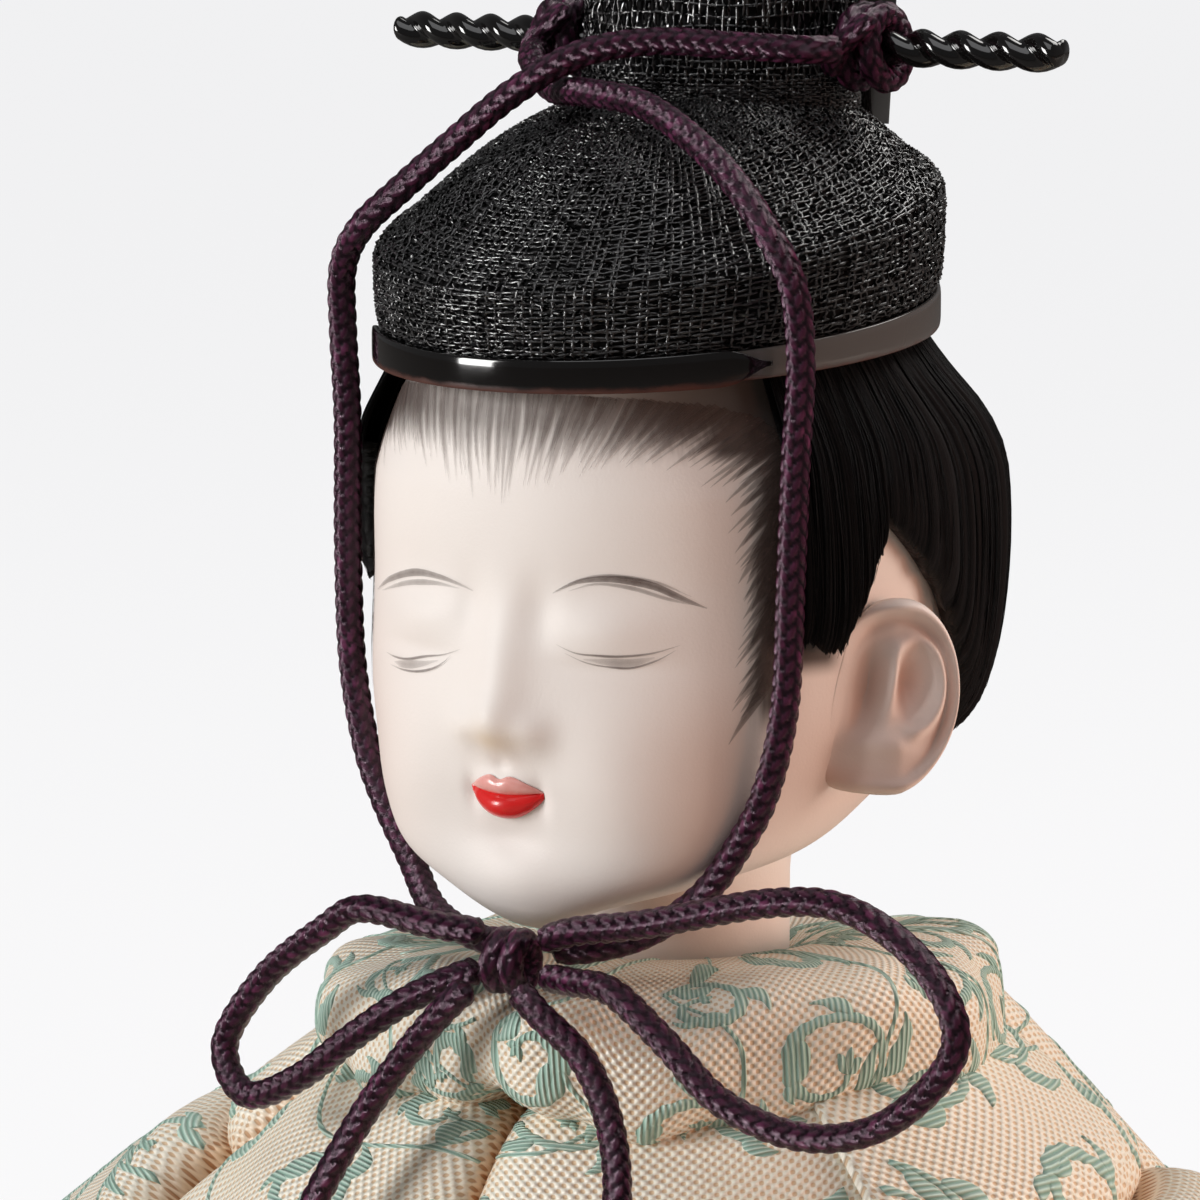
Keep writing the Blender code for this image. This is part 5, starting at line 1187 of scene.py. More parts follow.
# Koji, hairpin and tail
KOJI_HALF_WIDTH = 0.0093
KOJI_HALF_DEPTH = 0.0078
KOJI_SETBACK = 0.0048
KOJI_HEIGHT = HEAD_HEIGHT * 0.35106
KOJI_LINE_SHARES = ((1.02, -0.08), (1.02, 0.0), (1.0, 0.12), (0.97, 0.5), (0.91, 0.75), (0.76, 0.91),
                    (0.45, 0.985), (0.0, 1.0))
KOJI_THREADS = 124
KOJI_ROWS = 58
PIN_LENGTH = 0.0514
PIN_RADIUS = 0.00105
PIN_TWIST = 0.0056
PIN_HEIGHT = 0.0543 + CHIN_HEIGHT


def koji_surface(turn, share, lift):
    """Points of the koji by turn and share of its outline's rows, from its foot to its top."""
    rows = np.array(KOJI_LINE_SHARES)
    numbers = np.linspace(0, 1, len(rows))
    turn, share, lift = np.broadcast_arrays(turn, share, lift)
    out = smooth_read(np.stack([numbers, rows[:, 0]], 1), share)
    up = smooth_read(np.stack([numbers, rows[:, 1]], 1), share)
    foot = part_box("koji")[0].z + 0.004
    return np.stack([np.sin(turn) * (out * KOJI_HALF_WIDTH + lift),
                     -np.cos(turn) * (out * KOJI_HALF_DEPTH + lift) + KOJI_SETBACK,
                     foot + up * KOJI_HEIGHT], -1)


def make_koji():
    """The hump of gauze: warp and weft threads over a dark lining."""
    skin = Skin()
    turns = np.linspace(0, 2 * math.pi, 73)[:-1]
    shell = koji_surface(turns[None, :], np.linspace(0, 1, 40)[:, None], -0.0002)
    shell[-1] = shell[-1].mean(0)
    skin.add(shell, wrap=True, finish=1)
    chance = np.random.default_rng(CAP_SEED + 1)
    places = np.linspace(0.06, 0.97, 84)
    for number in range(KOJI_THREADS):
        drift = np.cumsum(chance.normal(0, 0.0014, len(places)))
        turn = 2 * math.pi * number / KOJI_THREADS + 0.12 * places + drift
        wave = np.cos(math.pi * (places * KOJI_ROWS + number)) * THREAD_WAVE
        line = koji_surface(turn, places, wave)
        outward = unit(koji_surface(turn, places, wave + 0.001) - line)
        outward = unit(outward + chance.normal(0, THREAD_TWIST * 1.4, outward.shape))
        flat_thread(skin, line, outward, THREAD_HALF * 1.1, THREAD_HALF * 0.7, chance.uniform(0.3, 1))
    around = np.linspace(0, 2 * math.pi, 181)
    for row in range(KOJI_ROWS):
        place = 0.06 + 0.91 * (row + 0.5) / KOJI_ROWS + 0.003 * np.sin(around * 5 + chance.uniform(0, 6))
        wave = -np.cos(math.pi * (around / (2 * math.pi) * KOJI_THREADS + row)) * THREAD_WAVE
        line = koji_surface(around, place, wave)
        outward = unit(koji_surface(around, place, wave + 0.001) - line)
        outward = unit(outward + chance.normal(0, THREAD_TWIST, outward.shape))
        outward[-1] = outward[0]
        flat_thread(skin, line, outward, THREAD_HALF, THREAD_HALF * 0.7, chance.uniform(0.2, 0.9))
    skin.add(socket_rings(), wrap=True, finish=2, shade=0.2)
    skin.piece("koji_gauze", [gauze_paint(), dark_paint(), lacquer_paint()], "head", ["koji"], "gauze")


def lacquer_paint(name="black_lacquer", body=(0.004, 0.0035, 0.0035)):
    """Deep lacquer with dust-fine wear: black, or grey as a painted reflection; red-brown painted light at its lower
    edge.
    """
    found = bpy.data.materials.get(name)
    if found:
        return found
    paint = Paint(name, Roughness=0.08, Specular_IOR_Level=0.6, Coat_Weight=0.6, Coat_Roughness=0.04)
    patch = paint.noise(700.0, detail=3.0)
    # Painted light: red-brown along the band's lower edge stands for warm light caught there.
    edge = paint.between(paint.shade() + 0.3 * (patch - 0.5), 0.55, 0.85)
    paint.link("Base Color", paint.mix(edge, body, (0.075, 0.02, 0.012)))
    paint.link("Roughness", 0.05 + 0.1 * patch + 0.5 * edge)
    paint.link("Coat Weight", 0.6 - 0.6 * edge)
    paint.bump(paint.noise(260.0), 0.00002)
    return paint.material


def make_hairpin():
    """The hairpin: two strands twisted together, so its reach at each angle is that of two touching rods."""
    skin = Skin()
    along = np.linspace(-0.5, 0.5, 420)[:, None] * PIN_LENGTH
    turns = np.linspace(0, 2 * math.pi, 29)[:-1][None, :]
    apart, rod = PIN_RADIUS * 0.42, PIN_RADIUS * 0.78
    twist = turns - 2 * math.pi * along / PIN_TWIST
    reach = apart * np.abs(np.cos(twist)) + np.sqrt(rod ** 2 - (apart * np.sin(twist)) ** 2)
    end = np.clip((PIN_LENGTH / 2 - np.abs(along)) / 0.0004, 0, 1)
    reach = reach * np.sqrt(np.clip(1 - (1 - end) ** 2, 0, 1))
    points = np.stack(np.broadcast_arrays(along, KOJI_SETBACK + reach * np.cos(turns),
                                          PIN_HEIGHT + reach * np.sin(turns)), -1)
    skin.add(points, wrap=True)
    skin.piece("twisted_hairpin", [lacquer_paint()], "head", ["hairpin"], "lacquer")


def rim_band(name, node, start, end, lift, tip, finish):
    """A lacquer band round the cap: a flat strip with rounded edges, whose ends narrow when it is open."""
    skin = Skin()
    closed = end - start >= 360
    turns = np.radians(np.linspace(start, end, 241))[:-1 if closed else None]
    section = np.linspace(0, 2 * math.pi, 25)[:-1][:, None]
    out = signed_power(np.cos(section), 0.35) * RIM_THICKNESS * 0.4
    up = signed_power(np.sin(section), 0.5)
    share = np.abs(np.linspace(-1, 1, len(turns)))
    narrow = 1 - (0 if closed else 1) * (1 - tip) * ease(0.8, 1.0, share) ** 1.5
    height = RIM_HEIGHT * (0.5 + (0.5 if closed else RIM_FRONT_SHARE) * up * narrow)
    grown = lift + out * (1 if closed else np.maximum(narrow, 0.3))
    points = cap_place(np.sin(turns) * (1 + 0 * up), -np.cos(turns) * (1 + 0 * up), height,
                       CAP_HALF_WIDTH + grown, CAP_HALF_DEPTH + grown)
    # How much painted warm light each point of the band takes: most at the bottom, fading out upward.
    shade = np.clip(0.75 - 1.1 * height / RIM_HEIGHT, 0, 1)
    points = points.swapaxes(0, 1)
    if closed:
        points = np.concatenate([points, points[:1]])
        shade = np.concatenate([shade.T, shade.T[:1]])
    else:
        caps = [points[:1].mean(1, keepdims=True) + 0 * points[:1], points[-1:].mean(1, keepdims=True) + 0 * points[:1]]
        points = np.concatenate([caps[0], points, caps[1]])
        shade = np.concatenate([shade.T[:1], shade.T, shade.T[-1:]])
    skin.add(points, wrap=True, shade=shade)
    return skin.piece(name, [finish], "head", [node], "lacquer", merge=0.000002)


def make_rims():
    """The two lacquer bands of the cap."""
    # Painted reflection: the rear band is the same black lacquer, painted grey where it would mirror the bright room.
    grey = lacquer_paint("lacquer_with_painted_grey_reflection", (0.075, 0.071, 0.07))
    rim_band("lacquer_rim_back", "rim_back", 0, 360, GAP + 0.0002, 1, grey)
    rim_band("lacquer_rim_front", "rim_front", -58, 58, GAP + 0.0006, 0.12, lacquer_paint())


def braid_loop(skin, centre, first, second, reach_first, reach_second, radius):
    """A braid wound once round: an oval of points about a centre, in two given directions."""
    turns = np.linspace(0, 2 * math.pi, 180)[:, None]
    line = (np.array(centre) + np.cos(turns) * reach_first * np.array(first)
            + np.sin(turns) * reach_second * np.array(second))
    braided_tube(skin, line, lengths_along(line), radius, np.cross(first, second), closed=True)


def make_knots():
    """The cord's turns round the hairpin, and the knot of the bow."""
    finish = bpy.data.materials["braided_silk"]
    for side, sign in (("left", 1), ("right", -1)):
        skin = Skin()
        centre = np.array((sign * 0.0117, KOJI_SETBACK, PIN_HEIGHT))
        ring = PIN_RADIUS * 1.2 + CORD_RADIUS * 0.95
        for step, lean in ((-0.00088, 0.1), (0.00088, -0.1)):
            up = unit(np.array((lean, 0.0, 1.0)))
            braid_loop(skin, centre + (step, 0, 0), (0, 1, 0), up, ring, ring, CORD_RADIUS * 0.95)
        over, _ = smooth_line([centre + (-0.0018, -0.0021, -0.0016), centre + (-0.0009, -0.0033, -0.0004),
                               centre + (0.0003, -0.0034, 0.0008), centre + (0.0016, -0.0024, 0.0021)], BRAID_STEP)
        lengths = np.arange(len(over)) * BRAID_STEP
        braided_tube(skin, over, lengths, CORD_RADIUS * 0.8, CORD_SIDE)
        skin.piece("pin_knot_wound_" + side, [finish], "head", ["pin_knot_" + side], "cord")
    skin = Skin()
    centre = on_head(BOW_PLACE_SHARES)
    for step, lean in ((-0.0007, 0.16), (0.0007, 0.02)):
        up = unit(np.array((lean, 0.0, 1.0)))
        braid_loop(skin, centre + (step, 0, 0), (0, 1, 0), up, 0.0011, 0.0014, CORD_RADIUS * 0.92)
    skin.piece("bow_knot_wound", [finish], "head", ["bow_knot"], "cord")


# Cloth on the body's core
SIDE_SHARES = (
    (0.22, 0.949), (0.298, 0.905), (0.404, 0.824), (0.495, 0.747), (0.609, 0.665), (0.728, 0.561),
    (0.841, 0.433), (0.927, 0.29), (0.98, 0.17), (1.0, 0.096), (1.0, 0.016),
)
FRONT_SHARES = (
    (0.311, 0.922), (0.387, 0.88), (0.472, 0.817), (0.557, 0.741), (0.632, 0.663), (0.698, 0.578),
    (0.774, 0.47), (0.868, 0.343), (0.953, 0.205), (0.99, 0.096), (1.0, 0.016),
)
BACK_SHARES = (
    (0.341, 1.006), (0.44, 0.934), (0.538, 0.855), (0.626, 0.771), (0.703, 0.675), (0.78, 0.566),
    (0.857, 0.452), (0.923, 0.331), (0.978, 0.193), (1.0, 0.096), (1.0, 0.016),
)
TUCKED_PADDING = 0.0005
PADDING_ROUND = 0.0045
SLEEVE_FOLD = 0.0009
NECK_SEAM = 55.0
ARMHOLE_ROW = 2.0
CHEST_ROW = 5.6
HEM_ROW = 9.7
BACK_SEAM = 124.0
HAKAMA_END = 62.0
HAKAMA_TOP_ROW = 8.0
HAKAMA_DROP_ROWS = 1.3
HAKAMA_DROP_TURNS = (28.0, 58.0)
LAST_ROW = 10.0
ARMHOLE_TURNS = ((1.6, 66.0), (2.2, 62.0), (2.8, 52.0), (3.6, 36.0), (4.4, 22.0), (5.4, 15.0), (6.6, 17.0),
                 (7.6, 19.0), (9.0, 21.0))
LINING_TURN = 2.4
CLOTH_STEP = 0.00055
GATHER_WAVE = 0.0013
GATHER_REACH = 0.0042
WEAVE_PITCH = 0.00074
SCROLL_SEED = 3
SCROLL_STEP = 0.0003
SCROLL_LIFT = 0.00012
SCROLL_SINK = 0.00016


def core_place(turn, row):
    """Points on the core by degrees round from the front and rows down from the neck: an oval at each row,
    whose height moves from the side outline's to the front or back outline's."""
    angle = np.radians(turn)
    numbers = np.arange(len(SIDE_SHARES))

    def read(shares, part):
        return smooth_read(np.stack([numbers, np.array(shares)[:, part]], 1), row)

    ahead = np.cos(angle) > 0
    deep = np.where(ahead, read(FRONT_SHARES, 0) * BODY_FRONT, read(BACK_SHARES, 0) * BODY_BACK)
    deep_height = np.where(ahead, read(FRONT_SHARES, 1), read(BACK_SHARES, 1))
    mix = np.sin(angle) ** 2
    height = (read(SIDE_SHARES, 1) * mix + deep_height * (1 - mix)) * BODY_HEIGHT
    return np.stack([read(SIDE_SHARES, 0) * BODY_HALF_WIDTH * np.sin(angle), -deep * np.cos(angle), height], -1)


def core_out(turn, row):
    """The outward direction of the core's surface."""
    step = 0.05
    round_way = core_place(turn + step, row) - core_place(turn - step, row)
    down_way = core_place(turn, row + step) - core_place(turn, np.maximum(row - step, 0))
    return -unit(np.cross(round_way, down_way))


def edge_round(distance):
    """How full the padding is at a distance from its tucked edge."""
    return round_end(np.clip(distance / PADDING_ROUND, 0, 1))


def armhole_turn(row):
    """Turn of the sleeve's front edge at a row."""
    return smooth_read(ARMHOLE_TURNS, np.asarray(row, float))


def hakama_row(turn):
    """Row where the sleeve, or the lap, ends and the hakama begins."""
    return HAKAMA_TOP_ROW + HAKAMA_DROP_ROWS * ease(*HAKAMA_DROP_TURNS, np.abs(turn))


class Panel:
    """A padded panel on the core, as a fine grid of its outer surface with outward directions.
    edges(row) gives its turns in degrees, limits(turn) its rows. open_sides lists the sides (low, high,
    first, last) where the cloth runs on into the next panel without a groove. gathers does the same for the
    sides with fine puckers. relief(across, along, width, length) adds to the padding."""

    def __init__(self, edges, limits, padding, open_sides=(), gathers=(), relief=None, step=CLOTH_STEP):
        middle = LAST_ROW / 2
        start, end = edges(middle)
        first, last = limits((start + end) / 2)
        middle = (first + last) / 2
        start, end = edges(middle)
        width = self.reach(np.linspace(start, end, 30), middle)
        length = self.reach((start + end) / 2, np.linspace(first, last, 30))
        across = np.linspace(0, 1, max(int(width / step), 12))[None, :]
        along = np.linspace(0, 1, max(int(length / step), 12))[:, None]
        across, along = np.broadcast_arrays(across, along)
        row = middle
        for _ in range(4):
            start, end = edges(row)
            turn = start + (end - start) * across
            first, last = limits(turn)
            row = first + (last - first) * along
        start, end = edges(row)
        turn = start + (end - start) * across
        seat = core_place(turn, row)
        outward = core_out(turn, row)
        side_steps = np.linalg.norm(np.diff(seat, axis=1), axis=2)
        end_steps = np.linalg.norm(np.diff(seat, axis=0), axis=2)
        self.widths = side_steps.sum(1)
        self.lengths = end_steps.sum(0)
        far = np.cumsum(side_steps, 1)
        deep = np.cumsum(end_steps, 0)
        from_low = np.concatenate([np.zeros((len(far), 1)), far], 1)
        from_first = np.concatenate([np.zeros((1, deep.shape[1])), deep], 0)
        distances = {"low": from_low, "high": self.widths[:, None] - from_low,
                     "first": from_first, "last": self.lengths[None, :] - from_first}
        full = np.ones(seat.shape[:2])
        for side, distance in distances.items():
            if side not in open_sides:
                full = full * edge_round(distance)
        extra = 0.0
        for side in gathers:
            place = from_first if side in ("low", "high") else from_low
            wave = np.cos(2 * math.pi * place / GATHER_WAVE + 1.3 * np.sin(place / 0.004))
            extra = extra + 0.00022 * wave * np.exp(-(distances[side] / GATHER_REACH) ** 2)
        if relief is not None:
            extra = extra + relief(from_low, from_first, self.widths[:, None], self.lengths[None, :])
        slip = np.where(np.minimum(from_low, distances["high"]) < 1e-9, SEAM_GAP / 2, 0.0)
        shift = unit(np.gradient(seat, axis=1)) * (slip * np.where(across < 0.5, 1, -1))[..., None]
        for side, flag in (("low", across < 0.5), ("high", across >= 0.5)):
            if side in open_sides:
                shift = shift * np.where(flag, 0, 1)[..., None]
        lift = CLOTH_GAP + TUCKED_PADDING + (padding - TUCKED_PADDING) * full + extra * full
        self.points = seat + shift + outward * lift[..., None]
        self.under = seat + shift + outward * CLOTH_GAP
        self.outward = unit(np.cross(np.gradient(self.points, axis=0), np.gradient(self.points, axis=1)))
        self.outward *= np.sign((self.outward * outward).sum(-1, keepdims=True))
        self.full = full
        self.uv = np.stack([from_low - self.widths[:, None] / 2, from_first], -1)

    @staticmethod
    def reach(turn, row):
        """Length of a line on the core."""
        line = core_place(*np.broadcast_arrays(np.asarray(turn, float), np.asarray(row, float)))
        return np.linalg.norm(np.diff(line, axis=0), axis=1).sum()

    def add_to(self, skin, finish=0):
        """The closed pillow: outer surface, underside and the walls between them."""
        ring = np.concatenate([self.points, self.under[:, ::-1]], 1)
        # Each point's value: one less its fullness, so tucked edges and the underside take painted shade.
        shade = np.concatenate([1 - self.full, 1 + 0 * self.full], 1)
        uv = np.concatenate([self.uv, self.uv[:, ::-1], self.uv[:, :1]], 1)
        first = (self.points[:1] + self.under[:1]) / 2
        last = (self.points[-1:] + self.under[-1:]) / 2
        ring = np.concatenate([np.concatenate([first, first[:, ::-1]], 1), ring,
                               np.concatenate([last, last[:, ::-1]], 1)])
        shade = np.concatenate([shade[:1], shade, shade[-1:]])
        uv = np.concatenate([uv[:1], uv, uv[-1:]])
        skin.add(ring, wrap=True, finish=finish, uv=uv, shade=shade)

    def on_cloth(self, across, along):
        """Points and outward directions of the surface at places in metres: from the middle line, and from
        the first side. Places beyond the panel give False in the mask."""
        rows, columns = self.points.shape[:2]
        row = along / max(self.lengths.mean(), 1e-9) * (rows - 1)
        width = np.interp(row, np.arange(rows), self.widths)
        column = (across / width + 0.5) * (columns - 1)
        margin = 1.2
        inside = (row > margin) & (row < rows - 1 - margin) & (column > margin) & (column < columns - 1 - margin)
        row, column = np.clip(row, 0, rows - 1.001), np.clip(column, 0, columns - 1.001)
        i, j = row.astype(int), column.astype(int)
        a, b = (row - i)[..., None], (column - j)[..., None]

        def read(grid):
            return ((grid[i, j] * (1 - b) + grid[i, j + 1] * b) * (1 - a)
                    + (grid[i + 1, j] * (1 - b) + grid[i + 1, j + 1] * b) * a)

        return read(self.points), unit(read(self.outward)), inside


def scroll_unit(centre, size, start, hand, chance):
    """One curl of an arabesque: a stem that winds inwards, leaves along it, and three buds at its end."""
    strokes = []
    share = np.linspace(0, 1, 60)
    turn = start + hand * 2 * math.pi * 1.12 * share
    reach = size * (1 - 0.7 * share)
    stem = np.array(centre) + np.stack([np.cos(turn), np.sin(turn)], 1) * reach[:, None]
    strokes.append((stem, 0.00026 + 0.0005 * np.sin(math.pi * share) ** 2 * (0.5 + 0.5 * share)))
    for place, side, length in ((6, 1, 1.0), (17, 1, 0.8), (28, -1, 0.62), (36, 1, 0.5), (2, -1, 0.9)):
        along = unit(stem[place + 1] - stem[place])
        out = np.array((along[1], -along[0])) * hand * side
        step = np.linspace(0, 1, 24)[:, None]
        long = size * 0.95 * length * chance.uniform(0.8, 1.15)
        leaf = stem[place] + along * long * (0.35 * step + 0.6 * step ** 2) + out * long * (0.85 * step - 0.45 * step ** 3)
        strokes.append((leaf, 0.00004 + 0.00088 * length ** 0.5 * np.sin(math.pi * step[:, 0]) ** 0.8 * (1.1 - 0.5 * step[:, 0])))
    tip = stem[-1]
    for lean in (-0.9, 0.0, 0.9):
        way = start + hand * 2 * math.pi * 1.12 + hand * math.pi / 2 + lean
        step = np.linspace(0, 1, 14)[:, None]
        bud = tip + np.array((math.cos(way), math.sin(way))) * size * 0.26 * step
        strokes.append((bud, 0.00003 + 0.0003 * np.sin(math.pi * step[:, 0]) ** 0.7))
    return strokes


def add_scrolls(skin, panel, finish, chance, spacing=0.0118):
    """Curls of an arabesque in satin stitch over a panel, joined by stems."""
    rows = int(panel.lengths.mean() / (spacing * 0.86)) + 1
    wide = panel.widths.max()
    columns = int(wide / spacing) + 2
    last = None
    for row in range(rows):
        for number in range(columns):
            across = (number - (columns - 1) / 2 + (0.5 if row % 2 else 0)) * spacing + chance.uniform(-1, 1) * 0.0013
            along = (row + 0.45) * spacing * 0.86 + chance.uniform(-1, 1) * 0.0012
            hand = 1 if (row + number) % 2 else -1
            size = 0.004 * chance.uniform(0.82, 1.12)
            strokes = scroll_unit((across, along), size, chance.uniform(0, 2 * math.pi), hand, chance)
            first = strokes[0][0][0]
            if last is not None:
                bend = (first + last) / 2 + np.array((last[1] - first[1], first[0] - last[0])) * 0.22
                route, _ = smooth_line([last, bend, first], 0.0004)
                strokes.append((route, np.full(len(route), 0.0002)))
            last = first if number < columns - 1 else None
            for route, half in strokes:
                add_stitched(skin, panel, route, half, finish)


def add_stitched(skin, panel, route, half, finish):
    """A raised band of satin stitches along a route on a panel, in the parts of it that lie on the panel."""
    lengths = np.concatenate([[0], np.cumsum(np.linalg.norm(np.diff(route, axis=0), axis=1))])
    count = max(int(lengths[-1] / SCROLL_STEP), 5)
    places = np.linspace(0, lengths[-1], count)
    line = np.stack([np.interp(places, lengths, route[:, k]) for k in range(2)], 1)
    half = np.interp(places, lengths, half)
    half = half * (1 + 0.16 * np.sin(places * 2 * math.pi / 0.00042))
    along = unit(np.gradient(line, axis=0))
    side = np.stack([-along[:, 1], along[:, 0]], 1)
    shares = np.array((-1.0, -0.86, -0.4, 0.0, 0.4, 0.86, 1.0, 0.0))
    lifts = np.array((-1.0, 0.2, 0.9, 1.0, 0.9, 0.2, -1.0, -1.0))
    spots = line[:, None, :] + side[:, None, :] * (half[:, None] * shares[None, :])[..., None]
    points, outward, inside = panel.on_cloth(spots[..., 0], spots[..., 1])
    lift = np.where(lifts > 0, lifts * SCROLL_LIFT, lifts * SCROLL_SINK)
    points = points + outward * lift[None, :, None]
    good = inside.all(1)
    edges = np.flatnonzero(np.diff(np.concatenate([[0], good.astype(int), [0]])))
    for start, end in zip(edges[::2], edges[1::2]):
        if end - start < 5:
            continue
        part = points[start:end]
        ends = part[[0, -1]].mean(1, keepdims=True) + 0 * part[[0, -1]]
        part = np.concatenate([ends[:1], part, ends[1:]])
        uv = spots[start:end]
        uv = np.concatenate([uv[:1], uv, uv[-1:]])
        uv = np.concatenate([uv, uv[:, :1]], 1)
        skin.add(part, wrap=True, finish=finish, uv=uv, shade=0.5)


def woven_dots(paint, pitch):
    """A plain weave from 0 in its gaps to 1 on its threads: the product of two waves."""
    across, along = paint.across_and_along()
    turn = 2 * math.pi / pitch
    return ((across * turn).math("COSINE") * (along * turn).math("COSINE")) * 0.5 + 0.5, across, along


def brocade_paint():
    """Cream silk in a glossy plain weave, with orange-brown painted shade between the threads and in the grooves."""
    paint = Paint("cream_brocade", Specular_IOR_Level=0.5, Sheen_Weight=0.12, Sheen_Roughness=0.4)
    dots, across, along = woven_dots(paint, WEAVE_PITCH)
    thread = paint.between(dots, 0.2, 0.5)
    # Painted shade: how deep in a tucked groove or on the underside a point lies.
    groove = paint.between(paint.shade(), 0.2, 0.9)
    patch = paint.noise(150.0, detail=3.0)
    cream = paint.mix(patch, (0.95, 0.89, 0.74), (1.0, 0.97, 0.88))
    # Painted shade: tan between the threads, orange-brown in the grooves, where the threads darken too.
    gaps = paint.mix(groove, (0.74, 0.54, 0.35), (0.42, 0.18, 0.065))
    threads = paint.mix(groove * 0.75, cream, (0.76, 0.47, 0.24))
    paint.link("Base Color", paint.mix(thread, gaps, threads))
    paint.link("Roughness", 0.6 - 0.3 * thread)
    fibres = paint.noise(1.0, paint.stretch(paint.place(), (9000.0, 9000.0, 2500.0)))
    paint.bump(dots + 0.12 * fibres, 0.00016, 1.0)
    return paint.material


def stitch_paint():
    """Mint green satin stitches, each a glossy ridge, with dark teal painted shade between them."""
    paint = Paint("mint_satin_stitch", Specular_IOR_Level=0.5, Sheen_Weight=0.1)
    across, along = paint.across_and_along()
    ridge = (along * (2 * math.pi / 0.00036) + 1.4 * (across * 900.0).math("SINE")).math("COSINE") * 0.5 + 0.5
    patch = paint.noise(240.0, detail=2.0)
    green = paint.mix(patch, (0.42, 0.66, 0.56), (0.76, 0.88, 0.79))
    # Painted shade: dark teal in the valleys between the stitches.
    paint.link("Base Color", paint.mix(ridge, (0.24, 0.4, 0.33), green))
    paint.link("Roughness", 0.6 - 0.28 * ridge)
    paint.bump(ridge, 0.00012)
    return paint.material


def plain_silk(name, colour, dark, pitch=0.0005):
    """A plain silk in a fine weave, with its dark colour as painted shade between the threads and in the grooves."""
    paint = Paint(name, Specular_IOR_Level=0.45, Sheen_Weight=0.15)
    dots, across, along = woven_dots(paint, pitch)
    # Painted shade: the dark colour between the threads and deeper in tucked grooves.
    groove = paint.between(paint.shade(), 0.3, 1.0)
    body = paint.mix(groove * 0.6, colour, dark)
    paint.link("Base Color", paint.mix(paint.between(dots, 0.2, 0.6), dark, body))
    paint.link("Roughness", 0.65 - 0.25 * dots)
    paint.bump(dots, 0.0001)
    return paint.material


def both(start, end, sign):
    """Turns of a panel on the left side, or mirrored for the right side."""
    return (start, end) if sign > 0 else (-end, -start)


def chest_relief(sign):
    """Soft hollows of the padded chest beside the front groove and under the collar."""
    def relief(across, along, width, length):
        from_front = across if sign > 0 else width - across
        hollow = -0.0009 * np.exp(-((from_front - 0.019 - 0.25 * along) / 0.006) ** 2) * ease(0, 0.008, along)
        crease = 0.0005 * np.cos(from_front / 0.0042 + along / 0.006) * np.exp(-(along / 0.011) ** 2)
        return hollow + crease + 0.0003 * np.sin(from_front / 0.0031) * np.cos(along / 0.0052)
    return relief


def soft_relief(across, along, width, length):
    """Gentle dents of a hand-padded surface."""
    return 0.00035 * np.sin(across / 0.0049 + 0.6 * np.sin(along / 0.006)) * np.cos(along / 0.0067)


def sleeve_relief(across, along, width, length):
    """Long folds that run down the sleeve from its seam."""
    share = across / np.maximum(width, 1e-9)
    fold = SLEEVE_FOLD * np.cos(2 * math.pi * 3 * share) * np.clip(along / length, 0, 1)
    return fold + soft_relief(across, along, width, length)


def cloth_piece(name, panels, finishes, replaces, slot, scrolls=True):
    """Panels as one padded piece, with scrolls on each when asked."""
    skin = Skin()
    chance = np.random.default_rng(SCROLL_SEED + len(name))
    for panel in panels:
        panel.add_to(skin)
        if scrolls:
            add_scrolls(skin, panel, 1, chance)
    made = skin.piece(name, finishes, "robe", replaces, slot)
    return made


def make_robe():
    """The padded brocade panels of the robe."""
    finishes = [brocade_paint(), stitch_paint()]
    for side, sign in (("left", 1), ("right", -1)):
        inner, outer = ("low", "high") if sign > 0 else ("high", "low")
        running = (outer,) if sign > 0 else ()
        chest = Panel(lambda row: both(0.0, np.minimum(NECK_SEAM, armhole_turn(row)), sign),
                      lambda turn: (0.0, CHEST_ROW), 0.0032, running, (), chest_relief(sign))
        cloth_piece("brocade_chest_" + side, [chest], finishes, ["chest_" + side], "brocade")
        running = (inner,) if sign > 0 else ()
        shoulder = Panel(lambda row: both(NECK_SEAM, BACK_SEAM, sign), lambda turn: (0.0, ARMHOLE_ROW),
                         0.0034, running, ("last",), soft_relief)
        cloth_piece("brocade_shoulder_" + side, [shoulder], finishes, ["shoulder_" + side], "brocade")
        sleeve = Panel(lambda row: both(armhole_turn(row), BACK_SEAM, sign),
                       lambda turn: (ARMHOLE_ROW, np.minimum(hakama_row(turn), HEM_ROW)),
                       0.0056, (), (inner,), sleeve_relief, 0.00075)
        cloth_piece("brocade_sleeve_" + side, [sleeve], finishes, ["sleeve_" + side], "brocade")
        back = Panel(lambda row: both(BACK_SEAM, 180.0, sign), lambda turn: (0.0, HEM_ROW), 0.003, (), (),
                     soft_relief, 0.0007)
        cloth_piece("brocade_back_" + side, [back], finishes, ["back_" + side], "brocade")
    lap = Panel(lambda row: (2 * LINING_TURN - armhole_turn(row), armhole_turn(row) - 2 * LINING_TURN),
                lambda turn: (CHEST_ROW, HAKAMA_TOP_ROW), 0.0026, (), ("first",), soft_relief)
    cloth_piece("brocade_lap", [lap], finishes, ["lap_panel"], "brocade")


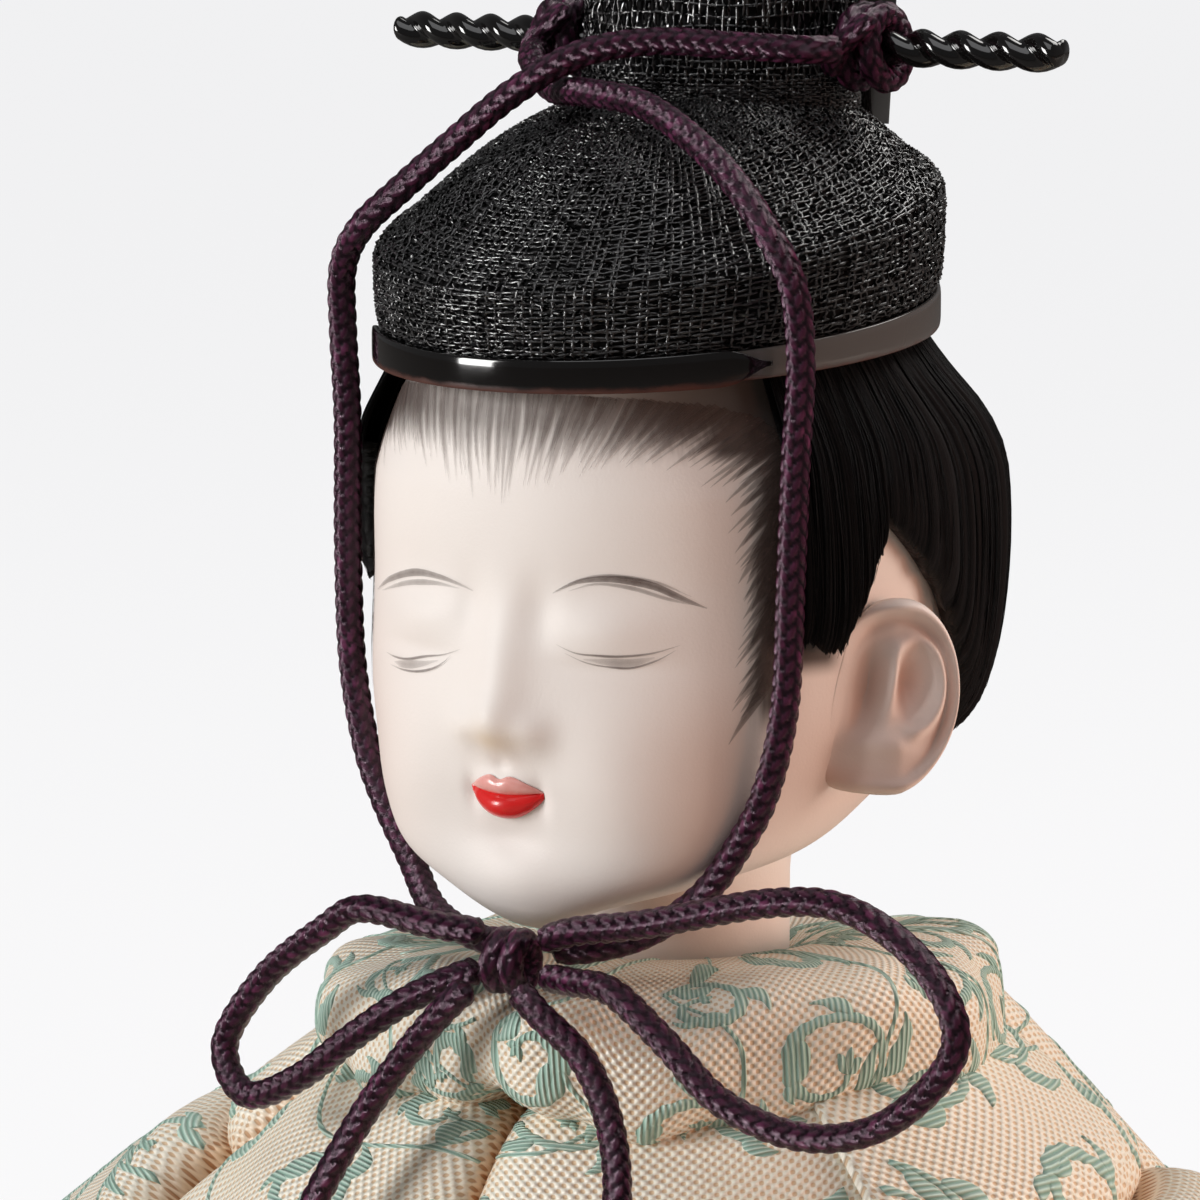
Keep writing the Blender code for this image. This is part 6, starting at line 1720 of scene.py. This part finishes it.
def make_under_layers():
    """Hakama, sleeve linings and under sleeves."""
    # The second colour of each silk is its painted shade.
    hakama_silk = plain_silk("hakama_silk", (0.33, 0.27, 0.42), (0.13, 0.09, 0.19))
    lining_silk = plain_silk("lining_silk", (0.36, 0.55, 0.47), (0.12, 0.24, 0.2))
    white_silk = plain_silk("under_sleeve_silk", (0.86, 0.84, 0.8), (0.55, 0.5, 0.45))
    for side, sign in (("left", 1), ("right", -1)):
        hakama = Panel(lambda row: both(0.0, HAKAMA_END, sign), lambda turn: (hakama_row(turn), LAST_ROW),
                       0.0085, (), ("first",),
                       lambda across, along, width, length: -0.0012 * np.abs(np.sin(across / 0.0032)) ** 6)
        cloth_piece("hakama_" + side + "_padded", [hakama], [hakama_silk], ["hakama_" + side], "hakama", False)
        lining = Panel(lambda row: both(armhole_turn(row) - LINING_TURN, armhole_turn(row), sign),
                       lambda turn: (CHEST_ROW, HAKAMA_TOP_ROW), 0.0038)
        cloth_piece("lining_" + side, [lining], [lining_silk], ["sleeve_lining_" + side], "lining", False)
        under = Panel(lambda row: both(armhole_turn(row) - 2 * LINING_TURN, armhole_turn(row) - LINING_TURN, sign),
                      lambda turn: (CHEST_ROW, HAKAMA_TOP_ROW), 0.0026)
        cloth_piece("under_sleeve_" + side + "_padded", [under], [white_silk], ["under_sleeve_" + side],
                    "under_sleeve", False)


# Collar
COLLAR_BORE = 0.0085
COLLAR_HALF_WIDTH = 0.0224
COLLAR_HALF_DEPTH = 0.0214
COLLAR_SETBACK = -0.0012
COLLAR_TOP_FRONT = 0.0034
COLLAR_TOP_LEFT = 0.0037
COLLAR_TOP_RIGHT = 0.0012
COLLAR_TOP_BACK = 0.0016
COLLAR_BOTTOMS = (-0.0062, -0.0058, -0.0046)
COLLAR_SQUARE_SHARE = 0.68
COLLAR_FULL_SHARE = 1.06


class Roll(Panel):
    """The collar as a padded roll: a rounded section carried round the neck, with pulled folds at the front."""

    def __init__(self):
        turn = np.linspace(0, 2 * math.pi, 331)[:, None]
        part = np.linspace(0, 2 * math.pi, 97)[None, :] + math.pi
        turn, part = np.broadcast_arrays(turn, part)
        side = np.sin(turn) ** 2
        ahead = np.cos(turn) > 0
        beside = np.where(np.sin(turn) > 0, COLLAR_TOP_LEFT, COLLAR_TOP_RIGHT)
        top = beside * side + np.where(ahead, COLLAR_TOP_FRONT, COLLAR_TOP_BACK) * (1 - side)
        low = COLLAR_BOTTOMS[1] * side + np.where(ahead, COLLAR_BOTTOMS[0], COLLAR_BOTTOMS[2]) * (1 - side)
        x = COLLAR_HALF_WIDTH * np.sin(turn)
        y = COLLAR_SETBACK - COLLAR_HALF_DEPTH * np.cos(turn)
        length = np.hypot(x, y)
        middle, half = (COLLAR_BORE + length) / 2, (length - COLLAR_BORE) / 2 * COLLAR_FULL_SHARE
        way = np.degrees(np.where(turn > math.pi, turn - 2 * math.pi, turn))
        outer = np.clip(np.cos(part), 0, 1)
        under = np.clip(-np.sin(part), 0, 1)
        pull = -0.0026 * np.exp(-((way - 1.0) / 5.5) ** 2) * (0.2 + under)
        pull = pull - 0.0014 * under * (swell(way, 17.0, 4.5) + swell(way, -19.0, 5.0) + 0.7 * swell(way, 38.0, 6.0))
        fold = 0.0006 * np.cos((np.abs(way) - 34 * under) / 9.5) * np.exp(-(way / 52) ** 2) * (0.3 + under)
        dents = 0.0007 * np.sin(way / 11.0 + 2.0 * np.sin(part)) + 0.00025 * np.sin(way / 4.3 - 3 * part)
        extra = (pull + fold + dents) * outer ** 0.5
        out = middle + half * signed_power(np.cos(part), COLLAR_SQUARE_SHARE) + extra * np.cos(part)
        rise = (top + low) / 2 + (top - low) / 2 * COLLAR_FULL_SHARE * signed_power(np.sin(part), COLLAR_SQUARE_SHARE)
        rise = rise + extra * np.sin(part)
        self.points = np.stack([x / length * out, y / length * out, BODY_HEIGHT + rise], -1)
        rounds = np.linalg.norm(np.diff(self.points, axis=1), axis=2)
        from_low = np.concatenate([np.zeros((len(rounds), 1)), np.cumsum(rounds, 1)], 1)
        self.widths = rounds.sum(1)
        steps = np.linalg.norm(np.diff(self.points[:, 48], axis=0), axis=1)
        along = np.concatenate([[0], np.cumsum(steps)])
        self.lengths = np.full(97, along[-1])
        self.uv = np.stack(np.broadcast_arrays(from_low - self.widths[:, None] / 2, along[:, None]), -1)
        # Painted shade: where the roll turns under towards the chest it is marked less full, and so darker.
        self.full = 1 - 0.9 * np.clip(-np.sin(part) - 0.55, 0, 1) * 2 * (np.cos(part) > -0.5)
        self.outward = unit(np.cross(np.gradient(self.points, axis=0), np.gradient(self.points, axis=1)))
        heart = np.stack([x / length * middle, y / length * middle, BODY_HEIGHT + (top + low) / 2], -1)
        self.outward *= np.sign((self.outward * (self.points - heart)).sum(-1).mean())

    def add_to(self, skin, finish=0):
        skin.add(self.points, finish=finish, uv=self.uv, shade=np.clip(1 - self.full, 0, 1))


def make_collar():
    """The padded collar roll."""
    skin = Skin()
    roll = Roll()
    roll.add_to(skin)
    add_scrolls(skin, roll, 1, np.random.default_rng(SCROLL_SEED), 0.0112)
    made = skin.piece("brocade_collar", [bpy.data.materials["cream_brocade"], bpy.data.materials["mint_satin_stitch"]],
                      "robe", ["collar_roll"], "brocade", merge=0.000002)


# Tail of the cap
TAIL_WIDTH = 0.0095
TAIL_TIP_WIDTH = 0.0125
TAIL_THICKNESS = 0.0009
TAIL_LENGTH = 0.054
TAIL_LEAN = 6.0
TAIL_CURVE_SHARE = 0.06
TAIL_WARPS = 26
TAIL_WEFTS = 112
SOCKET_WALL = 0.0008
SOCKET_HEIGHT = 0.009
SOCKET_FLARE_SHARE = 0.3
SOCKET_ROUND = 0.0002
SOCKET_SUNK = 0.0025


def tail_frame():
    """The frame of the cap's upright tail: its foot behind the koji, then the directions up it and back."""
    low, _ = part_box("cap_tail")
    lean = math.radians(TAIL_LEAN)
    setback = KOJI_SETBACK + KOJI_HALF_DEPTH * 1.02 + 2 * GAP + SOCKET_WALL + TAIL_THICKNESS / 2
    foot = np.array(Vector((0, setback, low.z - (SOCKET_WALL + GAP) * math.cos(lean))))
    return foot, np.array((0, math.sin(lean), math.cos(lean))), np.array((0, math.cos(lean), -math.sin(lean)))


def tail_place(across, along, lift):
    """Points of the tail: a strip that widens and bends back towards its tip, whose tip is rounded."""
    across, along, lift = np.broadcast_arrays(across, along, lift)
    foot, up, back = tail_frame()
    width = TAIL_WIDTH + (TAIL_TIP_WIDTH - TAIL_WIDTH) * along
    crown = np.sqrt(np.clip(1 - (across * 2 - 1) ** 2, 0, 1)) * along ** 6 * TAIL_WIDTH * 0.333
    rise = SOCKET_WALL + GAP + along * TAIL_LENGTH + crown
    bend = lift + TAIL_LENGTH * TAIL_CURVE_SHARE * along ** 2
    x = ((across - 0.5) * width)[..., None] * np.array((1.0, 0, 0))
    return foot + x + rise[..., None] * up + bend[..., None] * back


def socket_rings():
    """Rings of the tail's socket: up its outside, over a rounded lip and down its slot, in a rounded oblong."""
    foot, up, back = tail_frame()
    turns = np.linspace(0, 2 * math.pi, 73)[:-1]
    flared = TAIL_WIDTH + (TAIL_TIP_WIDTH - TAIL_WIDTH) * SOCKET_FLARE_SHARE
    half_width = flared / 2 + 2 * GAP + SOCKET_WALL
    half_depth = TAIL_THICKNESS / 2 + 2 * GAP + SOCKET_WALL
    high, low = SOCKET_HEIGHT, SOCKET_WALL
    rows = ((half_depth, -SOCKET_SUNK), (0, -SOCKET_SUNK), (0, high - SOCKET_ROUND), (SOCKET_ROUND, high),
            (SOCKET_WALL - SOCKET_ROUND, high), (SOCKET_WALL, high - SOCKET_ROUND), (SOCKET_WALL, low),
            (half_depth, low))
    across, deep = signed_power(np.sin(turns), 0.3), signed_power(np.cos(turns), 0.3)
    rings = []
    for inset, rise in rows:
        wide = 0 if inset == half_depth else half_width - inset
        spots = across[:, None] * wide * np.array((1.0, 0, 0)) + (deep * (half_depth - inset))[:, None] * back
        rings.append(foot + spots + rise * up)
    return np.array(rings)


def make_tail():
    """The upright gauze tail: warp and weft threads within a lacquered edge."""
    skin = Skin()
    for number in range(TAIL_WARPS):
        along = np.linspace(0.0, 1.0, 113)
        wave = np.cos(math.pi * (along * TAIL_WEFTS + number)) * THREAD_WAVE
        place = 0.03 + 0.94 * number / (TAIL_WARPS - 1)
        flat_thread(skin, tail_place(place, along, wave), tail_frame()[2] + 0 * along[:, None],
                    THREAD_HALF, THREAD_HALF * 0.6, 0.3 + 0.06 * (number % 9))
    across = np.linspace(0.02, 0.98, 53)
    for row in range(TAIL_WEFTS):
        wave = -np.cos(math.pi * (across * TAIL_WARPS + row)) * THREAD_WAVE
        line = tail_place(across, (row + 0.5) / TAIL_WEFTS, wave)
        flat_thread(skin, line, tail_frame()[2] + 0 * across[:, None], THREAD_HALF, THREAD_HALF * 0.6,
                    0.25 + 0.07 * (row % 8))
    edge = [tail_place(0.0, place, 0.0) for place in np.linspace(0, 1, 60)]
    edge += [tail_place(place, 1.0, 0.0) for place in np.linspace(0, 1, 40)[1:]]
    edge += [tail_place(1.0, place, 0.0) for place in np.linspace(1, 0, 60)[1:]]
    line, lengths = smooth_line(np.array(edge)[::3], 0.0006)
    plain_tube(skin, line, TAIL_THICKNESS * 0.42 + 0 * lengths, 12, 1)
    plain_tube(skin, np.stack([tail_place(0.5, place, 0.0) for place in np.linspace(0, 0.97, 60)]),
               np.full(60, 0.00028), 8, 1)
    skin.piece("gauze_tail", [gauze_paint(), lacquer_paint()], "cap_tail", ["cap_tail"], "gauze")


def plain_tube(skin, line, radii, sides, finish=0, shade=0.2, side=(0.3, 0.9, 0.1), squash=1.0):
    """A tube along a line with a radius at each point; where a radius is nothing, the tube is closed."""
    first, second = side_axes(line, np.array(side, float))
    turns = np.arange(sides) * 2 * math.pi / sides
    radii = np.array(radii, float)
    radii[[0, -1]] = 0
    line = line.copy()
    line[0], line[-1] = line[1] - (line[1] - line[0]) * 0.02, line[-2] + (line[-1] - line[-2]) * 0.02
    reach = radii[:, None, None]
    points = line[:, None, :] + reach * (np.cos(turns)[None, :, None] * first[:, None, :]
                                         + np.sin(turns)[None, :, None] * second[:, None, :] * squash)
    skin.add(points, wrap=True, finish=finish, shade=shade, flip=True)


# Hands and baton
HAND_HEIGHT = 0.046
HAND_FORWARD = 0.0502
HAND_OFFSET = 0.0062
PALM_SIZE = (0.0105, 0.0072, 0.0115)
WRIST_RADIUS = 0.0024
WRIST_TURN = 11.0
WRIST_ROW = 5.1
WRIST_LIFT = 0.0056
FINGER_RADIUS = 0.0014
FINGER_REACH = 0.0031
BATON_LENGTH = 0.042
BATON_WIDTH = 0.0062
BATON_TIP_WIDTH = 0.0076
BATON_THICKNESS = 0.0012
BATON_BELOW = 0.0105
BATON_LEAN = 8.0
BATON_ROUND = 0.0004


def hand_place(sign, points):
    """Points in a hand's own frame, whose Z runs up along the baton, put in their place."""
    lean = math.radians(BATON_LEAN)
    points = np.asarray(points, float)
    x, y, z = points[..., 0], points[..., 1], points[..., 2]
    return np.stack([sign * HAND_OFFSET + x, -HAND_FORWARD + y * math.cos(lean) - z * math.sin(lean),
                     HAND_HEIGHT + y * math.sin(lean) + z * math.cos(lean)], -1)


def make_hands():
    """Each hand: a rounded palm and back, four bent fingers that swell a little at two places, a thumb and a wrist."""
    for side, sign in (("left", 1), ("right", -1)):
        skin = Skin()
        turns = np.linspace(0, 2 * math.pi, 61)[:-1][None, :]
        rise = np.linspace(-math.pi / 2, math.pi / 2, 40)[:, None]
        half = np.array(PALM_SIZE) / 2
        palm = np.stack(np.broadcast_arrays(half[0] * signed_power(np.cos(rise), 0.8) * np.cos(turns),
                                            half[1] * signed_power(np.cos(rise), 0.8) * np.sin(turns),
                                            half[2] * np.sin(rise)), -1)
        skin.add(hand_place(sign, palm), wrap=True)
        for number in range(4):
            height = PALM_SIZE[2] * (0.3 - 0.2 * number)
            reach = sign * FINGER_REACH
            route = [(reach * 1.45, -half[1] * 0.2, height + 0.0003), (reach, -half[1] * 0.72, height),
                     (0.0, -half[1] * 0.86, height - 0.0006), (-reach * 0.9, -half[1] * 0.76, height - 0.0013),
                     (-reach * 1.3, -half[1] * 0.4, height - 0.0015)]
            line, lengths = smooth_line(hand_place(sign, route), 0.0003)
            share = lengths / lengths[-1]
            radii = FINGER_RADIUS * (0.92 - 0.22 * share + 0.05 * swell(share, 0.3, 0.06) + 0.05 * swell(share, 0.62, 0.06))
            radii = radii * np.sqrt(np.clip(1 - np.clip((share - 0.9) / 0.1, 0, 1) ** 2, 0, 1))
            plain_tube(skin, line, radii, 18, shade=0.15)
        thumb, lengths = smooth_line(hand_place(sign, [(sign * 0.0032, -0.001, 0.0046), (sign * 0.0014, -0.0026, 0.0058),
                                                       (-sign * 0.0014, -0.0031, 0.0057)]), 0.0003)
        share = lengths / lengths[-1]
        plain_tube(skin, thumb, FINGER_RADIUS * 0.9 * np.sqrt(np.clip(1.02 - share ** 6, 0, 1)), 18, shade=0.2)
        seat = core_place(np.array(sign * WRIST_TURN), np.array(WRIST_ROW))
        cuff = seat + core_out(np.array(sign * WRIST_TURN), np.array(WRIST_ROW)) * WRIST_LIFT
        wrist, lengths = smooth_line([hand_place(sign, (0, 0.001, 0)), cuff], 0.0005)
        plain_tube(skin, wrist, WRIST_RADIUS * np.linspace(1.08, 0.98, len(wrist)), 30)
        skin.piece("hand_" + side + "_painted", [bpy.data.materials["shell_white_paint"]], "robe", ["hand_" + side],
                   "painted_skin")


def wood_paint():
    """Pale straight-grained wood."""
    paint = Paint("baton_wood", Specular_IOR_Level=0.4)
    grain = paint.noise(1.0, paint.stretch(paint.place(), (2600.0, 900.0, 60.0)), 4.0)
    band = paint.noise(1.0, paint.stretch(paint.place(), (520.0, 300.0, 18.0)), 2.0)
    paint.link("Base Color", paint.mix(grain * 0.5 + band * 0.5, (0.62, 0.42, 0.22), (0.83, 0.66, 0.43)))
    paint.link("Roughness", 0.4 + 0.2 * grain)
    paint.bump(grain, 0.00003)
    return paint.material


def make_baton():
    """The flat baton: a board whose section is a rounded rectangle, wider and rounded at its upper end."""
    skin = Skin()
    turns = circle_turns(64)[None, :]
    share = clustered_ends(np.linspace(0, 1, 80))[:, None]
    end = np.clip(np.minimum(share, 1 - share) * BATON_LENGTH / BATON_ROUND, 0, 1)
    inset = BATON_ROUND * (1 - round_end(end))
    width = (BATON_WIDTH + (BATON_TIP_WIDTH - BATON_WIDTH) * share) / 2 - inset
    x = width * signed_power(np.cos(turns), 0.16)
    y = (BATON_THICKNESS / 2 - inset) * signed_power(np.sin(turns), 0.3)
    points = np.stack(np.broadcast_arrays(x, y, share * BATON_LENGTH - BATON_BELOW), -1)
    skin.add(hand_place(-1, closed_ends(points)), wrap=True)
    skin.piece("wooden_baton", [wood_paint()], "baton", ["baton"], "wood")


def clustered_ends(share):
    """Equal steps drawn together towards both ends."""
    return share - np.sin(2 * math.pi * share) / (2 * math.pi) * 0.9


# Pieces that keep their CAD form
def coat(node, paint):
    """Gives a kept CAD node its finish."""
    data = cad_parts[node].data
    data.materials.clear()
    data.materials.append(paint.material)


def core_paint():
    """Pale brown moulded paste."""
    paint = Paint("moulded_core", Specular_IOR_Level=0.2)
    patch = paint.noise(700.0, detail=4.0)
    paint.link("Base Color", paint.mix(patch, (0.42, 0.33, 0.24), (0.58, 0.48, 0.36)))
    paint.link("Roughness", 0.75 + 0.2 * patch)
    paint.bump(patch, 0.0003)
    return paint


def base_paint():
    """Coarse plain cloth."""
    paint = Paint("base_cloth", Specular_IOR_Level=0.3)
    x, y, _ = paint.parts(paint.place())
    weave = ((x * 6000.0).math("SINE") * (y * 6000.0).math("SINE")) * 0.5 + 0.5
    paint.link("Base Color", paint.mix(weave, (0.36, 0.3, 0.22), (0.62, 0.55, 0.43)))
    paint.link("Roughness", 0.85 - 0.15 * weave)
    paint.bump(weave, 0.0001)
    return paint


def peg_paint():
    """Plain wood with its grain upright."""
    paint = Paint("peg_wood", Specular_IOR_Level=0.3)
    grain = paint.noise(1.0, paint.stretch(paint.place(), (2200.0, 2200.0, 90.0)), 4.0)
    paint.link("Base Color", paint.mix(grain, (0.55, 0.38, 0.2), (0.78, 0.6, 0.38)))
    paint.link("Roughness", 0.55 + 0.2 * grain)
    paint.bump(grain, 0.00005)
    return paint


def make_kept():
    """The core, the base's cloth and the wooden peg."""
    coat("body_core", core_paint())
    coat("base_cover", base_paint())
    coat("neck_peg", peg_paint())


# The add-on
class HinaStage(bpy.types.PropertyGroup):
    """Light and surroundings."""
    brightness: bpy.props.FloatProperty(name="Lamp brightness", description="How bright the lamps are",
                                        default=1.0, min=0.0, soft_max=3.0, subtype="FACTOR")
    room_light: bpy.props.FloatProperty(name="Room light", description="How much the pale room lights the doll",
                                        default=0.1, min=0.0, soft_max=3.0, subtype="FACTOR")
    room_colour: bpy.props.FloatVectorProperty(name="Room colour", description="Colour of the room", size=3,
                                               subtype="COLOR", default=(0.89, 0.89, 0.9), min=0, max=1)


class HinaColours(bpy.types.PropertyGroup):
    """Colours of the doll."""
    skin: bpy.props.FloatVectorProperty(name="Skin", description="Shell white paint", size=3, subtype="COLOR",
                                        default=(0.88, 0.83, 0.80), min=0, max=1)
    # The warm colour: rosy paint on cheeks, temples and ears, and painted shade below the chin and in the ears'
    # hollows.
    blush_and_shade: bpy.props.FloatVectorProperty(name="Blush", description="Warm paint on cheeks and ears", size=3,
                                         subtype="COLOR", default=(0.66, 0.36, 0.26), min=0, max=1)
    lips: bpy.props.FloatVectorProperty(name="Lips", description="Lip red", size=3, subtype="COLOR",
                                        default=(0.72, 0.012, 0.012), min=0, max=1)
    ink: bpy.props.FloatVectorProperty(name="Ink", description="Brows, lashes and hairline", size=3,
                                       subtype="COLOR", default=(0.085, 0.058, 0.05), min=0, max=1)
    cord: bpy.props.FloatVectorProperty(name="Cord", description="Braided silk", size=3, subtype="COLOR",
                                        default=(0.046, 0.009, 0.027), min=0, max=1)


class MakeStage(bpy.types.Operator):
    """Make the camera, the floor, the surroundings and the lamps."""
    bl_idname = "hina.stage"
    bl_label = "Camera, floor and lamps"

    def execute(self, context):
        make_camera()
        make_stage()
        return {"FINISHED"}


class MakeCords(bpy.types.Operator):
    """Make the two cord runs, the bow's loops and its tails."""
    bl_idname = "hina.cords"
    bl_label = "Braided cords"

    def execute(self, context):
        make_cords()
        return {"FINISHED"}


class MakeHead(bpy.types.Operator):
    """Make the painted head with its ears and neck."""
    bl_idname = "hina.head"
    bl_label = "Head"

    def execute(self, context):
        make_head()
        return {"FINISHED"}


class MakeFacePaint(bpy.types.Operator):
    """Make the brows, lashes, hairline and lips."""
    bl_idname = "hina.face_paint"
    bl_label = "Painted features"

    def execute(self, context):
        make_face_paint()
        return {"FINISHED"}


class MakeHair(bpy.types.Operator):
    """Make the hair at the back and the lock in front of each ear."""
    bl_idname = "hina.hair"
    bl_label = "Hair"

    def execute(self, context):
        make_hair()
        return {"FINISHED"}


class MakeCap(bpy.types.Operator):
    """Make the cap's woven wall and crown."""
    bl_idname = "hina.cap"
    bl_label = "Gauze cap"

    def execute(self, context):
        make_cap()
        return {"FINISHED"}


class MakeKoji(bpy.types.Operator):
    """Make the gauze hump on the cap."""
    bl_idname = "hina.koji"
    bl_label = "Koji"

    def execute(self, context):
        make_koji()
        return {"FINISHED"}


class MakeHairpin(bpy.types.Operator):
    """Make the twisted hairpin."""
    bl_idname = "hina.hairpin"
    bl_label = "Hairpin"

    def execute(self, context):
        make_hairpin()
        return {"FINISHED"}


class MakeRims(bpy.types.Operator):
    """Make the cap's two lacquer bands."""
    bl_idname = "hina.rims"
    bl_label = "Cap bands"

    def execute(self, context):
        make_rims()
        return {"FINISHED"}


class MakeKnots(bpy.types.Operator):
    """Make the knots on the hairpin and the bow's knot."""
    bl_idname = "hina.knots"
    bl_label = "Knots"

    def execute(self, context):
        make_knots()
        return {"FINISHED"}


class MakeRobe(bpy.types.Operator):
    """Make the padded brocade panels."""
    bl_idname = "hina.robe"
    bl_label = "Robe"

    def execute(self, context):
        make_robe()
        return {"FINISHED"}


class MakeLayers(bpy.types.Operator):
    """Make the hakama, the sleeve linings and the under sleeves."""
    bl_idname = "hina.layers"
    bl_label = "Hakama and linings"

    def execute(self, context):
        make_under_layers()
        return {"FINISHED"}


class MakeCollar(bpy.types.Operator):
    """Make the padded collar roll."""
    bl_idname = "hina.collar"
    bl_label = "Collar"

    def execute(self, context):
        make_collar()
        return {"FINISHED"}


class MakeTail(bpy.types.Operator):
    """Make the cap's upright gauze tail."""
    bl_idname = "hina.tail"
    bl_label = "Cap tail"

    def execute(self, context):
        make_tail()
        return {"FINISHED"}


class MakeHands(bpy.types.Operator):
    """Make the two hands."""
    bl_idname = "hina.hands"
    bl_label = "Hands"

    def execute(self, context):
        make_hands()
        return {"FINISHED"}


class MakeBaton(bpy.types.Operator):
    """Make the wooden baton."""
    bl_idname = "hina.baton"
    bl_label = "Baton"

    def execute(self, context):
        make_baton()
        return {"FINISHED"}


class MakeKept(bpy.types.Operator):
    """Give the core, the base and the peg their finishes."""
    bl_idname = "hina.kept"
    bl_label = "Core, base and peg"

    def execute(self, context):
        make_kept()
        return {"FINISHED"}


PIECES = (MakeStage, MakeCords, MakeHead, MakeFacePaint, MakeHair, MakeCap, MakeKoji, MakeHairpin, MakeRims,
          MakeKnots, MakeRobe, MakeLayers, MakeCollar, MakeTail, MakeHands, MakeBaton, MakeKept)


class HinaPanel(bpy.types.Panel):
    """The doll's colours, its light, and a button for every piece."""
    bl_idname = "VIEW3D_PT_hina"
    bl_label = "Hina doll"
    bl_space_type = "VIEW_3D"
    bl_region_type = "UI"
    bl_category = "Hina doll"

    def draw(self, context):
        for group in (context.scene.hina_stage, context.scene.hina_colours):
            for name in group.__annotations__:
                self.layout.prop(group, name)
        for piece in PIECES:
            self.layout.operator(piece.bl_idname)


CLASSES = (HinaStage, HinaColours, *PIECES, HinaPanel)


def register():
    """Make the settings, the operators and the panel known."""
    for kind in CLASSES:
        bpy.utils.register_class(kind)
    bpy.types.Scene.hina_stage = bpy.props.PointerProperty(type=HinaStage)
    bpy.types.Scene.hina_colours = bpy.props.PointerProperty(type=HinaColours)


def unregister():
    """Take the settings, the operators and the panel away again."""
    del bpy.types.Scene.hina_colours
    del bpy.types.Scene.hina_stage
    for kind in reversed(CLASSES):
        bpy.utils.unregister_class(kind)


def main():
    """Make every piece in order."""
    register()
    for piece in PIECES:
        getattr(bpy.ops.hina, piece.bl_idname.split(".")[1])()


if __name__ == "__main__":
    main()
